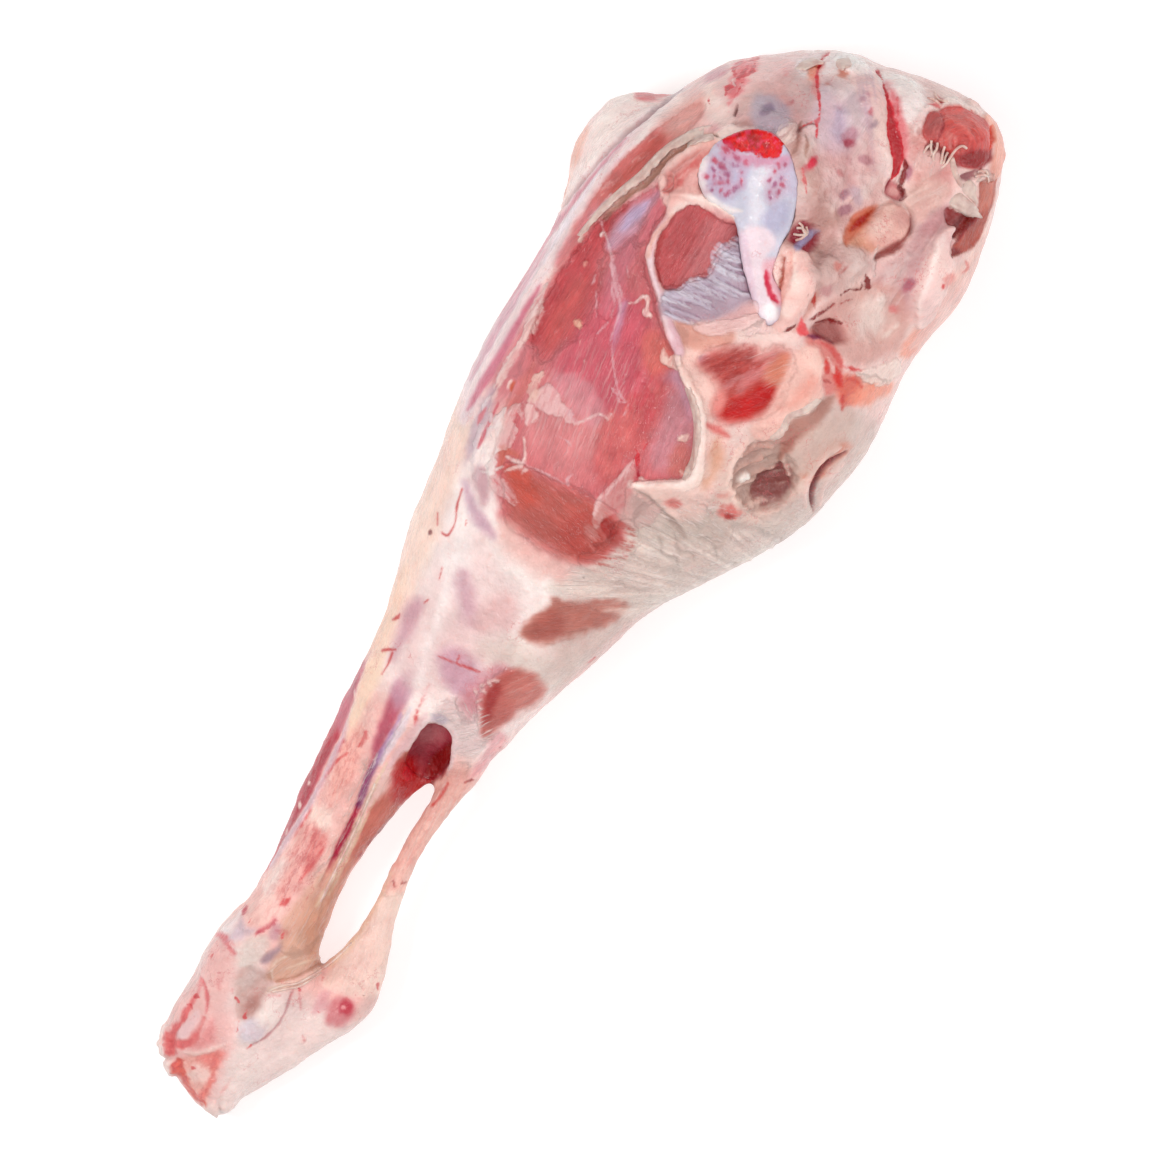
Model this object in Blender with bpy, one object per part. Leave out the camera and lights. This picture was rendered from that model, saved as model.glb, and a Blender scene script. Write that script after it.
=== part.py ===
"""Raw leg of lamb on the bone, lying on its outer side: haunch, shank, hock and heel tendon, with the sawn hip bone.

X runs from the hock to the rump, Y from the heel side to the front of the thigh, and Z up from the table.
The tables are in units of a 480th of the leg's length, which is 1 mm at this size.
"""

import math

import bmesh
import bpy
import numpy as np
from mathutils import Matrix

LEG_LENGTH = 0.480
UNIT = LEG_LENGTH / 480

SAW_CUT_HEIGHT = 104.0  # where the saw split the pelvis, level with the meat round it
BONE_DEPTH = 15.0
BONE_PROUD = 0.5
BONE_EDGE_WEAR = 0.8
SOCKET_GAP = 0.35
REST_BAND = 0.9  # skin this close to the table lies flat on it

RING_POINTS = 48
RING_SPACING = 4.0
VOXEL = 2.0
KEPT_FACES = 0.094  # share of the remeshed faces that the finished skin keeps
TOP_ROUNDNESS = 2.1  # superellipse powers: 2 is an ellipse, higher is squarer
UNDER_ROUNDNESS = 2.4
SHAPING_FADE = 14.0  # hollows and folds fade out over this height above the widest line
SHAPING_REACH = 1.6  # a hollow or fold fades out at this many times its reach or half width

# Sections across the leg: place along X, heel-side edge, front edge, underside, top, crest's Y, widest height.
# An underside below 0 is flattened by the table.
SHANK_AND_HAUNCH = (
    (-196, -9, 8, 8, 29, 0, 18),
    (-185, -14, 13.5, 3, 38, 0, 19),
    (-175, -17, 14.5, 1, 41, 0, 20),
    (-165, -19, 13.5, 3, 39, -1, 20),
    (-150, -15.2, 14.8, 6, 37, 1, 20),
    (-130, -12.6, 19.3, 8, 37, 4, 22),
    (-110, -13.2, 23.2, 8, 41, 5, 24),
    (-94, -15.2, 26, 6, 45, 4, 26),
    (-86, -18.5, 27.4, 5, 48, 3, 27),
    (-78, -26.5, 28.8, 5, 52, 3, 28),
    (-66, -32, 30.5, 3, 56, 1, 30),
    (-50, -34, 33, 2, 62, 0, 31),
    (-30, -38, 40, 0, 69, 1, 33),
    (-10, -43, 46.8, -3, 77, 2, 35),
    (10, -47, 51.2, -5, 84, 2, 37),
    (30, -56.5, 57, -6, 90, 1, 39),
    (50, -67, 61.5, -7, 95, 0, 41),
    (70, -75.5, 64, -7, 99, -2, 42),
    (90, -78.5, 65.5, -7, 103, -2, 43),
    (110, -79.4, 67, -7, 106, -1, 42),
    (130, -76, 71.5, -7, 108, 0, 40),
    (150, -73, 73.5, -7, 108, 0, 39),
    (162, -74, 68, -7, 107.5, -2, 40),
    (172, -75, 60.5, -7, 106.5, -4, 42),
    (185, -73.5, 56, -6, 104, -7, 43),
    (200, -69.5, 48, -5, 99, -10, 43),
    (212, -65.5, 36.5, -2, 92, -14, 44),
    (222, -61, 24, 3, 84, -20, 45),
    (230, -56, 5, 10, 75, -27, 45),
    (236, -50, -12, 20, 65, -32, 45),
    (240, -42, -28, 34, 54, -35, 44),
)
HOCK = (
    (-240, -25, -15, 11, 23, -20, 17),
    (-235, -28, 0, 5, 29, -13, 17),
    (-226, -29, 9, 1, 34, -10, 17),
    (-213, -31, 12.8, -2, 38, -8, 18),
    (-200, -32, 13.2, -3, 39, -6, 18),
    (-188, -32, 15.8, -2, 41, -4, 19),
    (-177, -30, 15.8, -1, 42, -3, 20),
    (-166, -20, 13.5, 2, 39, -1, 20),
    (-156, -15, 12, 7, 34, 0, 20),
)

# Rounded lengths swept along the leg: centre X, Y and Z, half width across Y, half height.
HEEL_BONE = (
    (-230, -18, 15, 9, 9),
    (-216, -21.5, 16, 12.5, 12.5),
    (-202, -26, 16.5, 13.2, 13.5),
    (-188, -31.5, 17.5, 13, 12.5),
    (-176, -36.8, 18.5, 13, 12),
    (-167, -38, 19.5, 11.5, 10.5),
    (-160, -37, 20, 8, 7),
)
HEEL_TENDON = (
    (-172, -37, 19.5, 12, 9.5),
    (-162, -36.6, 20, 10.6, 7.6),
    (-150, -34.4, 20.5, 7.4, 5.2),
    (-140, -32.1, 21, 5.6, 4.2),
    (-128, -29.2, 22, 4.8, 3.8),
    (-116, -26.9, 23.5, 4.6, 3.8),
    (-104, -25.8, 25, 4.4, 4),
    (-92, -25.8, 26.5, 5, 4.8),
    (-80, -25.4, 28, 6.8, 7.5),
    (-66, -23, 29, 8, 9),
)
FLANK_FAT = (
    (98, 48, 30, 10, 14),
    (114, 51, 30, 15.5, 22),
    (132, 54, 31, 19.3, 27),
    (147, 57.4, 32, 22, 29),
    (157, 56, 33, 20.5, 28),
    (164, 50.5, 34, 15.5, 24),
    (171, 45, 35, 11, 16),
)

# Hollows in the shown side: centre X and Y, reach along X and Y, turn in degrees, depth.
HOLLOWS = {
    "pelvic bowl": (188, -28, 30, 27, 20, 15),
    "vessel pit behind the bone": (162, -16, 9, 6, 40, 9),
    "bowl's outer floor": (150, -52, 17, 14, 0, 6),
    "fossa under the tail": (76, -53, 13, 10, -15, 9),
    "pocket under the heel tendon's web": (-85, -10.5, 15, 7.5, 8, 15),
    "groove behind the knee": (-42, -6, 14, 12, 20, 3),
}
# Raised folds in the shown side: half width, height, then points of the crest in X and Y.
FOLDS = {
    "cut edge of the thigh's fat": (5, 4, (45, -14), (55, -28), (67, -31), (80, -21), (90, -6), (101, 10), (112, 31)),
    "rim of the pelvic bowl": (8, 4, (134, -50), (148, -66), (170, -62), (192, -55)),
    "fat lobe beside the bone": (7, 3, (135, -26), (144, -25), (152, -18)),
    "tail muscle": (11, 7, (216, -34), (226, -40), (228, -44)),
    "fascia along the front": (6, 3, (10, 46), (60, 56), (120, 61), (165, 56)),
}
# Sawn face of the hip bone seen from above: the round ilium end, then the thin pubic branch.
BONE_OUTLINE = (
    (151, 24),
    (155, 31),
    (163, 34),
    (173, 32),
    (181, 26),
    (184, 17),
    (180, 8),
    (172, 0),
    (162, -5),
    (151, -7),
    (141, -10),
    (137, -19),
    (130, -23),
    (125, -20),
    (130, -11),
    (140, 1),
    (149, 9),
    (152, 16),
)
OUTLINE_STEPS = 3
SAW_CUT_CENTRE = (147, 12)
SAW_CUT_REACH = (44, 30)
SAW_CUT_SLOPE = 0.3  # share of its reach over which the saw cut turns into the rounded skin


def clear_scene():
    for old in list(bpy.data.objects):
        bpy.data.objects.remove(old)


def material(name, colour, roughness):
    made = bpy.data.materials.new(name)
    made.use_nodes = True
    shader = made.node_tree.nodes["Principled BSDF"]
    shader.inputs["Base Color"].default_value = (*colour, 1)
    shader.inputs["Roughness"].default_value = roughness
    shader.inputs["Metallic"].default_value = 0
    return made


def resampled(rows, places):
    """The table's columns at these places along its first column, on smooth curves through its rows."""
    rows = np.array(rows, float)
    knots = rows[:, 0]
    slopes = np.gradient(rows, knots, axis=0)
    left = np.clip(np.searchsorted(knots, places, side="right") - 1, 0, len(knots) - 2)
    width = (knots[left + 1] - knots[left])[:, None]
    t = (places - knots[left])[:, None] / width
    from_left = (2 * t**3 - 3 * t**2 + 1) * rows[left] + (t**3 - 2 * t**2 + t) * width * slopes[left]
    from_right = (3 * t**2 - 2 * t**3) * rows[left + 1] + (t**3 - t**2) * width * slopes[left + 1]
    return from_left + from_right


def through(points, steps, closed=False):
    """A smooth line through the points, with this many stretches between each two."""
    points = [np.array(p, float) for p in points]
    count = len(points)
    line = []
    for i in range(count if closed else count - 1):
        if closed:
            before, start, end, after = (points[(i + k) % count] for k in (-1, 0, 1, 2))
        else:
            start, end = points[i], points[i + 1]
            before = points[i - 1] if i else 2 * start - end
            after = points[i + 2] if i + 2 < count else 2 * end - start
        for step in range(steps):
            t = step / steps
            line.append(
                0.5
                * (
                    2 * start
                    + (end - before) * t
                    + (2 * before - 5 * start + 4 * end - after) * t**2
                    + (3 * start - before - 3 * end + after) * t**3
                )
            )
    if not closed:
        line.append(points[-1])
    return np.array(line)


def section_rings(table):
    """Rings across X, each of four superellipse quarters that meet at the crest and at the widest height."""
    first, last = table[0][0], table[-1][0]
    places = np.linspace(first, last, round((last - first) / RING_SPACING) + 1)
    angles = np.linspace(0, 2 * math.pi, RING_POINTS, endpoint=False)
    rings = []
    for x, back, front, bottom, top, crest, widest in resampled(table, places):
        ring = []
        for angle in angles:
            across, up = math.cos(angle), math.sin(angle)
            power = 2 / (TOP_ROUNDNESS if up > 0 else UNDER_ROUNDNESS)
            reach = front - crest if across > 0 else crest - back
            rise = top - widest if up > 0 else widest - bottom
            y = crest + reach * math.copysign(abs(across) ** power, across)
            z = widest + rise * math.copysign(abs(up) ** power, up)
            ring.append((x, y, max(z, 0)))
        rings.append(ring)
    return rings


def swept_rings(table):
    """Elliptic rings square to a smooth centre line, which keeps to one side of upright."""
    first, last = table[0][0], table[-1][0]
    places = np.linspace(first, last, round((last - first) / RING_SPACING) + 1)
    rows = resampled(table, places)
    headings = np.gradient(rows[:, :2], axis=0)
    headings /= np.linalg.norm(headings, axis=1)[:, None]
    angles = np.linspace(0, 2 * math.pi, RING_POINTS // 2, endpoint=False)
    rings = []
    for (x, y, z, half_width, half_height), (ahead_x, ahead_y) in zip(rows, headings):
        ring = []
        for angle in angles:
            across, up = half_width * math.cos(angle), half_height * math.sin(angle)
            ring.append((x - ahead_y * across, y + ahead_x * across, max(z + up, 0)))
        rings.append(ring)
    return rings


def add_tube(shell, rings):
    """Skins the rings into one closed tube with its faces pointing out."""
    rows = [[shell.verts.new(point) for point in ring] for ring in rings]
    count = len(rows[0])
    for row, following in zip(rows, rows[1:]):
        for i in range(count):
            after = (i + 1) % count
            shell.faces.new((row[i], row[after], following[after], following[i]))
    shell.faces.new(rows[0][::-1])
    shell.faces.new(rows[-1])


def new_object(name, shell, look):
    bmesh.ops.recalc_face_normals(shell, faces=shell.faces[:])
    mesh = bpy.data.meshes.new(name)
    shell.to_mesh(mesh)
    shell.free()
    mesh.materials.append(look)
    made = bpy.data.objects.new(name, mesh)
    bpy.context.scene.collection.objects.link(made)
    return made


def settle(made):
    """Makes the object's modifiers part of its mesh."""
    bpy.context.view_layer.update()
    graph = bpy.context.evaluated_depsgraph_get()
    mesh = bpy.data.meshes.new_from_object(made.evaluated_get(graph))
    made.modifiers.clear()
    made.data = mesh
    return made


def points_of(mesh):
    flat = np.empty(len(mesh.vertices) * 3)
    mesh.vertices.foreach_get("co", flat)
    return flat.reshape(-1, 3)


def set_points(mesh, points):
    mesh.vertices.foreach_set("co", points.ravel())
    mesh.update()


def eased(share):
    share = np.clip(share, 0, 1)
    return share * share * (3 - 2 * share)


def hollow_depths(points, centre_x, centre_y, reach_x, reach_y, turn, depth):
    """How far a bowl-shaped hollow drops each point: most in the middle, nothing past SHAPING_REACH."""
    c, s = math.cos(math.radians(turn)), math.sin(math.radians(turn))
    x, y = points[:, 0] - centre_x, points[:, 1] - centre_y
    off = np.hypot((c * x + s * y) / reach_x, (c * y - s * x) / reach_y)
    return depth * eased(1 - off / SHAPING_REACH)


def distance_to(line, points):
    nearest = np.full(len(points), np.inf)
    for start, end in zip(line, line[1:]):
        along = end - start
        t = np.clip(((points[:, :2] - start) @ along) / (along @ along), 0, 1)
        away = points[:, :2] - start - t[:, None] * along
        nearest = np.minimum(nearest, np.hypot(away[:, 0], away[:, 1]))
    return nearest


def shape_shown_side(points):
    """Presses the hollows and raises the folds in the side that faces up, then takes the saw cut off level."""
    waist = np.interp(points[:, 0], [row[0] for row in SHANK_AND_HAUNCH], [row[6] for row in SHANK_AND_HAUNCH])
    faces_up = eased((points[:, 2] - waist) / SHAPING_FADE + 0.2)
    rise = np.zeros(len(points))
    for half_width, height, *crest in FOLDS.values():
        away = distance_to(through(crest, OUTLINE_STEPS), points)
        rise += height * eased(1 - away / (SHAPING_REACH * half_width))
    for hollow in HOLLOWS.values():
        rise -= hollow_depths(points, *hollow)
    points[:, 2] += faces_up * rise
    off_cut = np.hypot(
        (points[:, 0] - SAW_CUT_CENTRE[0]) / SAW_CUT_REACH[0],
        (points[:, 1] - SAW_CUT_CENTRE[1]) / SAW_CUT_REACH[1],
    )
    level = eased((1 + SAW_CUT_SLOPE / 2 - off_cut) / SAW_CUT_SLOPE) * (faces_up > 0.9)
    points[:, 2] += level * (SAW_CUT_HEIGHT - points[:, 2])


def rest_on_table(made):
    """The skin that all but touches the table lies flat on it, as soft meat does."""
    points = points_of(made.data)
    points[points[:, 2] < REST_BAND, 2] = 0
    set_points(made.data, points)


def leg_body(look):
    """Haunch, shank, hock, heel, tendon and flank fat, grown into one skin round the gap under the tendon."""
    shell = bmesh.new()
    for table in (SHANK_AND_HAUNCH, HOCK):
        add_tube(shell, section_rings(table))
    for table in (HEEL_BONE, HEEL_TENDON, FLANK_FAT):
        add_tube(shell, swept_rings(table))
    leg = new_object("leg", shell, look)
    grow = leg.modifiers.new("one skin", "REMESH")
    grow.mode = "VOXEL"
    grow.voxel_size = VOXEL
    ease = leg.modifiers.new("soft joins", "SMOOTH")
    ease.factor = 0.5
    ease.iterations = 5
    settle(leg)
    points = points_of(leg.data)
    shape_shown_side(points)
    set_points(leg.data, points)
    rest_on_table(leg)
    thin = leg.modifiers.new("fewer faces", "DECIMATE")
    thin.ratio = KEPT_FACES
    settle(leg)
    rest_on_table(leg)
    leg.data.transform(Matrix.Scale(UNIT, 4))
    return leg


def bone_outline(grown):
    """The sawn face's outline, moved outwards by this much."""
    line = through(BONE_OUTLINE, OUTLINE_STEPS, closed=True)
    along = np.roll(line, -1, axis=0) - np.roll(line, 1, axis=0)
    along /= np.linalg.norm(along, axis=1)[:, None]
    turning = np.sum(line[:, 0] * np.roll(line[:, 1], -1) - np.roll(line[:, 0], -1) * line[:, 1])
    out = np.stack([along[:, 1], -along[:, 0]], axis=1) * math.copysign(1, turning)
    return line + grown * out


def plug(name, grown, bottom, top, look):
    """An upright block of the bone's outline."""
    shell = bmesh.new()
    low = [shell.verts.new((x * UNIT, y * UNIT, bottom * UNIT)) for x, y in bone_outline(grown)]
    face = shell.faces.new(low)
    grown_faces = bmesh.ops.extrude_face_region(shell, geom=[face])
    raised = [v for v in grown_faces["geom"] if isinstance(v, bmesh.types.BMVert)]
    bmesh.ops.translate(shell, verts=raised, vec=(0, 0, (top - bottom) * UNIT))
    return new_object(name, shell, look)


def hip_bone(leg, look):
    """The sawn bone, and the socket it sits in."""
    floor = SAW_CUT_HEIGHT - BONE_DEPTH
    bone = plug("hip_bone", 0, floor, SAW_CUT_HEIGHT + BONE_PROUD, look)
    worn = bone.modifiers.new("saw-worn edge", "BEVEL")
    worn.width = BONE_EDGE_WEAR * UNIT
    worn.segments = 2
    worn.limit_method = "ANGLE"
    worn.angle_limit = math.radians(60)
    cutter = plug("socket_cutter", SOCKET_GAP, floor - SOCKET_GAP, SAW_CUT_HEIGHT + BONE_DEPTH, look)
    cutter.hide_render = True
    cutter.display_type = "WIRE"
    socket = leg.modifiers.new("bone socket", "BOOLEAN")
    socket.operation = "DIFFERENCE"
    socket.solver = "EXACT"
    socket.object = cutter
    return bone


clear_scene()
meat = material("meat", (0.80, 0.47, 0.43), 0.35)
bone_look = material("bone", (0.80, 0.80, 0.84), 0.3)
leg = leg_body(meat)
hip_bone(leg, bone_look)
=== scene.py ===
"""Looks of a raw leg of lamb that lies on its outer side, with the bare shank, the hock and the sawn hip bone up.

X runs from the hock to the rump, Y from the heel side to the front of the thigh, and Z up from the table.
Places and sizes are in millimetres until MM turns them into metres.
"""

import itertools
import math
import zlib

import bmesh
import bpy
import numpy as np
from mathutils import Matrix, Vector
from mathutils.bvhtree import BVHTree


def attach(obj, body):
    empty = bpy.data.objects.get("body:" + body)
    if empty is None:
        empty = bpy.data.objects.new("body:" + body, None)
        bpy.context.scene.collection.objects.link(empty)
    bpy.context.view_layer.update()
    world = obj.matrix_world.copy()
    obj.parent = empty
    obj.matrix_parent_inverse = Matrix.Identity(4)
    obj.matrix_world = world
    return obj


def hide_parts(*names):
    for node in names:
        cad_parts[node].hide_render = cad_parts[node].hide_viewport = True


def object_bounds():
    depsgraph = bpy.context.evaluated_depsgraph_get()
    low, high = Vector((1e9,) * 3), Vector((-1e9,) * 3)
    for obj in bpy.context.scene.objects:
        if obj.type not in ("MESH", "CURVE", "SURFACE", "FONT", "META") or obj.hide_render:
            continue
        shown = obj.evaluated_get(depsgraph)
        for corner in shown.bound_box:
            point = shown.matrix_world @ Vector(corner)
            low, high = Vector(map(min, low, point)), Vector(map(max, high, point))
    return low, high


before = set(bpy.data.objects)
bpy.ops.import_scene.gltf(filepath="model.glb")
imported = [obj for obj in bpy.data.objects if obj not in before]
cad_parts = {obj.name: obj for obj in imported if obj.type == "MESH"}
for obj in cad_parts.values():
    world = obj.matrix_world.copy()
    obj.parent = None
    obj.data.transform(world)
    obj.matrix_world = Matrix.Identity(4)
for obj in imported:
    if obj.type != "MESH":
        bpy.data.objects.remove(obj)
cad_low, cad_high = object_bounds()
MM = 0.001

# ---------------------------------------------------------------------------------------------------------------
# The table it lies on, a soft studio light round it, and a camera that looks straight down.
# The leg lies across the picture, with the rump at the upper right.
# ---------------------------------------------------------------------------------------------------------------
LEG_TURN = math.radians(54.5)
VIEW_CENTRE = (6.2, -20.3)
VIEW_WIDTH = 440.5
VIEW_PLANE = 45.0  # the height where the view is that wide
LENS = 500.0
SENSOR = 36.0

camera_data = bpy.data.cameras.new("camera")
camera_data.lens = LENS
camera_data.sensor_width = SENSOR
camera_data.clip_end = 30
camera = bpy.data.objects.new("camera", camera_data)
camera.location = Vector((*VIEW_CENTRE, VIEW_PLANE + VIEW_WIDTH * LENS / SENSOR)) * MM
camera.rotation_euler = (0, 0, -LEG_TURN)
bpy.context.scene.collection.objects.link(camera)
bpy.context.scene.camera = camera
bpy.context.scene.view_settings.view_transform = "Standard"

TABLE_SIDE = 6.0
bpy.ops.mesh.primitive_plane_add(size=TABLE_SIDE)
table = bpy.context.object
table.name = "table"
table_look = bpy.data.materials.new("white table")
table_look.use_nodes = True
table_shader = table_look.node_tree.nodes["Principled BSDF"]
table_shader.inputs["Base Color"].default_value = (0.7, 0.7, 0.7, 1)
table_shader.inputs["Roughness"].default_value = 0.9
table_shader.inputs["Specular IOR Level"].default_value = 0.1
table_shader.inputs["Emission Color"].default_value = (1, 1, 1, 1)
table_shader.inputs["Emission Strength"].default_value = 0.45  # the sheet is lit from below as well
table.data.materials.append(table_look)

SOFT_LIGHTS = (  # name, side in metres, watts, place in metres
    ("window", 0.7, 3, (-0.35, 1.0, 1.3)),
    ("small window", 0.3, 6, (-0.42, 0.5, 1.25)),
    ("overhead", 1.2, 7, (0.2, -0.15, 1.8)),
    ("reflector", 1.0, 9, (0.6, -1.2, 1.0)),
)
for name, side, watts, position in SOFT_LIGHTS:
    light = bpy.data.lights.new(name, "AREA")
    light.size = side
    light.energy = watts
    lamp = bpy.data.objects.new(name, light)
    lamp.location = position
    lamp.rotation_euler = (-Vector(position)).to_track_quat("-Z", "Y").to_euler()
    bpy.context.scene.collection.objects.link(lamp)
room = bpy.data.worlds.new("pale room")
room.use_nodes = True
room.node_tree.nodes["Background"].inputs["Color"].default_value = (1, 1, 1, 1)
room.node_tree.nodes["Background"].inputs["Strength"].default_value = 0.4
bpy.context.scene.world = room

# ---------------------------------------------------------------------------------------------------------------
# The leg: one skin of meat, fat, silverskin and sinew grown over the thigh and shin bones. The plain solid is
# smoothed and given a fine mesh. Then each muscle, fat and seam is modelled and coloured where it lies on it.
# ---------------------------------------------------------------------------------------------------------------
SKIN_GRAIN = 0.8  # spacing of the fine mesh
MOST_SKIN_FACES = 194_000  # triangles that the finished skin keeps
SHEEN_LOSS = 0.03  # the wet gloss adds this much light, so the colours start that much deeper
DARK_WARMTH = 2.2  # and dark folds would look grey under it, so they get this much of it back as red


def plain_mesh(piece):
    """Makes the piece's modifiers part of its mesh."""
    graph = bpy.context.evaluated_depsgraph_get()
    mesh = bpy.data.meshes.new_from_object(piece.evaluated_get(graph))
    piece.modifiers.clear()
    piece.data = mesh


def copy_of_solid(node, name):
    """A copy of a plain solid with its loose triangles joined."""
    piece = bpy.data.objects.new(name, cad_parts[node].data.copy())
    bpy.context.scene.collection.objects.link(piece)
    shell = bmesh.new()
    shell.from_mesh(piece.data)
    bmesh.ops.remove_doubles(shell, verts=shell.verts, dist=1e-6)
    shell.to_mesh(piece.data)
    shell.free()
    piece.data.materials.clear()
    return piece


def fine_mesh(piece, spacing, rounding, easing):
    """Rounds the faceted solid and gives it an even mesh of this spacing."""
    if rounding:
        rounded = piece.modifiers.new("rounded", "SUBSURF")
        rounded.levels = rounded.render_levels = rounding
        plain_mesh(piece)
    even = piece.modifiers.new("even mesh", "REMESH")
    even.mode = "VOXEL"
    even.voxel_size = spacing * MM
    ease = piece.modifiers.new("eased", "SMOOTH")
    ease.factor = 0.5
    ease.iterations = easing
    plain_mesh(piece)


def points_of(mesh):
    flat = np.empty(len(mesh.vertices) * 3, np.float32)
    mesh.vertices.foreach_get("co", flat)
    return flat.reshape(-1, 3).astype(float) / MM


def set_points(mesh, points):
    mesh.vertices.foreach_set("co", (points * MM).astype(np.float32).ravel())
    mesh.update()


def normals_of(mesh):
    flat = np.empty(len(mesh.vertices) * 3, np.float32)
    mesh.vertex_normals.foreach_get("vector", flat)
    return flat.reshape(-1, 3).astype(float)


def eased(share):
    share = np.clip(share, 0, 1)
    return share * share * (3 - 2 * share)


def wander(points, size, seed, octaves=2):
    """Smooth random heights from -1 to 1, with bumps about this size."""
    total, weight_sum = np.zeros(len(points)), 0.0
    for octave in range(octaves):
        spots = points * 2.0**octave / size + 19.7 * octave + seed % 997 * 1.37
        cell = np.floor(spots).astype(np.int64)
        t = eased(spots - cell)
        layer = np.zeros(len(points))
        for corner in itertools.product((0, 1), repeat=3):
            key = (cell + corner) @ np.array((73856093, 19349663, 83492791)) & 0xFFFFFFFF
            key = (key ^ key >> 15) * 2246822519 & 0xFFFFFFFF
            key = (key ^ key >> 13) * 3266489917 & 0xFFFFFFFF
            share = np.prod(np.where(corner, t, 1 - t), axis=1)
            layer += share * ((key ^ key >> 16) / 2147483648.0 - 1)
        total += layer * 0.55**octave
        weight_sum += 0.55**octave
    return np.clip(total / weight_sum * 1.6, -1, 1)


def curve_through(points, closed=False, steps=5):
    """A smooth line through the points."""
    points = np.array(points, float)
    count = len(points)
    line = []
    for i in range(count if closed else count - 1):
        if closed:
            before, start, end, after = (points[(i + k) % count] for k in (-1, 0, 1, 2))
        else:
            start, end = points[i], points[i + 1]
            before = points[i - 1] if i else start
            after = points[i + 2] if i + 2 < count else end
        for t in np.arange(steps) / steps:
            ahead, bend = end - before, 2 * before - 5 * start + 4 * end - after
            twist = 3 * start - before - 3 * end + after
            line.append(start + (ahead * t + bend * t * t + twist * t**3) / 2)
    line.append(points[0] if closed else points[-1])
    return np.array(line)


def nearest_on(line, spots):
    """Distance from each spot to the line, and how far along the line that is, from 0 to 1."""
    best, along = np.full(len(spots), np.inf), np.zeros(len(spots))
    for i, (start, end) in enumerate(zip(line, line[1:])):
        step = end - start
        t = np.clip((spots - start) @ step / max(step @ step, 1e-9), 0, 1)
        away = np.hypot(*(spots - start - t[:, None] * step).T)
        closer = away < best
        best[closer] = away[closer]
        along[closer] = (i + t[closer]) / (len(line) - 1)
    return best, along


def depth_inside(line, spots):
    """How deep each spot lies inside the closed line, and below 0 outside it."""
    away, _ = nearest_on(line, spots)
    within = np.zeros(len(spots), bool)
    x, y = spots.T
    for (x0, y0), (x1, y1) in zip(line, line[1:]):
        crosses = (y0 > y) != (y1 > y)
        if y0 != y1:
            within ^= crosses & (x < (x1 - x0) * (y - y0) / (y1 - y0) + x0)
    return np.where(within, away, -away)


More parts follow.
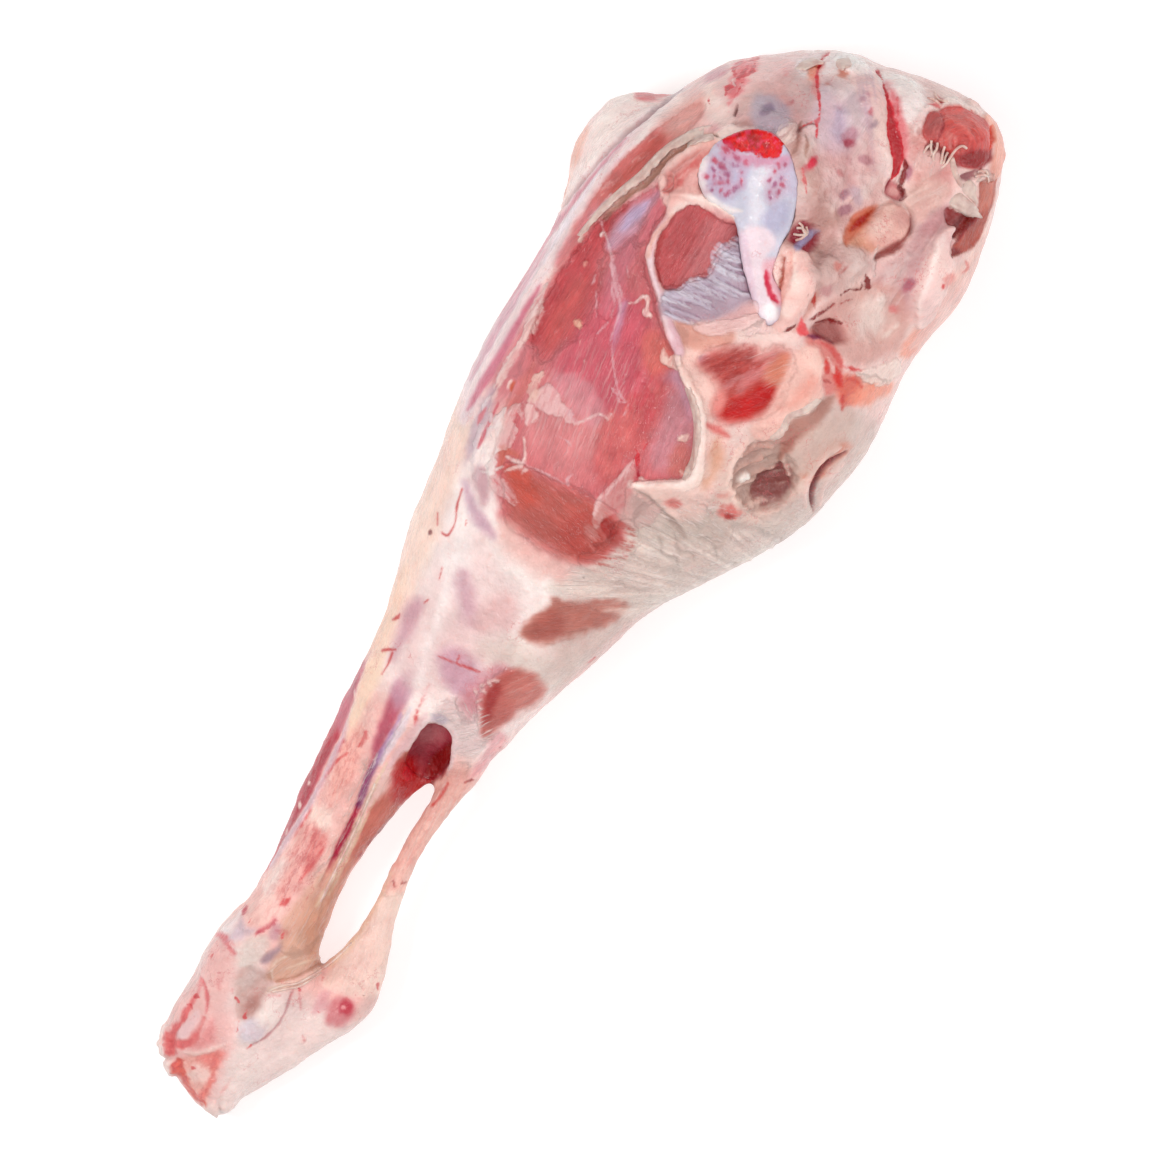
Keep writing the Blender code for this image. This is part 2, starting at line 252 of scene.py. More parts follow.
class Surface:
    """A piece's points with what is modelled and painted on them.

    The base colour is what shows on plain fat. Over it lie bare meat, pale veils of skin or fat, and blood. Each of
    those keeps how deep every point lies inside it, so that the material can give it a clean torn edge. The kinds
    say how lean and how wet a place is, how mottled with raw red, and how covered with a film of white threads.
    """

    OUTSIDE = -4.0

    def __init__(self, place, shown, base):
        self.place = place
        self.shown = shown
        count = len(place)
        self.tint = np.tile(np.array(base, float) / 255, (count, 1))
        self.meat_tint = self.tint.copy()
        self.veil_tint = self.tint.copy()
        self.opacity = {"meat": np.ones(count), "veil": np.ones(count), "blood": np.ones(count)}
        self.depth = {name: np.full(count, self.OUTSIDE) for name in self.opacity}
        self.rise = np.zeros(count)
        self.kinds = {"lean": np.zeros(count), "wet": np.full(count, 0.5), "raw": np.zeros(count),
                      "film": np.zeros(count)}
        self.grain = place.copy()

    def near(self, line, reach):
        low, high = line.min(0) - reach, line.max(0) + reach
        spots = self.place[:, :2]
        return np.nonzero(((spots > low) & (spots < high)).all(1) & (self.shown > 0))[0]

    def streaked(self, spots, angle, length, width, seed):
        """Random streaks that run at this angle."""
        turn = math.radians(angle)
        along = spots[:, 0] * math.cos(turn) + spots[:, 1] * math.sin(turn)
        across = spots[:, 1] * math.cos(turn) - spots[:, 0] * math.sin(turn)
        return wander(np.stack([along / length, across / width, spots[:, 2] / length], 1), 1.0, seed)

    def mark(self, what, near, depth, tint, soft, ragged, lumps, amount=1.0, rise=0.0, grain=None, streaks=None,
             wrinkle=0.0, layer=None, over=False, fade=None, **kinds):
        """Colours and lifts the points by how deep they lie in a mark, with a wandering, eased edge."""
        seed = zlib.crc32(what.encode())
        spots = self.place[near]
        if ragged:
            depth = depth + ragged * wander(spots, lumps, seed, 3)
        share = eased(depth / soft + 0.5) * self.shown[near]
        if fade:
            (x, y), (x1, y1) = fade
            step = np.array((x1 - x, y1 - y), float)
            faded = eased((spots[:, :2] - (x, y)) @ step / (step @ step))
            share, depth = share * faded, depth - 3 * (1 - faded)
        self.rise[near] += rise * share
        if streaks:
            lines = self.streaked(spots, *streaks[:3], seed + 1)
            self.rise[near] += wrinkle * share * lines
            if len(streaks) > 3:
                share = share * eased((lines + 2 * streaks[3] - 1) / 0.7 + 0.5)
                depth = np.minimum(depth, (lines + 2 * streaks[3] - 1) * streaks[2])
        hidden = -self.OUTSIDE * (1 - self.shown[near])
        if layer:
            self.depth[layer][near] = np.maximum(self.depth[layer][near], depth - hidden)
            bleed = eased((depth + 1.6) / 1.2)
            self.opacity[layer][near] += bleed * (amount - self.opacity[layer][near])
            tints = {"meat": self.meat_tint, "veil": self.veil_tint}.get(layer)
            if tints is not None and tint is not None:
                tints[near] += bleed[:, None] * (np.array(tint) / 255 - tints[near])
        elif tint is not None:
            for tints in (self.tint, self.meat_tint):
                tints[near] += (share * amount)[:, None] * (np.array(tint) / 255 - tints[near])
        if over:
            for name in self.depth:
                self.depth[name][near] = np.minimum(self.depth[name][near], -depth + hidden)
        share = share * amount
        for kind, value in kinds.items():
            self.kinds[kind][near] += share * (value - self.kinds[kind][near])
        if grain is not None:
            mine = near[depth > -1.5]
            spots = self.place[mine]
            if isinstance(grain, tuple):
                off = spots[:, :2] - grain
                along = np.arctan2(off[:, 1], off[:, 0]) * 12
                across = np.hypot(off[:, 0], off[:, 1])
            else:
                turn = math.radians(grain)
                along = spots[:, 0] * math.cos(turn) + spots[:, 1] * math.sin(turn)
                across = spots[:, 1] * math.cos(turn) - spots[:, 0] * math.sin(turn)
            self.grain[mine] = np.stack([along, across, spots[:, 2]], 1)

    def patch(self, what, tint, outline, soft=3.0, ragged=1.0, lumps=6.0, **more):
        """A closed area with this outline."""
        line = curve_through(outline, closed=True)
        near = self.near(line, max(soft, 3) + 2 * ragged)
        self.mark(what, near, depth_inside(line, self.place[near, :2]), tint, soft, ragged, lumps, **more)

    def spot(self, what, tint, centre, reach, turn=0.0, soft=2.0, ragged=0.6, lumps=3.0, **more):
        """A round or oval area: its centre, and its reach as one number or along and across its turn."""
        long, short = reach if isinstance(reach, tuple) else (reach, reach)
        near = self.near(np.array([centre]), max(long, short) + max(soft, 3) + 2 * ragged)
        off = self.place[near, :2] - centre
        c, s = math.cos(math.radians(turn)), math.sin(math.radians(turn))
        share = np.hypot((off[:, 0] * c + off[:, 1] * s) / long, (off[:, 1] * c - off[:, 0] * s) / short)
        self.mark(what, near, (1 - share) * min(long, short), tint, soft, ragged, lumps, **more)

    def stroke(self, what, tint, path, width, soft=1.2, ragged=0.3, lumps=4.0, **more):
        """A line along a path. Its width is one number, or several spread evenly along it."""
        line = curve_through(path)
        widths = np.atleast_1d(np.array(width, float))
        near = self.near(line, widths.max() / 2 + max(soft, 3) + 2 * ragged)
        away, along = nearest_on(line, self.place[near, :2])
        half = np.interp(along, np.linspace(0, 1, len(widths)), widths) / 2
        self.mark(what, near, half - away, tint, soft, ragged, lumps, **more)

    def finish(self, mesh):
        """Puts the colours and kinds of tissue on the mesh's points."""
        colours = {
            "tint": (self.tint, np.ones(len(self.tint))),
            "meat tint": (self.meat_tint, self.opacity["meat"]),
            "veil tint": (self.veil_tint, self.opacity["veil"]),
        }
        for name, (tint, opacity) in colours.items():
            tint = np.clip(tint, 0, 1)
            linear = np.where(tint > 0.04045, ((tint + 0.055) / 1.055) ** 2.4, tint / 12.92)
            linear[:, 0] += DARK_WARMTH * np.maximum(SHEEN_LOSS - linear[:, 1:].mean(1), 0)
            linear = np.clip((linear - SHEEN_LOSS) / (1 - SHEEN_LOSS), 0.002, 1)
            kept = mesh.attributes.new(name, "FLOAT_COLOR", "POINT")
            kept.data.foreach_set("color", np.c_[linear, opacity].astype(np.float32).ravel())
        values = self.kinds | {"blood opacity": self.opacity["blood"]}
        values |= {f"{name} depth": np.maximum(depth, self.OUTSIDE) for name, depth in self.depth.items()}
        for name, numbers in values.items():
            kept = mesh.attributes.new(name, "FLOAT", "POINT")
            kept.data.foreach_set("value", numbers.astype(np.float32))
        grain = mesh.attributes.new("grain", "FLOAT_VECTOR", "POINT")
        grain.data.foreach_set("vector", self.grain.astype(np.float32).ravel())


leg = copy_of_solid("leg", "leg_flesh")
fine_mesh(leg, SKIN_GRAIN, 2, 4)
rest_place = points_of(leg.data)
rest_normal = normals_of(leg.data)

FAT = (241, 209, 201)
WHITE_FAT = (251, 229, 224)
PINK_FAT = (243, 186, 179)
BLUSH = (232, 160, 152)
WARM_FAT = (251, 206, 180)
GREY_FAT = (206, 176, 168)
PEARL = (214, 200, 209)
LILAC = (206, 158, 174)
MAUVE = (184, 118, 136)
PURPLE = (138, 84, 116)
ROSE = (208, 114, 122)
RED_MEAT = (192, 84, 82)
BROWN_MEAT = (170, 80, 70)
BRIGHT_MEAT = (180, 44, 36)
MAROON = (118, 42, 38)
BLOOD = (150, 8, 14)
FRESH_BLOOD = (216, 52, 62)
TAN = (206, 142, 112)
SHADOW_FAT = (168, 128, 120)

shown = eased((rest_place[:, 2] - 3) / 7) * eased(rest_normal[:, 2] * 2.2 + 1.0)
flesh = Surface(rest_place, shown, FAT)

# Its outer side and its hanging lower sides: a smooth cover of cream fat, thin enough in places for the meat
# under it to show through as a pink blush, with a few darker windows.
outer = Surface(rest_place, np.ones(len(rest_place)), FAT)
blush = eased(wander(rest_place * (0.5, 1, 1), 34, 5, 3) * 1.1 + 0.35)
outer.tint += (blush * 0.75)[:, None] * (np.array(PINK_FAT) / 255 - outer.tint)
windows = eased(wander(rest_place * (0.45, 1, 1), 30, 11, 3) * 2.2 - 0.75)
outer.tint += (windows * 0.8)[:, None] * (np.array(ROSE) / 255 - outer.tint)
flesh.tint = outer.tint
flesh.meat_tint = outer.tint.copy()
flesh.kinds["lean"] += windows * 0.8
# The broad colours of the shown side: pale at the hock, pinker along the shank, cream at the knee, greyer with painted
# shade where the thigh turns away on the heel side, and whitish pink over the rump.
flesh.patch("hock fat", (236, 210, 205), ((-250, -55), (-250, 25), (-170, 24), (-165, -55)), soft=14)
flesh.patch("shank skin", (243, 190, 182), ((-172, -52), (-168, 22), (-60, 45), (-56, -50)), soft=14)
flesh.patch("knee cream", WHITE_FAT, ((-66, -50), (-62, 40), (0, 62), (34, 66), (26, 10), (22, -70)), soft=16)
flesh.patch("heel side fat", (214, 186, 178), ((-30, -60), (-26, -26), (12, -18), (40, -8), (62, -26), (96, -44), (150, -60),
            (150, -95), (40, -95)), soft=16, ragged=3, lumps=20)
flesh.patch("front edge fat", WHITE_FAT, ((30, 70), (40, 56), (120, 58), (170, 52), (190, 56), (150, 95)), soft=8)
flesh.patch("rump fat", (238, 200, 194), ((140, -95), (118, -60), (128, -30), (160, -8), (176, 0), (186, 20), (178, 38),
            (164, 60), (190, 80), (255, 60), (255, -95)), soft=10, ragged=3, lumps=14)

# The hock: knuckly bone ends under thin pale fat, with ragged lumps round the raw end where the foot was cut off.
# A hollow of sinew leads to the gap, and the heel carries a bruise.
flesh.patch("hock blush", (236, 178, 173), ((-240, -18), (-236, 2), (-222, 11), (-200, 12), (-184, 13), (-186, 2), (-200, -2),
            (-208, -10), (-222, -17)), soft=9, amount=0.8, ragged=2)
for x, y, long, short, turn, height in (
    (-233.4, -0.6, 3, 2.4, 60, 2.4), (-229.4, 5, 2.6, 2, 50, 2.0), (-225, 8.4, 3.6, 1.8, 24, 1.8), (-237.6, -21.6, 3.2, 2.6, 50, 2.2),
    (-233.8, -25.4, 2.4, 1.4, -30, 1.4), (-236.4, -16, 2.4, 1.6, 80, 0.8),
):
    flesh.spot(f"ragged lump {x}", (246, 216, 209), (x, y), (long, short), turn=turn, soft=1.4, rise=height, amount=0.85)
RAW_END = ((-238.4, -18), (-237.6, -12), (-235.6, -6), (-231.6, -0.6), (-228, -2), (-223, -5.6), (-219, -11), (-222, -13.6),
           (-229, -15.8), (-234, -17.4))
flesh.patch("raw end", (240, 176, 164), RAW_END, soft=2.4, amount=0.85, ragged=0.8, rise=-0.6, raw=0.3)
flesh.patch("raw end's pale middle", (240, 206, 198), ((-234, -8), (-230, -6), (-227, -8), (-227, -13), (-231, -14)),
            soft=3, amount=0.8, ragged=1, raw=0.1)
flesh.stroke("raw end's outer edge", (222, 96, 84), ((-237.6, -17), (-237, -12), (-235.6, -7), (-233, -3.4), (-231, -0.8)),
             (3, 2, 2.4, 3.4, 2), soft=1.4, amount=0.85, ragged=0.9, lumps=2, raw=0.9)
flesh.stroke("raw end's lower edge", (230, 126, 118), ((-237.4, -15.4), (-232, -15.8), (-227, -14.6), (-222, -12.4)),
             (2.6, 2, 1.8, 3), soft=1.8, amount=0.8, ragged=0.8, lumps=2.4, raw=0.6)
flesh.patch("raw end's soft side", (234, 136, 128), ((-226, -6), (-221, -8), (-217, -13), (-221, -14), (-225, -11)), soft=4,
            amount=0.85, ragged=1.2, raw=0.35)
flesh.stroke("pale fold round the raw end", (242, 206, 198), ((-226, -0.6), (-224.6, -4), (-220, -8), (-215, -11.4)),
             (0.8, 1.8, 2, 0.8), soft=1.2, amount=0.8, rise=0.6)
flesh.stroke("red fold", (226, 104, 104), ((-229, 2.6), (-225.6, 5.4), (-221, 6.4), (-217, 5.8), (-211.6, 6.8), (-205, 7.2)),
             (2.4, 3.6, 3.2, 2.4, 1.6, 1), soft=1.8, amount=0.85, ragged=0.8, lumps=2.4, rise=-0.5, raw=0.7)
flesh.patch("lilac skin in the fold", (238, 200, 200), ((-222, 4.8), (-216, 4.6), (-210, 4), (-212, 1.4), (-218, 1), (-222, 2)),
            soft=1.8, amount=0.85, ragged=0.6, rise=0.4)
flesh.stroke("red fold's return", (222, 106, 106), ((-225.8, 4), (-224.2, 1.4), (-221, -0.6), (-216, -0.8), (-211, 0.4)),
             (2.8, 3.6, 2.4, 1.2, 0.6), soft=1.8, amount=0.85, ragged=0.8, rise=-0.5, raw=0.5)
flesh.patch("pink under the fold", (228, 144, 142), ((-223, -2), (-217, -2), (-210, -2), (-213, -6), (-218, -7)), soft=4,
            amount=0.75, ragged=1, raw=0.2)
flesh.stroke("higher fold", (222, 112, 114), ((-209, 0.8), (-205, 3), (-201.6, 5.6), (-199.6, 9.4)), (0.5, 1.3, 1.3, 0.7),
             soft=1, amount=0.8, rise=-0.4, raw=0.4)
flesh.stroke("higher fold's branch", (228, 140, 140), ((-206, 6), (-202, 8), (-199.6, 9.4)), (0.5, 1.2, 0.5), soft=1, amount=0.7)
flesh.stroke("faint fold", (228, 148, 146), ((-199, 1.8), (-196.4, 3.4), (-193.4, 4.8)), (0.6, 1.8, 0.6), soft=1.4, amount=0.7)
flesh.spot("hock knuckle", None, (-214, 5), (14, 6), turn=8, soft=8, rise=1.4)
flesh.spot("hock knuckle inner", None, (-192, 7), (10, 6), turn=10, soft=7, rise=1.5)
flesh.spot("hock end knob", None, (-229, -19), (9, 7), soft=8, rise=1.2)
for path, width in (
    (((-211, 8), (-210.4, 6.6), (-211.2, 5)), (0.5, 1.1, 0.5)), (((-206.6, 7.6), (-206.2, 6.6), (-205.8, 5.6)), (1.2, 2.2, 0.8)),
    (((-229.8, -6.6), (-229, -7.4)), (1.4, 0.8)), (((-198.2, -4.4), (-198.9, -6.8)), (0.8, 0.9)), (((-202, -11.9),
    (-201, -11.4), (-199.8, -11.2)), (1.4, 1.3, 0.5)), (((-211.2, -19.3), (-209.4, -19.9)), (0.7, 1.2)),
    (((-181.6, -22.6), (-181, -21.7)), (1.4, 0.7)), (((-208.2, -12.6), (-206, -11.4), (-204.3, -10.9)), 0.4),
    (((-169.4, -5.8), (-168, -5.4)), 1.1), (((-164.6, -47), (-163, -45.6)), (0.7, 1.4)), (((-170.4, 7.5), (-172.4, 7.6)), 0.5),
    (((-191.8, 10.6), (-189.6, 11.2)), 0.4), (((-184.8, -32.6), (-184, -34.2)), 0.5), (((-174, -27.6), (-172.4, -27.3)), 0.5),
):
    flesh.stroke(f"hock blood mark {path[0]}", BLOOD, path, width, ragged=0.3, lumps=1.4, layer="blood", amount=0.72,
                 rise=-0.3)
flesh.stroke("pink scratch", (226, 130, 124), ((-230, -20.6), (-227.6, -20.9), (-224, -20.6)), (0.6, 1.2, 0.5), soft=0.8,
             amount=0.75)
flesh.patch("upper knuckle's pink", (238, 184, 179), ((-199, 8), (-192, 13), (-184, 14), (-185, 8), (-190, 4), (-197, 4)), soft=5,
            amount=0.7, ragged=1, raw=0.15)
flesh.stroke("deep pink ridge", (220, 116, 120), ((-183, 15), (-181.8, 12.4), (-182.8, 9), (-184.2, 5)), (1.4, 2.6, 2.6, 1.2),
             soft=1.8, amount=0.85, ragged=0.5, rise=-0.5, raw=0.4)
flesh.patch("white shine at the joint", (246, 230, 230), ((-181, 14.6), (-174, 13.6), (-170, 12.6), (-174, 11), (-180, 11.6)),
            soft=2, amount=0.8)
flesh.patch("lilac veil", (216, 190, 200), ((-182, 10), (-177, 11), (-172, 11), (-169, 6), (-170, 3), (-174, 4),
            (-178, 6)), soft=3, amount=0.85, ragged=1, film=0.3)
flesh.patch("beige pad", (222, 202, 194), ((-187, 2), (-181, 4), (-174, 3), (-172, -2), (-178, -4), (-186, -2)), soft=4,
            amount=0.85, ragged=1, rise=0.6)
flesh.stroke("pale rim by the ridge", (240, 222, 216), ((-182.4, 8.8), (-183, 5), (-180.6, 2)), (0.7, 1.4, 0.7), soft=1,
             amount=0.75, rise=0.4)
for k, (path, width) in enumerate((
    (((-170.8, 11.2), (-169, 11.8), (-167.6, 12.2)), (1, 1.9, 0.8)), (((-173.6, 3), (-169.6, 1.6), (-165.4, 0)), (0.8, 2, 1.6)),
    (((-170, 5), (-168.6, 3.6)), (0.8, 1.5)), (((-161, 2), (-158, 1.4), (-155, 0.8)), (1, 2.4, 1)), (((-168.6, -2), (-167.4, -6)),
    (1, 3)), (((-165.6, 1.6), (-163, 3)), 1.2),
)):
    flesh.stroke(f"crimson mark {k}", (186, 62, 78), path, width, soft=1.3, amount=0.8, ragged=0.6, lumps=1.6, raw=0.6)
flesh.patch("heel fat", (243, 216, 210), ((-236, -26), (-222, -18), (-205, -24), (-188, -28), (-182, -38), (-186, -48),
            (-215, -42)), soft=8, amount=0.8)
flesh.spot("cartilage", (216, 200, 207), (-204.4, -16.6), (5.4, 4.4), turn=-20, soft=3, amount=0.9, rise=0.7, wet=0.7)
flesh.spot("bright fat", (243, 226, 219), (-195.6, -17), (6.6, 3.8), turn=14, soft=4.6, amount=0.8, rise=0.8)
flesh.stroke("thin mauve arc", (186, 128, 130), ((-209, -20), (-204, -22.6), (-197, -23.7), (-190, -22.8), (-184.4, -20.8)),
             (0.5, 0.8, 1, 0.8, 0.5), soft=0.8, amount=0.75, rise=-0.3)
flesh.patch("sinew hollow", (200, 162, 154), ((-202, -11), (-199, -5), (-193, -2), (-187, -3), (-184, -8), (-188, -13),
            (-196, -14)), soft=5, ragged=1.5, rise=-2.2, amount=0.85, wet=0.7)
flesh.spot("hollow's grey pad", (212, 186, 180), (-189, -5), (5, 2.6), turn=-14, soft=3, amount=0.8, rise=0.9)
flesh.patch("hollow's slate shade", (158, 128, 138), ((-181.6, -5), (-178, -4.2), (-174, -6), (-170, -7), (-173, -8.8),
            (-178, -8.2)), soft=2.6, amount=0.85, ragged=0.8, rise=-0.7)
flesh.spot("hollow's brown foot", (178, 126, 118), (-197, -11.6), (5, 2.2), turn=-8, soft=3, amount=0.75)
flesh.patch("mauve side of the hollow", (196, 146, 154), ((-172, -2), (-166, -1), (-165, -6), (-169, -8)), soft=2.4,
            amount=0.75, ragged=0.8)
flesh.patch("sinew web", (212, 162, 140), ((-186, -10), (-178, -9), (-168, -9), (-156, -7), (-150, -8), (-152, -15),
            (-160, -19), (-168, -24), (-175, -21), (-182, -16)), soft=3.4, amount=0.85, ragged=1.2, grain=-16, lean=0.35,
            film=0.35)
flesh.stroke("web's pale loop", (236, 212, 196), ((-184, -12), (-181, -9.6), (-177, -9.6), (-174, -11.4)), (0.5, 0.8, 0.7, 0.4),
             soft=0.8, amount=0.75, rise=0.3)
for k, (path, width) in enumerate((
    (((-188, -13), (-183.6, -16.6), (-179.6, -20.4), (-174, -23), (-166, -26.4), (-156, -28)), (0.6, 1.3, 1.6, 1.6, 1.4, 0.8)),
    (((-188.6, -14.6), (-184.4, -18), (-180.4, -21.4), (-172, -25)), (0.5, 1, 1, 0.5)),
    (((-190.6, -12.8), (-186.4, -15), (-182, -19)), (0.4, 0.9, 0.5)), (((-178, -14), (-172, -18), (-167.6, -22)), (0.4, 0.9, 0.6)),
)):
    flesh.stroke(f"sinew cord {k}", (236, 204, 182), path, width, soft=1.2, amount=0.65, rise=0.6)
flesh.stroke("shadow beside the cords", (176, 120, 96), ((-184, -14), (-179, -18.4), (-172, -22), (-167, -24.4)), 1.2, soft=1,
             amount=0.65, rise=-0.5)
for (x0, y0), (x1, y1) in (((-190, -14.4), (-187.6, -17.8)), ((-187.6, -27.4), (-182, -22.8)), ((-187, -21.9), (-182.4, -20.4)),
                           ((-188.6, -14.6), (-186.4, -16.4)), ((-196.6, -35.4), (-195.4, -33.8)), ((-197.4, -2.6), (-196, -1.8))):
    flesh.stroke("pink seam", (214, 132, 132), ((x0, y0), (x1, y1)), 0.6, soft=0.9, amount=0.6)
flesh.patch("heel bruise", (216, 130, 134), ((-186, -38), (-182, -35), (-177, -35), (-174, -39), (-175, -44), (-179, -45),
            (-184, -43)), soft=4, amount=0.85, ragged=1, raw=0.3)
flesh.spot("heel bruise's core", (190, 60, 76), (-177, -41), (3.2, 2.4), turn=50, soft=2.4, amount=0.85, raw=0.4)
flesh.spot("heel bruise's glint", (244, 176, 174), (-177.4, -39.8), 0.8, soft=0.8, amount=0.75)
flesh.patch("faint bruise", (224, 164, 168), ((-186, -32), (-181, -30), (-177, -30), (-176, -33), (-182, -34.6)), soft=2.6,
            amount=0.7, ragged=1, raw=0.25)
flesh.stroke("heel vein", (240, 206, 196), ((-167.6, -38.4), (-164.6, -41.6), (-163, -45)), 0.6, soft=0.8, amount=0.7, rise=0.3)
flesh.patch("heel tip's grey shade", (218, 184, 176), ((-182, -48), (-172, -50), (-162, -48), (-166, -44), (-176, -45)), soft=4,
            amount=0.6)

# The shank: the shin bone under pink mottled skin, the long shin muscle along the front edge, the peach tendon that
# runs into the knee, and the deep muscle band that shows above the gap. The heel tendon bridges the gap.
flesh.patch("shin face", (246, 196, 187), ((-172, 10), (-150, 13), (-120, 16), (-95, 20), (-76, 22), (-78, 14), (-97, 10),
            (-115, 6), (-135, 1), (-160, 0), (-171, 3)), soft=3, ragged=1, grain=8, rise=0.5, raw=0.25, film=0.2)
flesh.patch("mottled skin left", (236, 168, 160), ((-158, 2), (-150, 10), (-136, 12), (-127, 12), (-124, 6), (-134, 1),
            (-148, 0)), soft=4, amount=0.8, ragged=2, raw=0.72)
flesh.patch("rawest skin", (226, 130, 124), ((-146, 1), (-138, 6), (-129, 7), (-127, 3), (-138, 0)), soft=4, amount=0.75,
            ragged=1.5, raw=0.85)
flesh.patch("cream skin between", (251, 218, 206), ((-128, 5), (-126, 12), (-121, 14), (-119, 7), (-123, 4)), soft=3.4,
            amount=0.85, ragged=1, raw=0.1)
flesh.spot("pale start of the shin", (250, 222, 215), (-152, 9.6), (9, 2.6), turn=8, soft=3, amount=0.8, raw=0.3)
flesh.patch("mottled skin right", (244, 176, 164), ((-119, 8), (-108, 15), (-94, 19), (-86, 17), (-90, 12), (-104, 8)), soft=4,
            amount=0.8, ragged=1.4, grain=14, raw=0.55)
for k, (path, width) in enumerate((
    (((-99, 17.6), (-97, 18.2), (-94.6, 18)), (0.8, 1.9, 0.7)), (((-93.4, 12.6), (-90, 12.4), (-86.6, 13.4)), (0.8, 1.8, 0.6)),
    (((-132, 12.8), (-126, 13), (-121.4, 13.6)), (0.3, 0.8, 0.4)), (((-147, 1.2), (-140, 0.8), (-133, 1)), (0.8, 1.4, 0.6)),
    (((-160, 2), (-157.6, 1), (-155.6, 0.4)), (1, 2.6, 0.9)), (((-74.4, -0.2), (-71.8, 1.2), (-69.4, 2.4)), (0.9, 1.3, 0.4)),
    (((-69.4, 2.4), (-64, 3.4), (-58, 4.8)), (0.3, 0.4, 0.3)), (((-115, 15.8), (-104, 16), (-98, 14.6)), (0.4, 1, 0.4)),
)):
    flesh.stroke(f"red fleck in the shin {k}", (208, 70, 72), path, width, soft=1.1, amount=0.75, ragged=0.5, lumps=1.6)
flesh.patch("shin muscle", (192, 80, 92), ((-152, 14.4), (-142, 15.2), (-130, 15.8), (-118, 16.6), (-106, 18.8), (-94, 21.4),
            (-82, 24.4), (-70, 27.6), (-58, 31), (-58, 36), (-80, 33), (-110, 28), (-140, 22), (-152, 18)), soft=2.4, ragged=0.5,
            lean=0.8, grain=11, rise=-0.3)
flesh.patch("shin muscle's mauve end", (206, 124, 140), ((-92, 22), (-78, 25), (-62, 30), (-58, 34), (-76, 32), (-88, 27)),
            soft=4, amount=0.7, ragged=1)
flesh.stroke("shin muscle's dark heart", (174, 62, 72), ((-126, 18.4), (-110, 21), (-94, 23.6)), (0.6, 2.6, 0.8), soft=2,
             amount=0.6)
flesh.stroke("shin muscle's silver seam", (228, 196, 206), ((-150, 13.4), (-135, 14.2), (-120, 14.9), (-106, 17), (-92, 19.8),
             (-80, 22.8), (-66, 26.8)), (2, 2.4, 2.2, 2, 2, 1.8, 1), soft=1.6, amount=0.85, rise=0.3)
for x, y in ((-124.6, 18.2), (-115.8, 20), (-78, 25.4), (-136, 16.6)):
    flesh.spot("white fleck", (252, 226, 216), (x, y), (1.1, 0.5), turn=24, soft=0.6, amount=0.9)
flesh.patch("peach tendon", (251, 214, 190), ((-94, 17), (-82, 18), (-70, 20), (-58, 24), (-46, 28), (-48, 32), (-60, 30),
            (-74, 26), (-86, 22)), soft=3, amount=0.9, ragged=0.8, rise=0.7, grain=14, raw=0.0)
flesh.patch("sheath under the shin", (232, 178, 168), ((-146, 0), (-130, 0.4), (-112, 4), (-98, 7), (-92, 5), (-104, 2),
            (-118, -2), (-134, -4)), soft=2.6, amount=0.85, grain=9, film=0.85, raw=0.2)
flesh.patch("mauve seam", (186, 88, 106), ((-98, 5), (-92, 8), (-84, 11), (-76, 13), (-68, 15), (-63, 14), (-66, 10),
            (-72, 8), (-80, 6), (-90, 5)), soft=3, amount=0.92, ragged=0.8, grain=13, lean=0.6, rise=-0.7)
flesh.patch("mauve seam's lilac end", (206, 156, 172), ((-74, 9), (-70, 15), (-62, 16), (-58, 12), (-64, 8)), soft=4,
            amount=0.8, ragged=1)
flesh.stroke("dark slit", (170, 44, 68), ((-145, -6.3), (-136, -5.4), (-128, -3.8), (-120, -2.2), (-112, -0.5)),
             (1, 3, 3, 2.6, 2), soft=1.4, amount=0.95, rise=-1.0, ragged=0.3, wet=0.8, lean=0.5)
flesh.stroke("slit's soft start", (214, 120, 124), ((-152, -7.6), (-146, -6.8), (-140, -6)), (0.6, 2, 1), soft=2, amount=0.7)
flesh.stroke("blue seam", (140, 76, 116), ((-112, -0.5), (-105, 1.6), (-99, 3.2), (-91, 4.1), (-82, 5)),
             (2.2, 2.8, 2.8, 2.2, 1), soft=1.5, amount=0.9, rise=-0.7, ragged=0.3)
flesh.stroke("blue seam's lilac end", (188, 154, 190), ((-97, 3.4), (-90, 4.2), (-80, 5.4), (-74, 6.6)), (0.8, 2, 1.8, 0.6),
             soft=1.4, amount=0.8)
flesh.stroke("white sheath", (232, 216, 224), ((-94, 2.2), (-86, 3.2), (-78, 3.6), (-70, 5)), (1, 2.6, 3, 1), soft=1.6,
             amount=0.8, rise=0.3, film=0.5)
flesh.patch("pink over the pocket", (234, 190, 192), ((-104, -1), (-92, 0.4), (-76, 0.6), (-68, -1.4), (-80, -3), (-92, -3.4)),
            soft=2.4, amount=0.85, ragged=0.8)
flesh.patch("orange sheath", (216, 164, 142), ((-172, -8), (-164, -2), (-148, -3), (-134, -5), (-136, -9), (-152, -11),
            (-164, -16)), soft=4, amount=0.8, ragged=1, grain=4, film=0.3)
flesh.patch("deep band", (194, 106, 92), ((-160, -16), (-148, -12), (-132, -9), (-114, -5.4), (-98, -3.4), (-84, -3.4),
            (-84, -20), (-98, -18), (-116, -14), (-136, -12.6), (-152, -17)), soft=2, amount=0.92, ragged=0.6, grain=2,
            lean=0.7, raw=0.15)
flesh.patch("deep band's tan end", (212, 152, 126), ((-170, -19), (-158, -9), (-142, -9), (-130, -10), (-140, -14),
            (-158, -20)), soft=6, amount=0.85, ragged=1)
flesh.patch("deep band's pale top", (232, 192, 184), ((-110, -4), (-102, -1.6), (-94, -1.4), (-92, -3.8), (-99, -6)), soft=2.4,
            amount=0.85, ragged=0.8)
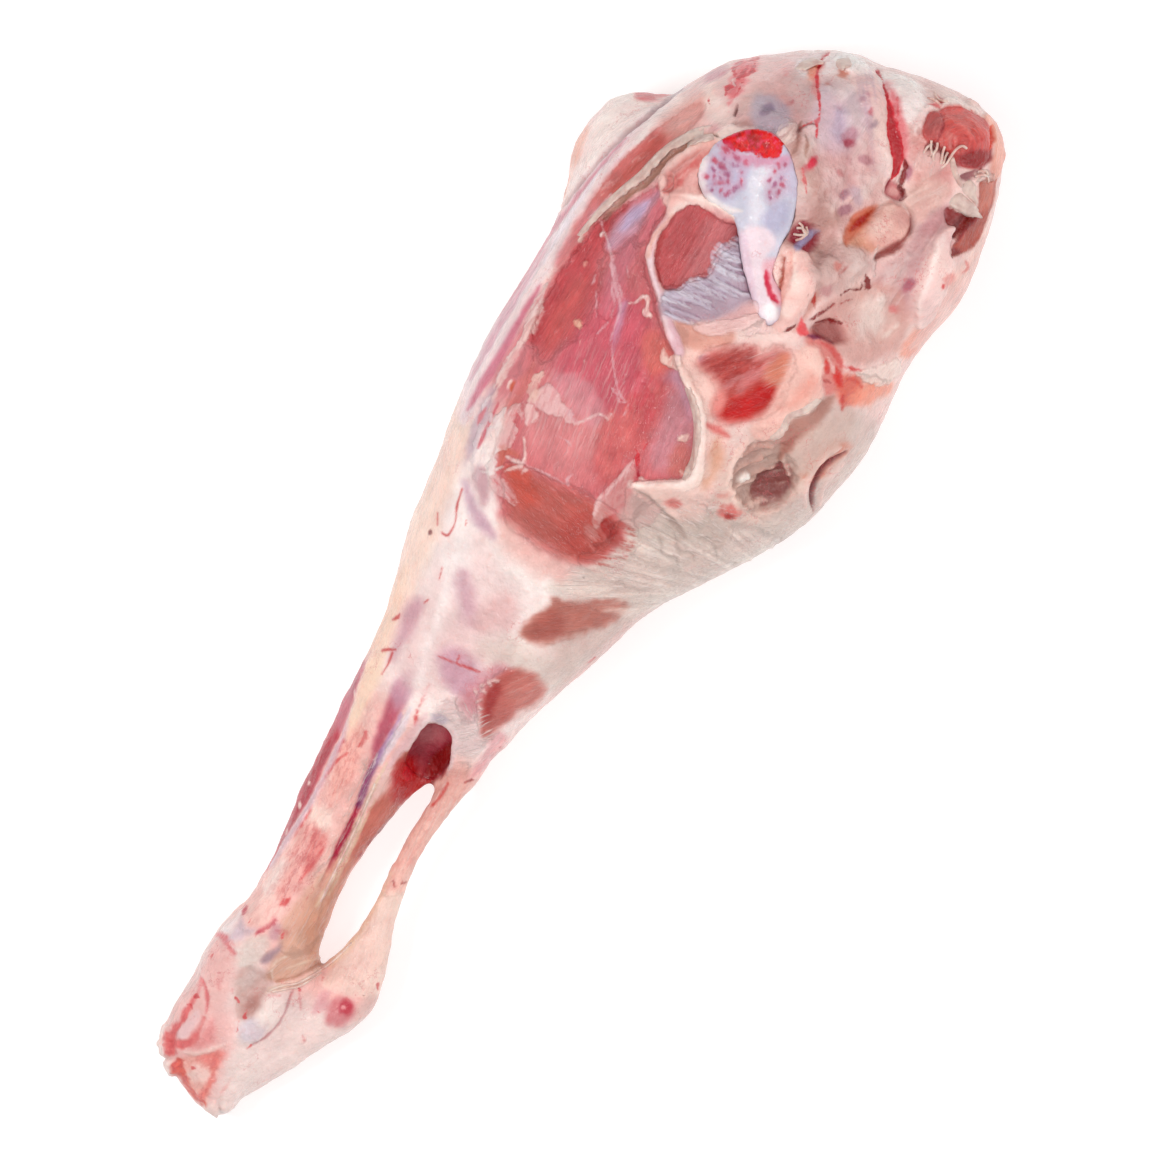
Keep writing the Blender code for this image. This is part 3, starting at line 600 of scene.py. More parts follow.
flesh.stroke("cream ribbon", (230, 200, 172), ((-152, -9.4), (-138, -7.6), (-126, -5.6), (-114, -3.4), (-103, -1), (-92, 0.4)),
             (0.8, 1.6, 1.9, 1.8, 1.3, 0.6), soft=1.1, amount=0.9, ragged=0.4, rise=0.5, film=0.6)
flesh.stroke("ribbon's second thread", (214, 176, 150), ((-146, -10.6), (-132, -8.6), (-118, -6.2), (-106, -4.2)),
             (0.5, 1, 1, 0.5), soft=0.8, amount=0.8, rise=0.2)
flesh.patch("deep band's red end", (184, 56, 58), ((-102, -8), (-96, -5), (-88, -4), (-84, -8), (-84, -18), (-94, -17),
            (-102, -14)), soft=4, amount=0.8, ragged=1, wet=0.8, raw=0.3)
flesh.stroke("deep band's dark edge", (140, 34, 36), ((-122, -12.4), (-110, -13.6), (-98, -16.4), (-88, -18.6)), (1, 2, 2.6, 2),
             soft=1.4, amount=0.8, ragged=0.6)
# The pocket is red meat. Its inside, darkest at its floor, is deepened with painted shade.
flesh.patch("pocket under the web", (160, 68, 78), ((-88, -6), (-81, -4.2), (-73, -3.8), (-69.6, -6.6), (-68.9, -10),
            (-70.6, -13.6), (-74.6, -16.4), (-80, -18.8), (-86, -19.4), (-90, -13)), soft=1.2, amount=1, ragged=0.3, rise=-2.4,
            lean=0.5, grain=30, wet=0.8, fade=((-94, -9), (-84, -7)))
flesh.patch("pocket's floor", (128, 26, 38), ((-88, -14), (-83, -12), (-77, -13), (-73, -15), (-78, -18), (-86, -19)),
            soft=3, amount=0.9, ragged=0.8, rise=-0.8, wet=0.9)
flesh.spot("pocket's pale wall", (186, 108, 112), (-75.4, -7.8), (5, 3), turn=-30, soft=3.4, amount=0.75)
flesh.spot("clot's halo", (190, 34, 38), (-91.6, -8), (5.4, 3.8), turn=10, soft=4, amount=0.85, ragged=1)
flesh.spot("clot by the pocket", (120, 0, 8), (-91.4, -8.4), (2.6, 1.8), turn=20, ragged=0.9, lumps=2, wet=0.9,
           layer="blood", amount=0.85)
flesh.stroke("web's rim", (234, 204, 204), ((-84, -3), (-76, -2.4), (-70, -3), (-67.6, -7), (-67.4, -11), (-69.6, -15),
             (-75, -18), (-82, -20.6)), (0.8, 1.4, 2, 2.4, 2.2, 1.8, 1.2), soft=1.1, amount=0.85, rise=0.8, ragged=0.4)
flesh.patch("web's white threads", (226, 194, 192), ((-68, -5), (-63, -3), (-56, -8), (-55, -20), (-62, -27), (-70, -24),
            (-73, -19), (-67, -14)), soft=3, amount=0.85, grain=-40, film=0.9)
flesh.spot("web's grey end", (182, 164, 176), (-67, -5.6), (1.6, 3), turn=20, soft=1.6, amount=0.75)
flesh.patch("heel tendon", (246, 212, 199), ((-176, -30), (-164, -27), (-150, -26), (-134, -25), (-118, -22), (-98, -20),
            (-84, -20), (-84, -36), (-100, -33), (-118, -34), (-134, -37), (-150, -44), (-164, -50)), soft=3,
            amount=0.9, grain=14, lean=0.15, film=0.25)
flesh.patch("heel tendon's pink run", (238, 178, 166), ((-132, -26), (-120, -23), (-100, -20), (-82, -20), (-76, -27),
            (-90, -32), (-112, -31), (-128, -33)), soft=5, amount=0.8, ragged=1.2, grain=8, raw=0.3, film=0.3)
flesh.stroke("heel tendon's yellow edge", (244, 208, 180), ((-168, -27), (-154, -28), (-138, -27), (-126, -25)), (1, 2.6, 2, 1),
             soft=2, amount=0.75)
flesh.stroke("heel tendon's red line", (212, 84, 80), ((-96, -22.8), (-91, -23.4), (-85, -23)), (0.5, 1.4, 0.5), soft=1,
             amount=0.8, rise=-0.3)
flesh.patch("rosy foot of the web", (232, 160, 164), ((-78, -28), (-66, -27), (-58, -28), (-60, -32), (-72, -32)), soft=3,
            amount=0.7, grain=0, raw=0.3, film=0.4)
for (x0, y0), (x1, y1) in (((-129, -29), (-127.4, -27.8)), ((-126.6, -30.6), (-125.4, -32)), ((-81.4, -27.8), (-79.2, -29.2)),
                           ((-79.2, -29.2), (-79, -30)), ((-63, -31.4), (-62.4, -31.6)), ((-127.4, -11.8), (-126.2, -11.9))):
    flesh.stroke("nick in the shank", (150, 46, 48), ((x0, y0), (x1, y1)), 0.8, soft=0.7, amount=0.75)

# The knee and the calf: cream fat over the joint, orange along its front edge, with mauve muscle showing faintly
# through it and two windows of red calf muscle whose fibres fan out into the fat.
flesh.patch("calf's soft pink", (234, 200, 197), ((-66, 4), (-60, 20), (-40, 24), (-14, 30), (0, 24), (-6, 2), (-20, -10),
            (-40, -8), (-56, -4)), soft=10, amount=0.7, ragged=2)
flesh.patch("front edge cream", (249, 212, 196), ((-64, 36), (-62, 27), (-44, 27), (-26, 31), (-8, 36), (14, 42), (34, 50),
            (30, 60), (-4, 56), (-40, 44)), soft=6, amount=0.85, ragged=1.5, grain=24, film=0.2)
flesh.patch("front edge orange", (251, 208, 182), ((-60, 28), (-48, 29), (-38, 32), (-28, 38), (-42, 38), (-56, 34)), soft=5,
            amount=0.75, ragged=1)
flesh.patch("mauve behind the tendon", (206, 150, 162), ((-60, 22), (-50, 21), (-40, 22), (-34, 26), (-40, 29), (-50, 26)),
            soft=5, amount=0.8, ragged=1)
flesh.spot("knee highlight", (253, 240, 236), (-12, 24), (16, 5), turn=28, soft=8, amount=0.7)
flesh.spot("knee second highlight", (253, 236, 230), (-2, 4), (5, 14), turn=6, soft=8, amount=0.7, rise=0.5)
flesh.patch("mauve calf high", (204, 156, 168), ((-30, 4), (-24, 8), (-16, 17), (-20, 20), (-26, 15), (-31, 9)), soft=6,
            amount=0.75, ragged=1.5, grain=50, lean=0.3)
flesh.patch("pink calf below it", (226, 178, 176), ((-32, 2), (-22, 5), (-14, 2), (-16, -6), (-26, -6)), soft=6, amount=0.7)
flesh.stroke("white band over the calf", (253, 238, 234), ((-60, 8), (-48, 13), (-36, 16), (-26, 20), (-16, 26)), 4, soft=5,
             amount=0.7, rise=0.4, grain=20)
flesh.stroke("purple seam", (196, 150, 168), ((1, 18), (3, 25), (7, 33), (11, 38)), (3, 5, 4, 2), soft=4, amount=0.75,
             rise=-0.4, ragged=0.8)
flesh.patch("shaded cream", (220, 196, 187), ((-36, -2), (-30, -6), (-24, -16), (-26, -30), (-32, -36), (-38, -22),
            (-38, -10)), soft=8, amount=0.7)
flesh.patch("calf's bluish muscle", (200, 150, 166), ((-56, -6), (-53, 3), (-48, 8), (-43, 6), (-41, -2), (-44, -10), (-52, -11)),
            soft=6, amount=0.8, ragged=1.2, lean=0.3, grain=75)
flesh.patch("calf's rosy muscle", (198, 126, 134), ((-60, -16), (-56, -9), (-46, -9), (-38, -12), (-36, -18), (-46, -20)),
            soft=6, amount=0.8, ragged=1.2, lean=0.4, grain=60)
flesh.patch("lower calf window", (186, 96, 88), ((-64, -24), (-58, -19), (-52, -15), (-44, -14), (-37, -18), (-33, -25),
            (-34, -31), (-40, -33), (-50, -29), (-58, -26)), soft=4.6, amount=0.92, ragged=1.2, lean=0.85, grain=-32,
            rise=-0.4)
flesh.patch("lower calf window's deep part", (160, 62, 62), ((-60, -21), (-53, -17), (-46, -15), (-43, -17), (-50, -21),
            (-57, -22)), soft=3, amount=0.8, ragged=1)
flesh.patch("lower calf window's pale side", (204, 126, 116), ((-44, -20), (-38, -21), (-33, -26), (-36, -32), (-46, -29)),
            soft=5, amount=0.7, ragged=1, film=0.2)
for x, y in ((-49, -13.6), (-53, -14.4), (-45, -13.8), (-43, -15.4), (-50.6, -11.4), (-47.4, -12.2), (-55, -16.6)):
    flesh.spot(f"fleck of torn fat {x}", (240, 204, 198), (x, y), (1.2, 0.7), turn=x * 31 % 180, layer="veil", ragged=0.3, lumps=1,
               amount=0.8, soft=0.8, rise=0.3)
flesh.patch("upper calf window", (184, 110, 98), ((-23, -13), (-17, -12), (-9, -15), (-5, -14), (-3, -18), (1, -25),
            (6, -32), (10, -38), (5, -39), (-3, -36), (-9, -32), (-16, -26), (-22, -21)), soft=4.4, amount=0.92,
            ragged=1.4, lumps=4, lean=0.85, grain=-50, rise=-0.4)
flesh.patch("upper calf window's deep end", (168, 88, 80), ((-22, -16), (-14, -15), (-8, -19), (-11, -25), (-19, -22)),
            soft=4, amount=0.65)
flesh.patch("striated fat", (214, 190, 180), ((-4, -12), (8, -16), (22, -24), (40, -22), (54, -34), (66, -58), (80, -76),
            (50, -74), (20, -60), (0, -48), (10, -38)), soft=6, amount=0.8, ragged=2, grain=-62, film=0.75)
for k, (angle, outline) in enumerate((
    (-55, ((-2, -10), (6, -14), (16, -30), (24, -52), (10, -48), (4, -36))),
    (-68, ((14, -20), (24, -24), (34, -50), (40, -66), (26, -60), (18, -40))),
    (-84, ((26, -22), (38, -26), (46, -52), (50, -70), (40, -66), (32, -46))),
    (-94, ((38, -26), (48, -32), (56, -56), (62, -74), (50, -72), (44, -50))),
)):
    flesh.patch(f"fan of fat ribs {k}", (240, 220, 210), outline, soft=5, amount=0.6, ragged=1.5, grain=angle,
                streaks=(angle, 30, 1.5, 0.5), wrinkle=0.35)
flesh.patch("wrinkled grey fat", (192, 170, 160), ((34, -24), (46, -26), (52, -36), (56, -50), (50, -56), (42, -44),
            (36, -34)), soft=5, amount=0.7, ragged=2, grain=-84, streaks=(-82, 22, 3.0, 0.85), wrinkle=0.8)
# The grey creases are painted shade in the wrinkles of the fat.
for k, (x, y) in enumerate(((36, -27), (41, -30), (38, -41), (45, -46), (48, -36), (33, -37))):
    bend = 1.5 * math.sin(k * 2.4)
    flesh.stroke(f"grey crease {k}", (166, 146, 138), ((x, y), (x + bend, y - 3), (x + 0.6, y - 7), (x - 1.6, y - 10)),
                 (0.6, 1.5, 1.1, 0.4), soft=1.4, amount=0.5, rise=-0.6, ragged=0.6)
flesh.stroke("heel side edge", (236, 186, 180), ((-66, -33), (-40, -37), (-12, -43), (10, -48)), 5, soft=4, amount=0.6)
KNEE_MARKS = (
    (((-58.4, 25.8), (-56.8, 24.4), (-55.4, 22.4)), (1.2, 1.2, 0.5)), (((-66, 21), (-62, 21.6), (-57, 22.8)), (0.3, 0.6, 0.5)),
    (((-46.6, 29.4), (-45, 28.8), (-43.6, 29)), (0.6, 1.4, 0.4)), (((-9.4, 33.8), (-8.8, 31.4), (-5, 31.6), (-1, 33),
    (3, 35.4), (8.6, 37.4)), (0.7, 0.8, 0.6, 0.5, 0.7, 0.5)), (((-48, 8), (-46.8, 3), (-45.2, -3), (-43.8, -8.6)),
    (0.4, 0.8, 0.9, 0.5)), (((-34.6, 23.8), (-32.8, 23.2)), 0.6), (((-2, 28), (-0.4, 29)), 0.5), (((-8, 37), (-4, 39.4)), 0.4),
    (((-46, 0.8), (-43, 1.6)), 0.4), (((-17, -39.6), (-14, -40.6)), 0.5), (((-24, 24.4), (-20, 26)), 0.4),
)
for k, (path, width) in enumerate(KNEE_MARKS):
    flesh.stroke(f"knee mark {k}", (196, 66, 66), path, width, soft=0.8, amount=0.8, ragged=0.2)
flesh.spot("dark fleck", (120, 60, 62), (-11.6, 37.5), (0.9, 0.5), soft=0.6, amount=0.8)

# The thigh: the great inner muscle, cut bare and a little sunk behind the edge of the fat on its right. It is dark
# and plain at its lower end, milky under silverskin in the middle and bright at the top.
THIGH_LEAN = ((8, 20), (12, 22), (15, 26), (19, 30), (24, 33), (31, 35), (38, 37), (44, 40), (54, 43), (64, 46), (70, 49.6),
              (82, 53), (96, 54.4), (110, 54.8), (120, 53.6), (128, 51), (136, 47), (144, 44), (150, 42), (147, 38.6),
              (142, 37), (136, 34.6), (128, 34.2), (121, 33), (115, 27), (110, 20), (105, 14.4), (100, 9), (96.6, 2),
              (94, -1), (91.6, -3.5), (89.4, -7), (86, -13), (82, -18.5), (76, -22), (70, -25.6), (65, -28.6), (61, -29.4),
              (57.6, -27), (54, -22), (50, -18), (46, -16), (42, -18), (38, -20), (33, -21.6), (28, -23), (21, -22), (15, -19),
              (10, -12), (7, -4), (7, 8))
flesh.patch("inner thigh muscle", (208, 112, 115), THIGH_LEAN, soft=5, ragged=0.8, lean=0.75, grain=14, wet=0.65)
flesh.patch("inner thigh muscle's bare edge", (206, 110, 114), THIGH_LEAN, soft=1.6, ragged=0.5, lean=0.8, rise=-1.6,
            layer="meat", fade=((42, -6), (58, -10)))
flesh.patch("milky thigh", (214, 124, 126), ((30, 22), (40, 28), (52, 30), (58, 22), (58, 10), (48, 4), (40, -4), (34, 0),
            (31, 10)), soft=9, amount=0.8, ragged=3, lumps=9)
flesh.patch("silverskin's haze", (228, 152, 152), ((36, 8), (40, 30), (56, 38), (74, 36), (84, 20), (80, 4), (64, 2), (48, 2)),
            soft=12, amount=0.4, ragged=4, film=0.55, lean=0.55)
flesh.patch("crimson middle", (205, 92, 106), ((62, 12), (62, 32), (70, 38), (84, 37), (96, 38), (104, 32), (102, 18),
            (92, 8), (78, 4), (68, 4)), soft=10, amount=0.85, ragged=3, lumps=9)
flesh.patch("low rose muscle", (205, 98, 98), ((40, -4), (48, 4), (60, 8), (76, 4), (84, -4), (70, -9), (56, -8), (46, -7)),
            soft=7, amount=0.75, ragged=2.5, lumps=7)
flesh.patch("low rose muscle's curved bundles", (218, 116, 112), ((42, -6), (48, 2), (56, 7), (66, 8), (70, 2), (62, -4),
            (52, -7)), soft=4, amount=0.6, ragged=1.5, streaks=(48, 16, 1.8, 0.5), wrinkle=0.25)
flesh.patch("red grained muscle", (198, 78, 88), ((66, -4), (72, 6), (84, 12), (92, 9), (88, 0), (78, -6)), soft=6, amount=0.6,
            ragged=2, streaks=(28, 4, 1.3, 0.5), wrinkle=0.35)
flesh.patch("blushing meat at the edge", (222, 116, 106), ((84, 4), (90, 13), (97, 15), (98, 8), (95, 2), (90, 1)), soft=5,
            amount=0.8, ragged=1.5)
flesh.patch("lilac skin low", (206, 140, 148), ((64, -12), (74, -8), (84, -4), (90, -4), (86, -12), (78, -20), (68, -24),
            (60, -22), (58, -15)), soft=7, amount=0.85, ragged=2, lean=0.45, wet=0.7)
flesh.patch("lilac skin's blue edge", (200, 156, 176), ((86, -1), (91, -3), (87, -10), (82, -16), (78, -17), (84, -8)),
            soft=4, amount=0.7, ragged=1)
flesh.patch("warm foot of the muscle", (204, 112, 104), ((58, -22), (64, -19), (70, -20), (68, -25), (62, -28)), soft=4,
            amount=0.75, ragged=1.4)
flesh.patch("dark bare muscle", (190, 98, 90), ((9, 16), (14, 20), (19, 22), (22, 27), (26, 27), (28, 21), (30, 10),
            (32, 2), (33, -6), (34, -14), (33, -20), (28, -22), (20, -21), (14, -17), (10, -11), (9, -2), (8, 8)), soft=7,
            amount=0.95, ragged=1.5, lumps=5, lean=0.9, grain=84)
flesh.patch("orange top of it", (197, 86, 74), ((16, 15), (20, 21), (22, 26), (26, 27), (27, 20), (24, 14), (20, 11)),
            soft=6, amount=0.85, ragged=1.5)
flesh.patch("deep foot of it", (180, 82, 76), ((10, -8), (16, -3), (24, -2), (29, -7), (24, -12), (22, -20), (15, -17)), soft=7,
            amount=0.85, ragged=2, lumps=5)
flesh.spot("deep red end of it", (160, 56, 54), (28.4, -16), (5.4, 3.4), turn=70, soft=4, amount=0.85, ragged=1.2)
flesh.patch("its fanned fringe", (186, 92, 86), ((12, -14), (18, -18), (26, -20), (32, -20), (34, -25), (28, -28), (20, -27),
            (13, -22)), soft=3, amount=0.8, ragged=1.4, grain=-66, streaks=(-66, 12, 1.0, 0.45), wrinkle=0.3)
flesh.patch("milk over its foot", (206, 140, 134), ((20, -12), (24, -9), (27, -11), (25, -17), (22, -21), (19, -18)), soft=3,
            amount=0.6, ragged=1.4, streaks=(70, 8, 1.4, 0.6))
flesh.patch("soft pink left of it", (226, 168, 160), ((-2, 2), (0, 12), (4, 18), (9, 18), (9, 0), (10, -12), (4, -14), (0, -8)),
            soft=8, amount=0.75, ragged=1.6, streaks=(88, 26, 3, 0.95))
flesh.patch("bright upper muscle", (198, 84, 88), ((66, 41), (70, 46), (68, 49), (76, 52), (88, 54), (102, 55), (114, 55),
            (122, 53), (130, 50), (134, 48), (126, 47), (116, 48), (108, 46), (100, 41), (90, 38), (78, 38), (70, 39)),
            soft=5, amount=0.95, ragged=1.6, lean=0.95, grain=4)
flesh.patch("upper muscle's orange run", (204, 94, 90), ((70, 43), (80, 49), (92, 49), (100, 46), (92, 42), (80, 40)), soft=6,
            amount=0.6, ragged=1.6)
flesh.patch("mauve run below it", (206, 118, 130), ((92, 32), (100, 38), (110, 42), (118, 44), (124, 42), (118, 36),
            (108, 34), (100, 30)), soft=5, amount=0.8, ragged=1.6, grain=16)
flesh.patch("bluish skin under the membrane", (204, 156, 174), ((114, 46), (122, 49), (130, 48), (138, 45), (142, 42),
            (134, 41), (124, 41), (117, 43)), soft=4, amount=0.9, ragged=1.2, lean=0.3, wet=0.7, grain=-8)
flesh.patch("its pale blue light", (196, 180, 214), ((122, 46.6), (128, 47.4), (136, 44.4), (138, 43), (130, 43), (123, 44)),
            soft=2.4, amount=0.7, ragged=0.8, streaks=(-6, 14, 1.6, 0.9))
flesh.patch("rose under it", (208, 112, 122), ((122, 38), (132, 40), (142, 42), (148, 42), (144, 39), (134, 36),
            (126, 35)), soft=3, amount=0.85, ragged=0.8, lean=0.6, grain=4)

# What still clings to the thigh: torn films of fat by the knee, a white tongue in the middle, the veil over its
# lower end, lines of fascia, and crumbs of fat.
PINK_WHITE = (240, 206, 202)
flesh.patch("milky film in the middle", (218, 146, 152), ((56, 12), (58, 30), (62, 34), (67, 30), (68, 20), (64, 12),
            (60, 9)), soft=4, amount=0.75, ragged=2)
flesh.patch("white tongue", (235, 190, 188), ((50, 34), (53, 36), (56, 35.4), (59, 34), (59.4, 30), (57.4, 26), (56.4, 22),
            (54.4, 18.4), (53, 16.8), (51.8, 21), (50.4, 27), (49.6, 31)), ragged=0.9, lumps=3, rise=0.5, amount=0.85,
            layer="veil", soft=1.5)
flesh.patch("white tongue's root", (238, 204, 190), ((49, 35), (52, 37.4), (57, 39.6), (62, 39.4), (61, 37.4), (57, 36.4),
            (53, 34.6)), ragged=1.2, lumps=2.4, rise=0.3, amount=0.75, layer="veil", soft=1.5, streaks=(24, 7, 1.2, 0.8))
flesh.stroke("white tongue's thread", PINK_WHITE, ((53, 16.6), (56, 14.6), (59, 13), (61, 11.4), (61.6, 8.4)),
             (1.4, 0.9, 1.1, 0.7, 0.8), ragged=0.2, amount=0.85, rise=0.3, layer="veil", soft=1)
flesh.spot("thread's knot", PINK_WHITE, (61.4, 7.8), (1.4, 0.6), turn=10, ragged=0.4, amount=0.85, layer="veil")
flesh.spot("thread's second knot", PINK_WHITE, (63.4, 7.8), 0.7, ragged=0.3, amount=0.85, layer="veil")
flesh.patch("small tongue", (238, 196, 192), ((42, 32), (45, 34.4), (48.4, 36.4), (49.6, 34.6), (48, 31), (46, 28.8),
            (43.4, 29.8)), ragged=1, lumps=2.6, rise=0.45, amount=0.85, layer="veil", soft=1.5)
flesh.patch("films by the knee", (243, 224, 220), ((19, 31), (23, 35), (28, 36.4), (32, 40.6), (38, 42), (43, 41),
            (45.4, 38), (42, 36), (38, 34.4), (33, 34.2), (30, 33), (26, 33.4), (22, 30.6)), ragged=1.5, lumps=3, rise=0.6,
            amount=0.88, layer="veil", soft=2, streaks=(26, 12, 2.2, 0.85))
flesh.patch("films' torn lower edge", (236, 200, 196), ((30, 35), (37, 37), (44, 39.6), (47, 37), (42, 33.6), (36, 31.6),
            (31, 31.6)), ragged=1.4, lumps=2.4, rise=0.3, amount=0.6, layer="veil", soft=1.6, streaks=(70, 7, 1.6, 0.55))
flesh.patch("upright wisps", (228, 186, 184), ((16, 29.6), (20.6, 29.6), (19.6, 24), (17.6, 18.6), (15.6, 17.6), (14.8, 22)),
            ragged=0.9, lumps=3, rise=0.3, amount=0.7, layer="veil", soft=1.5, streaks=(78, 9, 1.6, 0.75))
flesh.stroke("curl of film", (242, 208, 200), ((23.4, 27.6), (26, 26), (28.6, 23.8), (32, 24.6), (35, 26.6), (38, 29)),
             (0.8, 1.6, 2, 1.2, 0.8, 0.4), ragged=0.35, lumps=2, rise=0.6, amount=0.88, layer="veil", soft=1.2)
flesh.stroke("curl's spur", (240, 206, 200), ((28.2, 30.4), (28.6, 27), (29.6, 24)), (0.7, 1.6, 1.2), ragged=0.3, rise=0.4,
             amount=0.85, layer="veil", soft=1)
flesh.spot("curl's drop", (236, 196, 190), (27.8, 21.6), (1.5, 0.9), turn=-20, ragged=0.4, rise=0.3, amount=0.8, layer="veil")
flesh.stroke("white thread by the films", (246, 228, 224), ((18, 35.4), (19.4, 32.6), (22, 30.8), (24, 29.6)),
             (0.5, 1, 1.2, 0.6), ragged=0.3, amount=0.9, rise=0.3, layer="veil", soft=1)
flesh.patch("orange window", (207, 108, 94), ((23.6, 30), (27, 33.6), (31, 34), (31.8, 30), (31, 26.8), (29.6, 28.4),
            (28, 30.4), (25.4, 29.8)), soft=2, amount=0.85, ragged=0.9, lumps=3, over=False)
flesh.patch("red window", (211, 118, 114), ((43, 41), (50, 42.4), (58, 43.6), (63, 43.4), (60, 40.8), (52, 38.4), (46, 38)),
            soft=2.4, amount=0.8, ragged=1.2, lumps=3, lean=0.5)
flesh.patch("silvery streaks by the knee", (226, 208, 210), ((14, 34), (18, 40), (26, 44), (36, 45.4), (38, 43), (30, 40),
            (22, 36)), ragged=1.5, lumps=3, rise=0.3, amount=0.7, layer="veil", soft=2, streaks=(22, 16, 1.3, 0.62))
flesh.patch("purple grey streaks", (190, 160, 172), ((16, 41), (24, 46), (34, 49), (46, 50), (46, 47), (36, 45),
            (26, 42)), soft=3, amount=0.75, ragged=1.4, streaks=(14, 20, 1.8, 0.7))
flesh.patch("mauve beside the knee", (196, 146, 154), ((8, 28), (12, 34), (18, 37), (20, 33), (16, 30), (12, 26)), soft=4,
            amount=0.8, ragged=1.4, streaks=(46, 12, 2.4, 0.85))
flesh.stroke("silver glint", (250, 240, 240), ((37.4, 48.2), (40, 48.7), (43, 48.4)), (0.6, 1.4, 0.5), amount=0.85, rise=0.4,
             layer="veil")
flesh.stroke("red line in the seam", (202, 84, 98), ((24.6, 41.2), (31, 42.3), (38, 43.8), (43, 44.8)), (0.6, 1.3, 0.9, 0.4),
             soft=0.9, amount=0.85)
flesh.stroke("pink line above it", (208, 110, 118), ((32, 46.4), (35, 47.2), (38.6, 47.4)), (0.6, 1.8, 0.5), soft=1, amount=0.75)
flesh.stroke("orange nick", (212, 96, 70), ((49.4, 43.4), (51, 44.2), (52.8, 44.2)), (0.7, 1.4, 0.6), soft=0.8, amount=0.85)
flesh.stroke("orange nick's lip", (250, 222, 210), ((49.6, 44.9), (51.2, 45.4), (52.6, 45.2)), 0.7, soft=0.7, amount=0.8,
             rise=0.3)
flesh.spot("red notch at the tongue", (216, 112, 112), (54.8, 35.4), (1.1, 0.7), soft=0.9, amount=0.8)
flesh.patch("veil over the foot", (214, 166, 160), ((25, -13), (28, -9.4), (32, -7), (38, -7.6), (45, -8.2), (51, -8.6),
            (54.6, -9.2), (53, -11.6), (48.6, -13.6), (46.6, -17), (46.4, -22), (46, -27.6), (41, -28.6), (38, -29), (34.6, -26),
            (33.4, -21), (34.6, -15), (30, -13)), ragged=0.8, lumps=3, rise=0.5, amount=0.62, layer="veil", soft=2,
            streaks=(-78, 16, 3.4, 1.0), wrinkle=0.3)
flesh.patch("veil's grey tail", (205, 180, 172), ((34, -18), (44, -16), (46, -22), (46, -29), (40, -33), (34, -30)), soft=4,
            amount=0.8, ragged=1.4, streaks=(-80, 14, 2.4, 0.9))
flesh.stroke("veil's white lip", (240, 206, 202), ((30, -8.4), (35, -7), (43, -8), (50, -8.8), (54, -9.6)),
             (0.5, 0.9, 0.6, 1.3, 0.9), ragged=0.25, amount=0.75, rise=0.35, layer="veil", soft=1)
flesh.stroke("blood by the veil", BLOOD, ((53.6, -11.4), (55.4, -10.4), (57.4, -9.2), (58.2, -7.4)), (0.8, 2, 1.1, 0.3),
             amount=0.85, ragged=0.3, layer="blood")
flesh.stroke("thin blood line", BLOOD, ((59.6, -10.2), (61.4, -9.8), (63, -9.9)), (0.9, 0.7, 0.4), amount=0.6, layer="blood")
flesh.stroke("red under the lip", (178, 50, 62), ((50.2, -16.4), (51, -14.2), (53.4, -12)), (0.5, 1, 0.9), soft=0.8,
             amount=0.75, rise=-0.4)
flesh.patch("fringe on the cut's tip", (240, 206, 198), ((46.2, -13.4), (48, -13.6), (49.4, -15.6), (51, -14.2), (51.4, -16),
            (49.8, -18), (47.6, -17.4)), ragged=0.5, lumps=1.6, rise=0.6, amount=0.9, layer="veil", soft=1)
flesh.patch("lavender run", (200, 142, 166), ((82, 21), (86, 24), (94, 27), (99, 29.6), (101, 27.6), (94, 25), (88, 22.6)),
            soft=2.4, amount=0.8, ragged=0.8, streaks=(24, 18, 1.2, 0.9), lean=0.3)
FASCIA = (238, 208, 212)
FASCIA_LINES = (
    (((120.6, 53.6), (118.2, 50.6), (115, 46), (111, 42), (107, 38.6), (103, 34.4), (100.4, 31), (98, 28)),
     (0.8, 0.7, 1.1, 1.3, 1.5, 1.7, 1.9, 0.8)),
    (((116, 47), (112, 42), (106.4, 36.6), (103.4, 32.6), (101.6, 30)), (0.3, 0.7, 0.8, 1.2, 0.6)),
    (((105, 37.6), (101, 34.6), (98, 31), (93, 29.4)), (0.4, 0.9, 0.8, 0.4)),
    (((98, 28.2), (92, 26.4), (86, 24.6)), (1, 0.9, 0.4)),
    (((85, 23), (80.4, 19.4), (75.6, 14.6), (72, 10.4), (70.4, 6.4)), (0.5, 0.7, 0.7, 1.1, 0.8)),
    (((71.6, 13.4), (70.6, 10), (69, 8.2), (70.2, 6.2)), (0.4, 0.8, 1, 0.7)),
    (((85, 30), (88, 29.8), (91, 29.2)), (0.4, 1, 0.5)),
    (((99.2, 42.8), (101, 43.3), (103, 43.7)), (0.5, 1, 0.5)),
    (((45.2, 20), (46, 16.4), (45.6, 13)), (0.3, 0.6, 0.3)),
    (((30, 22), (31.6, 14), (32.6, 7)), (0.3, 0.7, 0.5)),
    (((33, 5.4), (34.4, 6.8), (37, 6.4)), (1.3, 1.6, 0.5)),
    (((66, 3.4), (68.4, 3.8), (70.6, 4.6)), (0.4, 0.6, 0.3)),
    (((56, 21), (55, 18.4), (54.6, 17)), (0.3, 0.6, 0.3)),
    (((90, 34), (94, 36.6), (98, 40)), (0.3, 0.6, 0.3)),
    (((108, 33), (110, 34.6), (112.6, 36)), (0.3, 0.7, 0.3)),
)
for path, width in FASCIA_LINES:
    flesh.stroke("fascia line", FASCIA, path, np.array(width) * 0.8, amount=0.5, rise=0.3, ragged=0.3, lumps=2, layer="veil",
                 soft=1)
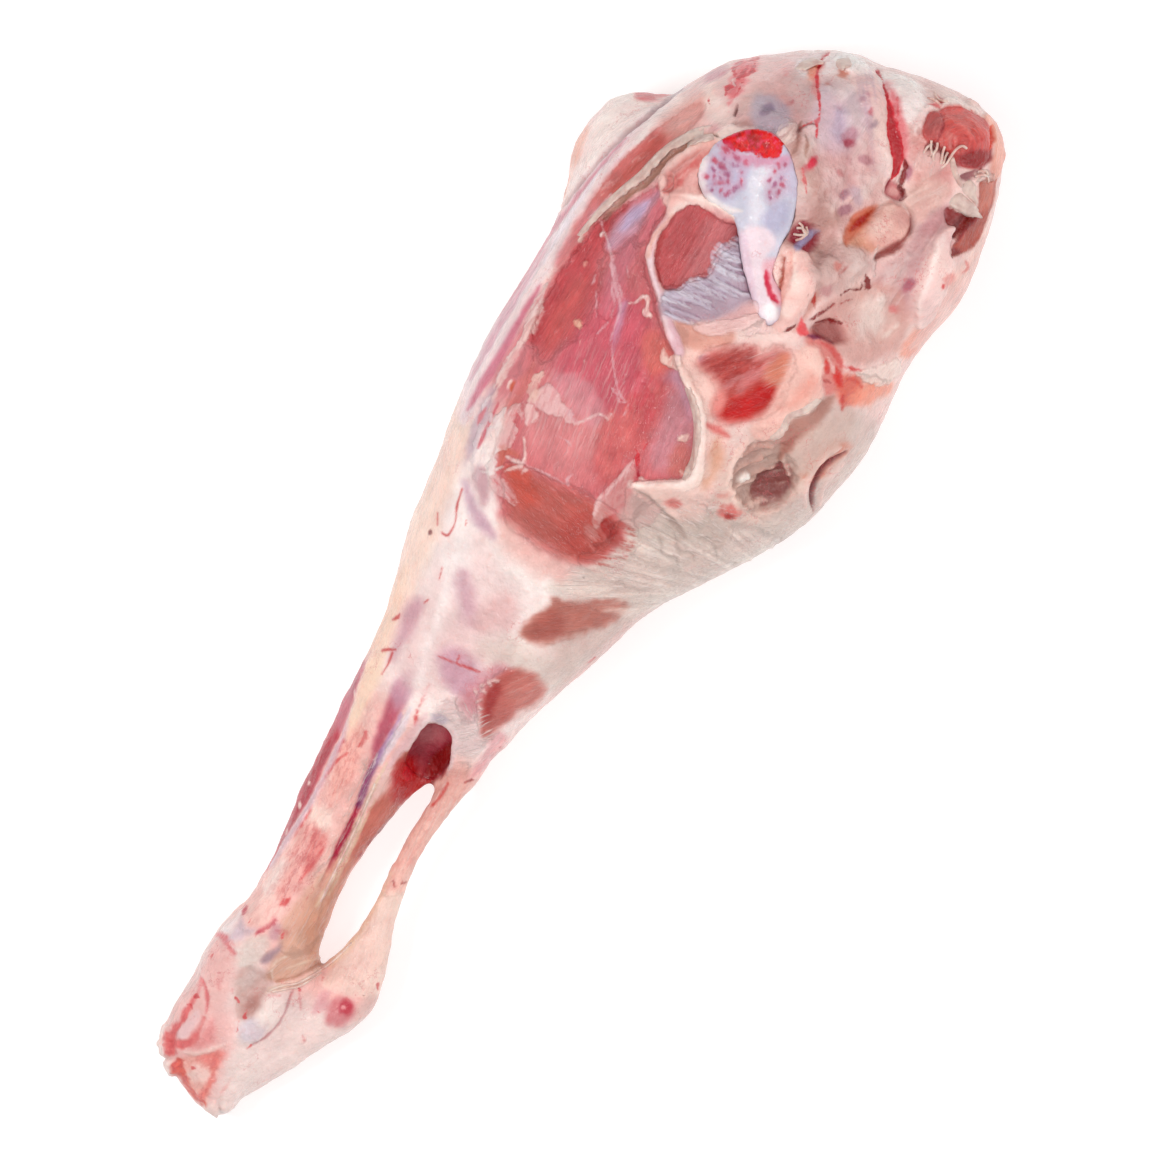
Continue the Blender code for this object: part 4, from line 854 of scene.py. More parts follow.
FAT_CRUMBS = ((84, 38, 1.7, (240, 192, 164)), (71.6, -19.6, 2, (243, 206, 192)), (64, -27.4, 1.5, (240, 196, 184)),
              (61.4, -26.4, 1, (236, 190, 178)), (104, 49.6, 1, (226, 150, 140)), (116.6, 50.4, 0.7, (250, 226, 220)),
              (79, 33.6, 0.6, (236, 190, 182)), (74, 28, 0.6, (226, 160, 158)), (111, 31.6, 0.7, (246, 200, 186)))
for x, y, reach, tint in FAT_CRUMBS:
    flesh.spot("fat crumb", tint, (x, y), (reach, reach * 0.8), turn=x * 7, ragged=0.6, lumps=1.5, rise=0.7, amount=0.9,
               layer="veil", soft=1.2)
flesh.patch("shreds at the cut", (248, 214, 206), ((100.2, 18.4), (101, 20.8), (104, 21.2), (106.6, 23), (108, 22),
            (106.4, 20.2), (103.8, 18.8), (102.8, 16.8), (101.4, 17)), ragged=0.5, lumps=1.8, rise=0.7, amount=0.92,
            layer="veil", soft=1.2)
flesh.stroke("shred's thread", (246, 212, 206), ((101, 27.2), (102.6, 25), (105.4, 24.2), (107.8, 22.6)), (0.4, 1, 1.5, 0.9),
             ragged=0.3, rise=0.5, amount=0.9, layer="veil", soft=1)
flesh.stroke("shred's gap", (204, 96, 96), ((103.2, 22.4), (105.6, 22.8)), 0.9, soft=0.8, amount=0.8)

# The front edge of the thigh: silver and rose stripes of fascia, a strip of dark muscle below them, and a raised edge
# of beige membrane that stands over a gap painted dark tan as its shadow. The flank's fold of cream fat hangs outside
# it.
flesh.patch("silver stripes", (232, 206, 210), ((30, 50), (60, 55), (84, 57), (100, 59), (120, 61), (140, 61),
            (160, 59), (178, 56), (184, 58), (170, 61), (150, 66), (120, 69), (90, 68), (60, 64), (34, 56)), soft=3,
            amount=0.92, ragged=0.8, grain=3, lean=0.15, rise=0.3, wet=0.7)
FRONT_STRIPES = (
    ((206, 108, 128), ((34, 52.6), (46, 53.6), (60, 54.8), (76, 56.6), (88, 57.4)), (0.8, 3.0, 2.8, 2, 0.6), 1.6, 0.85),
    ((243, 216, 212), ((30, 55), (50, 56.6), (70, 58.4), (90, 59.6), (110, 61.4)), (1, 2, 2, 2.2, 1.4), 1.6, 0.7),
    ((210, 138, 156), ((44, 58.6), (60, 60.6), (80, 62.4), (100, 63.6)), (1, 2.6, 2.4, 0.8), 2, 0.65),
    ((208, 118, 134), ((70, 63.2), (90, 65.0), (110, 65.8), (130, 65.4), (152, 63.4)), (0.6, 1.6, 1.6, 1.4, 0.5), 1.3, 0.75),
    ((200, 138, 152), ((138, 62.6), (148, 61.6), (158, 60.4)), (0.8, 2.6, 0.8), 2, 0.7),
    ((240, 224, 230), ((96, 61.2), (116, 63.2), (134, 63), (150, 60.4)), (0.8, 2.2, 2, 0.8), 1.4, 0.75),
    ((244, 218, 212), ((118, 62), (140, 62.2), (160, 59.6), (176, 55.6), (188, 52)), (0.6, 1.6, 3, 4, 2), 1.8, 0.8),
    ((150, 118, 124), ((150, 64.6), (164, 61.6), (174, 58.8), (180, 57.2)), (0.5, 1.2, 1.4, 0.6), 1, 0.7),
)
for k, (tint, path, width, soft, amount) in enumerate(FRONT_STRIPES):
    flesh.stroke(f"front stripe {k}", tint, path, width, soft=soft, amount=amount, ragged=0.35, lumps=6,
                 rise=0.25 if sum(tint) > 600 else -0.35)
flesh.patch("crinkled seam", (238, 218, 212), ((46, 49), (54, 51.2), (62, 51.4), (68, 51.8), (74, 54), (82, 55.4), (90, 55.8),
            (86, 54), (78, 51.6), (68, 49.6), (58, 49), (50, 48.4)), ragged=0.8, lumps=2.6, rise=0.6, amount=0.8, layer="veil",
            soft=1.6, streaks=(10, 12, 1.6, 0.85), wrinkle=0.4)
flesh.stroke("seam's long thread", (240, 210, 202), ((38, 46), (50, 48.4), (62, 49.6), (74, 51), (80.6, 51.8)),
             (0.4, 1.2, 1.4, 0.9, 0.5), ragged=0.35, lumps=3, amount=0.8, rise=0.4, layer="veil", soft=1)
STRIP_MUSCLE = ((98, 56), (112, 56.2), (124, 55.6), (136, 52.8), (146, 50.8), (156, 48.8), (165, 46.8), (172, 45.6), (180, 47),
                (176, 50.6), (168, 54), (160, 56.6), (150, 58.6), (138, 60.2), (122, 60.4), (110, 59.6), (101, 57.8))
flesh.patch("strip muscle", (204, 108, 104), STRIP_MUSCLE, soft=3, amount=1, ragged=0.7, rise=-0.5, lean=0.85, grain=-9)
flesh.patch("strip muscle's edge", (204, 108, 104), STRIP_MUSCLE, soft=2, ragged=0.6, layer="meat", fade=((104, 57), (124, 57)),
            amount=0.85)
flesh.patch("strip muscle's pink start", (216, 128, 134), ((98, 57), (110, 57), (122, 57), (126, 59), (116, 60), (104, 59)),
            soft=4, amount=0.8, ragged=1)
flesh.patch("strip muscle's deep middle", (190, 90, 82), ((132, 56), (144, 53), (158, 51), (166, 50), (160, 54),
            (146, 57), (136, 58)), soft=3.4, amount=0.75, ragged=1)
flesh.patch("strip muscle's milky end", (234, 170, 160), ((160, 47), (168, 45), (182, 45), (184, 50), (174, 54), (164, 55)), soft=8,
            amount=0.85, ragged=1.6)
flesh.patch("strip muscle's milky streaks", (236, 178, 172), ((126, 54), (144, 50), (166, 46), (176, 47), (166, 53), (148, 57),
            (130, 60)), amount=0.6, ragged=0.8, layer="veil", streaks=(-20, 8, 1.3, 0.3))
# The gap under the membrane is painted shadow, dark tan.
flesh.stroke("dark gap under the membrane", (172, 128, 112), ((122, 53.2), (134, 50.6), (143, 47.6), (152, 46.8), (160, 44.4),
             (167, 41.6), (172, 36.4)), (0.8, 2, 2.6, 3, 3, 2.8, 1.2), soft=1.8, amount=0.85, rise=-1.0, ragged=0.5)
flesh.stroke("membrane's root", (232, 208, 196), ((110, 55.4), (118, 56), (125, 54.8), (134, 52.8), (143, 50), (150, 50),
             (157, 48), (163, 45.8), (169, 43.4), (173, 39.6)), (0.6, 1.2, 1.6, 1.8, 2.2, 2.4, 2.4, 2.2, 1.8, 0.8), ragged=0.4,
             rise=0.9, amount=0.92, layer="veil", soft=1.4)
flesh.stroke("membrane's branch", FASCIA, ((119, 57.8), (123, 56.8), (127, 56.2), (131, 55.8)), (0.4, 0.8, 0.6, 0.9),
             ragged=0.25, amount=0.75, rise=0.3, layer="veil", soft=1)
flesh.patch("flank fat", (250, 224, 218), ((114, 68), (130, 68.6), (150, 66.4), (168, 62), (180, 58.6), (186, 62), (182, 74),
            (160, 86), (126, 86)), soft=2, amount=0.9, ragged=0.6, rise=0.4)
flesh.patch("flank's orange edge", (240, 170, 150), ((118, 69), (128, 72), (140, 76), (150, 79), (146, 82), (130, 78),
            (118, 73)), soft=3, amount=0.75, ragged=1.2)
flesh.patch("flank's red edge", (214, 92, 96), ((166, 68), (170, 64), (174, 60), (178, 61), (173, 67), (169, 71)), soft=2.4,
            amount=0.8, ragged=1)
# The groove between band and flank is darkened with painted shade.
flesh.stroke("groove between band and flank", (188, 148, 148), ((116, 67.8), (134, 67.4), (150, 65.2), (164, 61.8),
             (174, 59)), (0.8, 1.5, 1.5, 1), soft=1.2, amount=0.75, rise=-1.2)
flesh.patch("meat under the rosy lip", (221, 138, 130), ((144, 40), (148, 42.6), (156, 42), (164, 39), (170, 34.6), (164, 35),
            (156, 35.6), (149, 35)), soft=2, amount=0.92, ragged=0.8, rise=-0.7, lean=0.4)
flesh.patch("its red patches", (206, 88, 88), ((147, 37.6), (152, 38.4), (160, 38), (166, 35.6), (158, 35.4), (150, 35.4)),
            soft=1.8, amount=0.8, ragged=1, lumps=2.6, streaks=(-10, 5, 1.6, 0.55))
flesh.stroke("rosy lip", (245, 202, 192), ((141, 40.6), (145, 42.6), (150, 44.2), (157, 43.6), (164, 40.6), (170, 35.6),
             (173.4, 31)), (1, 2.4, 2.4, 2.6, 2.4, 2, 1), soft=1.4, amount=0.92, rise=0.9, ragged=0.6, over=True)
flesh.patch("wall beside the bone", (238, 190, 182), ((142.6, 41), (144.4, 37), (147.4, 33), (150, 28), (151.4, 22),
            (149.4, 21), (147.4, 27), (144.6, 31.6), (141, 34), (139, 37)), soft=1.8, amount=0.9, ragged=0.8, rise=0.5,
            over=True)
for k in range(26):
    x = 148.6 + 0.72 * k
    y = 33.4 + 1.2 * math.sin(k * 2.6) + 1.5 * math.sin(math.pi * k / 25) - 0.06 * k
    flesh.spot(f"grain of fat by the bone {k}", ((250, 218, 212), (244, 190, 186), (250, 228, 220))[k % 3], (x, y),
               (0.9 + 0.4 * (k % 3 == 0), 0.8), turn=40 * k, soft=0.9, amount=0.85, ragged=0.4, lumps=1.6, rise=0.7)
flesh.patch("cream shoulder by the bone", (250, 224, 214), ((170, 32), (176, 38), (178, 46), (188, 52), (184, 44), (182, 34),
            (178, 28)), soft=4, amount=0.8, ragged=1.2)
flesh.patch("pink flesh on the flank", (246, 196, 192), ((184, 30), (190, 40), (196, 46), (206, 42), (214, 30), (206, 26),
            (196, 32)), soft=6, amount=0.8, ragged=1.6, lumps=5)
flesh.patch("blood wash on the flank", (232, 96, 104), ((184, 39), (188, 43), (194, 44), (200, 46), (206, 41), (200, 39),
            (192, 39)), soft=3.4, amount=0.7, ragged=1.8, lumps=3)
FLANK_BLOOD = (
    (((186.6, 42.8), (189, 43.2), (191.6, 42.2)), (0.5, 2.2, 0.5)), (((194.6, 43.6), (197, 45.4), (200, 45), (201.6, 43.2)),
    (0.5, 1.8, 2.4, 0.6)), (((193.8, 42.2), (197, 41.4), (200.6, 41.8)), (0.5, 2, 0.6)), (((197, 40), (200, 39.4), (203, 40.4)),
    (0.5, 1.8, 0.4)), (((180.2, 45), (181.2, 46.4), (182.8, 47)), (0.4, 1.1, 0.3)), (((186, 39.4), (190, 39.2), (194, 40)),
    (0.3, 0.8, 0.3)), (((202, 44), (204.4, 42), (206.6, 40.4)), (0.4, 1.0, 0.3)),
)
for k, (path, width) in enumerate(FLANK_BLOOD):
    flesh.stroke(f"blood on the flank {k}", BLOOD, path, width, amount=0.85, ragged=0.7, lumps=1.8, layer="blood")
flesh.stroke("white shred in the blood", (252, 226, 222), ((191.6, 41.6), (192.8, 43.2), (194, 42.4)), (0.6, 1.3, 0.6),
             ragged=0.4, rise=0.5, amount=0.9, layer="veil", soft=1)
flesh.stroke("dark dash", (112, 66, 64), ((182.4, 35.4), (184.4, 35.9), (186.2, 36.6)), (0.5, 1, 0.4), soft=0.8, amount=0.85,
             rise=-0.4)
flesh.spot("mauve bruise on the flank", (206, 140, 152), (192, 50), (5, 2.4), turn=-28, soft=2.6, amount=0.75)

# The edge of the fat that the thigh was cut free from: cream and lit along the cut, with a pearly band of skin above
# and a warm shade where it turns down on the heel side.
flesh.patch("fat behind the cut", (240, 200, 190), ((46, -14), (50, -18), (54, -22), (58, -29), (63, -31), (70, -28),
            (77, -23), (83, -19), (87, -13), (91, -5), (96, 0), (102, -2), (98, -12), (94, -20), (86, -24), (84, -32), (78, -36),
            (66, -40), (56, -42), (48, -38), (46, -26)), soft=3, amount=0.95, ragged=1, over=True)
flesh.stroke("lit lip of the cut", (251, 222, 212), ((47, -14.6), (50, -18.6), (54.6, -24), (58.6, -30), (63, -32), (70, -28.4),
             (77, -24), (83.4, -19.4), (87.6, -13), (91.6, -5.4), (95, -0.6)), (2.4, 3.4, 4, 5, 5, 4.6, 4.4, 4, 3.6, 3.4, 2.6),
             soft=1.8, amount=0.85, rise=1.0, ragged=0.7, over=True)
# The lip's crest is a painted highlight along the top of the lip.
flesh.stroke("lip's crest", (255, 234, 226), ((48, -16), (53, -21.6), (59.6, -30.4), (66, -30.2), (75, -24.6), (82.6, -19.4),
             (87, -12)), (0.8, 1.6, 2, 1.8, 1.6, 1.4, 0.6), soft=1.6, amount=0.7, ragged=0.5)
flesh.patch("warm shade of the cut fat", (218, 156, 128), ((62, -35), (68, -34), (76, -30), (80, -31), (76, -36),
            (68, -39), (62, -38)), soft=4, amount=0.75, ragged=1.4, rise=-0.6)
flesh.patch("tongue of the cut fat", (228, 192, 182), ((46, -19), (50, -20), (54, -26), (56, -33), (55, -41), (50, -43),
            (46, -36), (46, -27)), soft=3, amount=0.8, ragged=1.2, rise=0.7)
# The crease beside the tongue is painted shade.
flesh.stroke("crease beside the tongue", (172, 146, 138), ((45.8, -16), (46.4, -22), (45.6, -29), (44, -36), (42.4, -42)),
             (0.7, 1.8, 1.6, 2.2, 1.4), soft=1.4, amount=0.75, rise=-1.0, ragged=0.5)
flesh.spot("rose spot on the tongue", (206, 112, 106), (50.4, -30.4), (2.8, 1.8), turn=-62, soft=2.2, amount=0.85,
           ragged=0.7)
flesh.patch("fat between the muscles", (238, 194, 184), ((93, -2), (98, 2), (103, 4), (107, -2), (102, -8), (97, -14),
            (92, -20), (88, -20), (89, -12)), soft=4, amount=0.85, ragged=1.4)
flesh.patch("tan meat under the skin", (214, 148, 132), ((101, 2), (104, 8), (108, 8), (110, 2), (112, -4), (116, -10),
            (112, -14), (107, -10), (103, -6)), soft=3.4, amount=0.8, ragged=1.2, grain=-52, lean=0.3)
flesh.spot("small grey pad", (176, 150, 166), (100.6, -9.4), (1.8, 2.4), turn=20, soft=1.6, amount=0.75)
flesh.patch("pearly band", (229, 184, 192), ((93, -1), (96, 1.6), (100, 8), (105, 13.6), (110, 19.6), (115, 26.6), (121, 32),
            (127, 34), (134, 33.4), (136, 31.6), (130, 32), (124, 30), (118, 26.4), (113.6, 20.6), (111, 16), (106, 10),
            (102, 4), (98, -1)), soft=1.6, amount=0.95, ragged=0.6, rise=0.9, lean=0.1, grain=48, wet=0.75, over=True)
flesh.stroke("pearly band's light", (247, 222, 224), ((99, 5), (104, 11.4), (109, 17), (114, 23.6), (119, 28.8), (124, 32),
             (130, 32.8)), (0.8, 1.8, 1.6, 2, 1.6, 1.2), soft=1.4, amount=0.7, ragged=0.5, streaks=(50, 10, 1.2, 0.85))
flesh.stroke("warm upper rim", (236, 178, 160), ((120, 30.6), (126, 32.8), (132, 32.8), (138, 31.6)), 1.6, soft=1.4, amount=0.7)
flesh.patch("curl of film at the cut", (243, 208, 196), ((89.6, 2), (91, 5.4), (94, 6.4), (93, 3), (95.4, 1.4), (96, -1),
            (93, -3.4), (91.4, -3)), ragged=0.7, lumps=2, rise=0.7, amount=0.85, layer="veil", soft=1.2)

# The cut end round the sawn hip bone: bare muscle with a cream edge, and the silverskin that was peeled off the
# bone's stem and stands up in ribs like a comb.
MUSCLE_BY_BONE = ((113.4, 17.4), (115, 22), (118, 25.6), (122, 28.6), (127, 31), (133, 31.6), (138, 31.4), (142, 30),
                  (145, 28.6), (146.6, 24), (147, 17), (148.4, 9), (148, 6), (143, 5), (134, 6), (126, 4), (119, 10))
flesh.patch("muscle by the bone", (190, 93, 95), MUSCLE_BY_BONE, soft=2.4, amount=1, ragged=0.6, rise=-1.2, lean=0.9,
            grain=6, layer="meat")
flesh.patch("muscle's red tint", (190, 92, 94), MUSCLE_BY_BONE, soft=2.4, amount=1, ragged=0.6, lean=0.9)
flesh.patch("muscle's milky lower side", (202, 122, 124), ((118, 16), (128, 18), (140, 20), (147, 18), (147, 9), (138, 10),
            (128, 10), (120, 13)), soft=5, amount=0.65, ragged=1.4)
flesh.stroke("muscle's dark upper edge", (168, 66, 66), ((115, 21.6), (119, 25.6), (124, 28.8), (130, 30.6)), 1.4, soft=1.2,
             amount=0.7, rise=-0.3)
for k in range(7):
    y = 15.4 + 1.9 * k
    flesh.stroke(f"muscle's line {k}", (160, 64, 66), ((114.4 + k * 0.8, y - 0.6), (124 + k, y + 0.3 + 0.3 * (k % 2)),
                 (134 + k * 0.6, y + 1.2), (143, y + 1.9)), (0.3, 0.6, 0.5, 0.3), soft=0.8, amount=0.45, rise=-0.25, ragged=0.3)
flesh.patch("silverskin's body", (174, 148, 162), ((105, 13), (110, 18), (114, 17), (117, 13), (121, 12), (128, 7),
            (136, 9), (142, 7), (147, 6), (144, 3), (138, -2), (132, -8), (127, -12), (121, -11), (115, -4), (109, 4)), soft=3,
            amount=0.95, ragged=0.8, rise=0.5, lean=0.1, grain=97, wet=0.8, over=True)
COMB = ((106, 13, 103), (108.4, 15.6, 102), (110.6, 17, 101), (112.8, 17.2, 100), (114.8, 15.4, 98), (116.8, 13.8, 97),
        (118.6, 13.6, 96), (120.4, 12.8, 95), (122.2, 12.6, 95), (124, 10.8, 94), (125, 7, 93), (127.2, 7.4, 92),
        (128.8, 9.2, 92), (130.4, 8.6, 91), (132, 9.8, 90), (133.8, 11.2, 89), (135.6, 11.6, 88), (137.4, 11.8, 88),
        (139.2, 11.6, 87), (140.8, 9.4, 84), (142.6, 8.2, 80), (144.6, 7.8, 76))
# The gap beside each rib is painted shade between the ribs.
for k, (x, top, angle) in enumerate(COMB):
    c, s = math.cos(math.radians(angle)), math.sin(math.radians(angle))
    length = min(13 + 4 * math.sin(k * 1.9), top + 12 - max(0, x - 126) * 0.75)
    foot = (x - c * length * 0.6 + 1.6, top - s * length)
    tint = ((214, 204, 218), (200, 184, 200), (224, 216, 226))[k % 3]
    flesh.stroke(f"rib of silverskin {k}", tint, ((x, top), (x - c * length * 0.4 + 0.5, top - s * length * 0.5), foot),
                 (1.5, 1.7, 1.3, 0.6), ragged=0.25, lumps=2, rise=0.5, amount=0.8, layer="veil", soft=1.2)
    flesh.stroke(f"gap beside rib {k}", (160, 124, 146), ((x + 1, top - 1.4), (foot[0] + 1, foot[1] + 1)), 0.6, soft=0.9,
                 amount=0.65, rise=-0.35)
flesh.patch("silverskin's rosy foot", (222, 168, 164), ((110, 0), (116, -4), (122, -8), (128, -11), (129, -15), (124, -17),
            (117, -12), (111, -6)), soft=4, amount=0.8, ragged=1.4, grain=-50)
flesh.patch("pale wedge of skin", (243, 202, 198), ((108, 1), (112, -2), (118, -8), (124, -13), (126, -19), (124, -23),
            (119, -19), (114, -12), (109, -5)), ragged=0.7, lumps=4, rise=0.5, amount=0.7, layer="veil", soft=2,
            streaks=(-50, 18, 3, 0.95))
flesh.stroke("muscle's cream edge", (250, 220, 212), ((142.4, 40.6), (143.4, 37.4), (146, 33.6), (148, 28), (149.4, 21),
             (150.4, 14), (151.4, 9)), (0.8, 1.4, 1.8, 2.2, 2, 1.8, 1), soft=1, amount=0.9, rise=0.9, ragged=0.5, over=True)
flesh.patch("pink fold over the bone", (232, 172, 164), ((136, 33), (142, 38), (144, 41), (152, 41.6), (162, 39), (170, 35),
            (166, 34), (156, 33), (150, 28), (148, 31), (144, 34), (140, 33)), soft=2.4, amount=0.85, ragged=1.2, rise=0.4)
flesh.patch("red inside the fold", (212, 104, 100), ((143, 40.6), (152, 40), (160, 38), (166, 35.6), (158, 36), (148, 36.8),
            (144, 38)), soft=2, amount=0.8, ragged=1, lumps=3, streaks=(-14, 8, 1.4, 0.9))

# The second muscle, low on the cut end: brown and wrinkled above, bright wet red below, with a pink haze between.
SECOND_MUSCLE = ((99, -9), (104, -10), (109.4, -14), (113.4, -18), (115.6, -22.4), (113.6, -24.4), (117, -26.6), (120, -29.6),
                 (121, -33.4), (118, -36.6), (113, -37.6), (107, -39.6), (101, -40.4), (95.4, -37.6), (90.6, -33.6), (86.6, -30.6),
                 (86.4, -25), (91, -23), (95, -20), (96.6, -16), (97.4, -12))
flesh.patch("second muscle", (188, 82, 77), SECOND_MUSCLE, soft=8, amount=1, ragged=1.2, rise=-1.0, lean=0.85, grain=-30)
flesh.patch("second muscle's haze of fat", (226, 160, 152), ((112, -22), (116, -25), (121, -30), (122, -36), (114, -38),
            (106, -36), (110, -28)), soft=6, amount=0.55, ragged=2, streaks=(-30, 9, 1.6, 0.7), film=0.5)
flesh.patch("second muscle's wrinkles", (158, 62, 60), ((99, -11), (108, -14), (114, -20), (112, -26), (103, -24), (97, -18)),
            soft=6, amount=0.7, ragged=1.5, lumps=3, streaks=(-24, 7, 1.3, 0.5), wrinkle=0.5)
flesh.patch("second muscle's haze", (214, 136, 136), ((96, -21), (106, -22), (116, -27), (117, -31), (106, -30), (97, -27)),
            soft=3.4, amount=0.65, ragged=1.6, lumps=3, streaks=(-24, 8, 1.4, 0.65))
flesh.patch("second muscle's bright foot", (186, 26, 22), ((87, -26), (93, -27), (98, -29), (105, -32), (108, -36), (104, -38),
            (96, -37), (89, -32)), soft=7, amount=0.95, ragged=1.4, wet=0.9)
flesh.patch("second muscle's orange end", (226, 138, 112), ((108, -31), (116, -30), (120, -33), (116, -37), (108, -38)),
            soft=4, amount=0.85, ragged=1.4)
flesh.patch("blush above it", (226, 132, 124), ((86, -22), (92, -20), (96, -22), (92, -25), (87, -26)), soft=3, amount=0.7,
            ragged=1.2)
flesh.stroke("red streak beside it", (212, 92, 88), ((81.4, -24), (82, -28), (82.6, -33)), (1.6, 3.2, 1.4), soft=2.4, amount=0.75)
flesh.patch("pink fat under it", (250, 214, 204), ((92, -38), (98, -42), (108, -42), (118, -39), (125, -40), (127, -48),
            (118, -50), (106, -49), (96, -45)), soft=3, amount=0.85, ragged=1.2, rise=0.9)

# The fat under the bone's stem, plump and pink white, and the pit beside the bone's neck.
flesh.patch("lobe of fat under the stem", (240, 192, 184), ((126, -23), (130, -23), (136, -21), (141, -16), (147, -12),
            (153, -9), (156, -11), (156, -15), (154, -19), (150, -23), (145, -27), (137, -28), (129, -28),
            (125, -26)), soft=3.4, amount=0.95, ragged=0.9, rise=1.3, over=True, streaks=(36, 16, 2.2, 1.0), wrinkle=0.45)
flesh.stroke("fat drawn up along the stem", (238, 208, 214), ((151.6, 11), (147, 5.4), (141, -0.6), (134, -7.4), (128.6, -13),
             (125.6, -19)), (2, 3.6, 4, 4, 3.4, 2), soft=2.4, amount=0.85, rise=1.9, ragged=0.6)
# The lobe's pale crest is a painted highlight along its top.
flesh.stroke("lobe's pale crest", (250, 222, 212), ((131, -24.6), (138, -23.4), (145, -19.6), (151, -14)), (1, 3.6, 3.6, 1.4),
             soft=3, amount=0.8, ragged=1, rise=0.4)
flesh.stroke("lobe's rosy fold", (236, 164, 152), ((130, -21.4), (136, -20), (142, -17), (148, -15.4), (153, -12)),
             (1, 2.6, 2.2, 2.4, 1), soft=2.2, amount=0.75, ragged=0.9)
flesh.stroke("lobe's seam", (160, 66, 52), ((137, -18.6), (141, -15.9), (144.6, -13.8), (149, -11.4)), (0.4, 1.3, 1.1, 0.5),
             soft=1, amount=0.8, rise=-1.0, ragged=0.5, lumps=2)
flesh.stroke("lobe's lower shade", (196, 128, 116), ((129, -30), (137, -30.4), (145.6, -29.4), (152.6, -24.6), (156.6, -18)),
             (0.5, 1.8, 2, 1.4), soft=2.4, amount=0.65, rise=-0.7, ragged=0.8)
flesh.patch("shaded fat by the pit", (196, 150, 142), ((154, -8), (160, -7), (168, -6), (172, -11), (170, -19), (163, -24),
            (156, -22), (155, -15)), soft=4, amount=0.85, ragged=1.2, rise=-0.9)
# The pit's dark colour is painted shade in its depth.
flesh.patch("pit by the neck", (146, 52, 62), ((155.6, -9), (160, -7.8), (165, -9), (166.4, -13), (165, -17.6), (160, -18.8),
            (156, -16.6)), soft=1.6, amount=0.92, ragged=0.6, rise=-1.8, wet=0.9)
flesh.stroke("blue vein in the pit", (152, 144, 176), ((155.4, -12.8), (159, -14), (162.4, -15.4), (165, -16.6)), (3, 4, 3.6, 1.6),
             soft=1.4, amount=0.92, rise=0.8, ragged=0.3, wet=1.0)
flesh.stroke("pit's pale right edge", (226, 194, 184), ((165.2, -8), (166, -12), (168, -17.8)), (0.8, 1.4, 0.7), soft=1,
             amount=0.85, rise=0.8)
flesh.patch("grey fat round the bone", (208, 168, 162), ((170, -8), (180, -1), (188, 12), (189, 24), (184, 33), (192, 36),
            (198, 20), (194, 2), (184, -10), (174, -14)), soft=5, amount=0.75, ragged=1.5)
flesh.stroke("shade round the bone", (176, 128, 122), ((166, -7.6), (176, -1.6), (183.4, 6.6), (186.6, 16), (186, 26),
             (180, 33.4)), 1.8, soft=2, amount=0.75, rise=-0.9)
flesh.stroke("pink rim round the bone", (243, 196, 188), ((171, -10), (181, -3), (188.4, 8), (190.6, 20), (188, 32)),
             (1, 2.6, 2.4, 3, 2), soft=2, amount=0.7, rise=0.7)
flesh.stroke("blood at the bone's foot", BLOOD, ((173.4, -4.2), (177, -1), (180.6, 3)), (0.4, 1, 0.4), amount=0.7,
             layer="blood")

# The deep hollow on the heel side of the rump: folded wet skin and a floor darkened with painted shade, a bead of white
# fat, and a slit whose dark line is painted shade.
flesh.patch("fat about the hollow", (230, 194, 182), ((58, -46), (68, -40), (80, -39), (92, -42), (104, -50), (108, -62),
            (96, -68), (82, -68), (66, -62)), soft=5, amount=0.8, ragged=2)
flesh.patch("hollow's grey skin", (178, 142, 132), ((65, -52), (68, -45), (74, -41.6), (82, -41), (89, -44), (92, -50),
            (89, -58), (82, -65), (73, -64), (66, -59)), soft=2.4, amount=0.9, ragged=1.6, lumps=4, rise=-1.3, grain=-35,
            streaks=(-35, 14, 2.4, 1.0), wrinkle=0.8, wet=0.7)
# The hollow's dark floor is painted shade in its depth.
flesh.patch("hollow's floor", (130, 72, 70), ((70, -55), (75, -52), (82, -53), (86, -58), (80, -63), (72, -62)), soft=3.4,
            amount=0.85, ragged=1.6, lumps=3, rise=-1.8, grain=-35, streaks=(-40, 9, 1.8, 0.85), wrinkle=0.7, wet=0.9)
for k, ((x0, y0), (x1, y1)) in enumerate((((66, -46.6), (76, -52)), ((71, -42.6), (83, -48)), ((64, -54), (73, -60.6)),
                                          ((80, -41.6), (89, -49)), ((84, -60), (90.6, -53)), ((74, -48), (82, -54)))):
    flesh.stroke(f"hollow's fold {k}", ((222, 184, 172), (206, 160, 148))[k % 2], ((x0, y0), ((x0 + x1) / 2, (y0 + y1) / 2 + 1.4),
                 (x1, y1)), (0.8, 2, 0.8), soft=1.3, amount=0.75, rise=1.2, ragged=0.9, lumps=3)
flesh.stroke("cream lip over the hollow", (244, 208, 196), ((65, -49), (68, -43.6), (74, -40.4), (82, -39.6), (89.4, -42)),
             (1.4, 2.4, 2, 2.4, 1.4), soft=1.4, amount=0.85, rise=0.9, ragged=0.9, lumps=3)
flesh.spot("white bead", (245, 228, 220), (73.4, -46.8), (2.3, 1.5), turn=-20, soft=1, amount=0.95, ragged=0.4, rise=1.5)
flesh.spot("blot on the heel fat", (208, 104, 98), (59.4, -50), (4.6, 2.6), turn=-55, soft=2.6, amount=0.85, ragged=1.2)
flesh.spot("blot's second part", (212, 120, 112), (63, -44), (2.2, 1.2), turn=-40, soft=1.8, amount=0.6)
flesh.spot("blot's dark heart", (160, 52, 50), (58.4, -51), (1.6, 0.8), turn=-55, soft=1, amount=0.8)
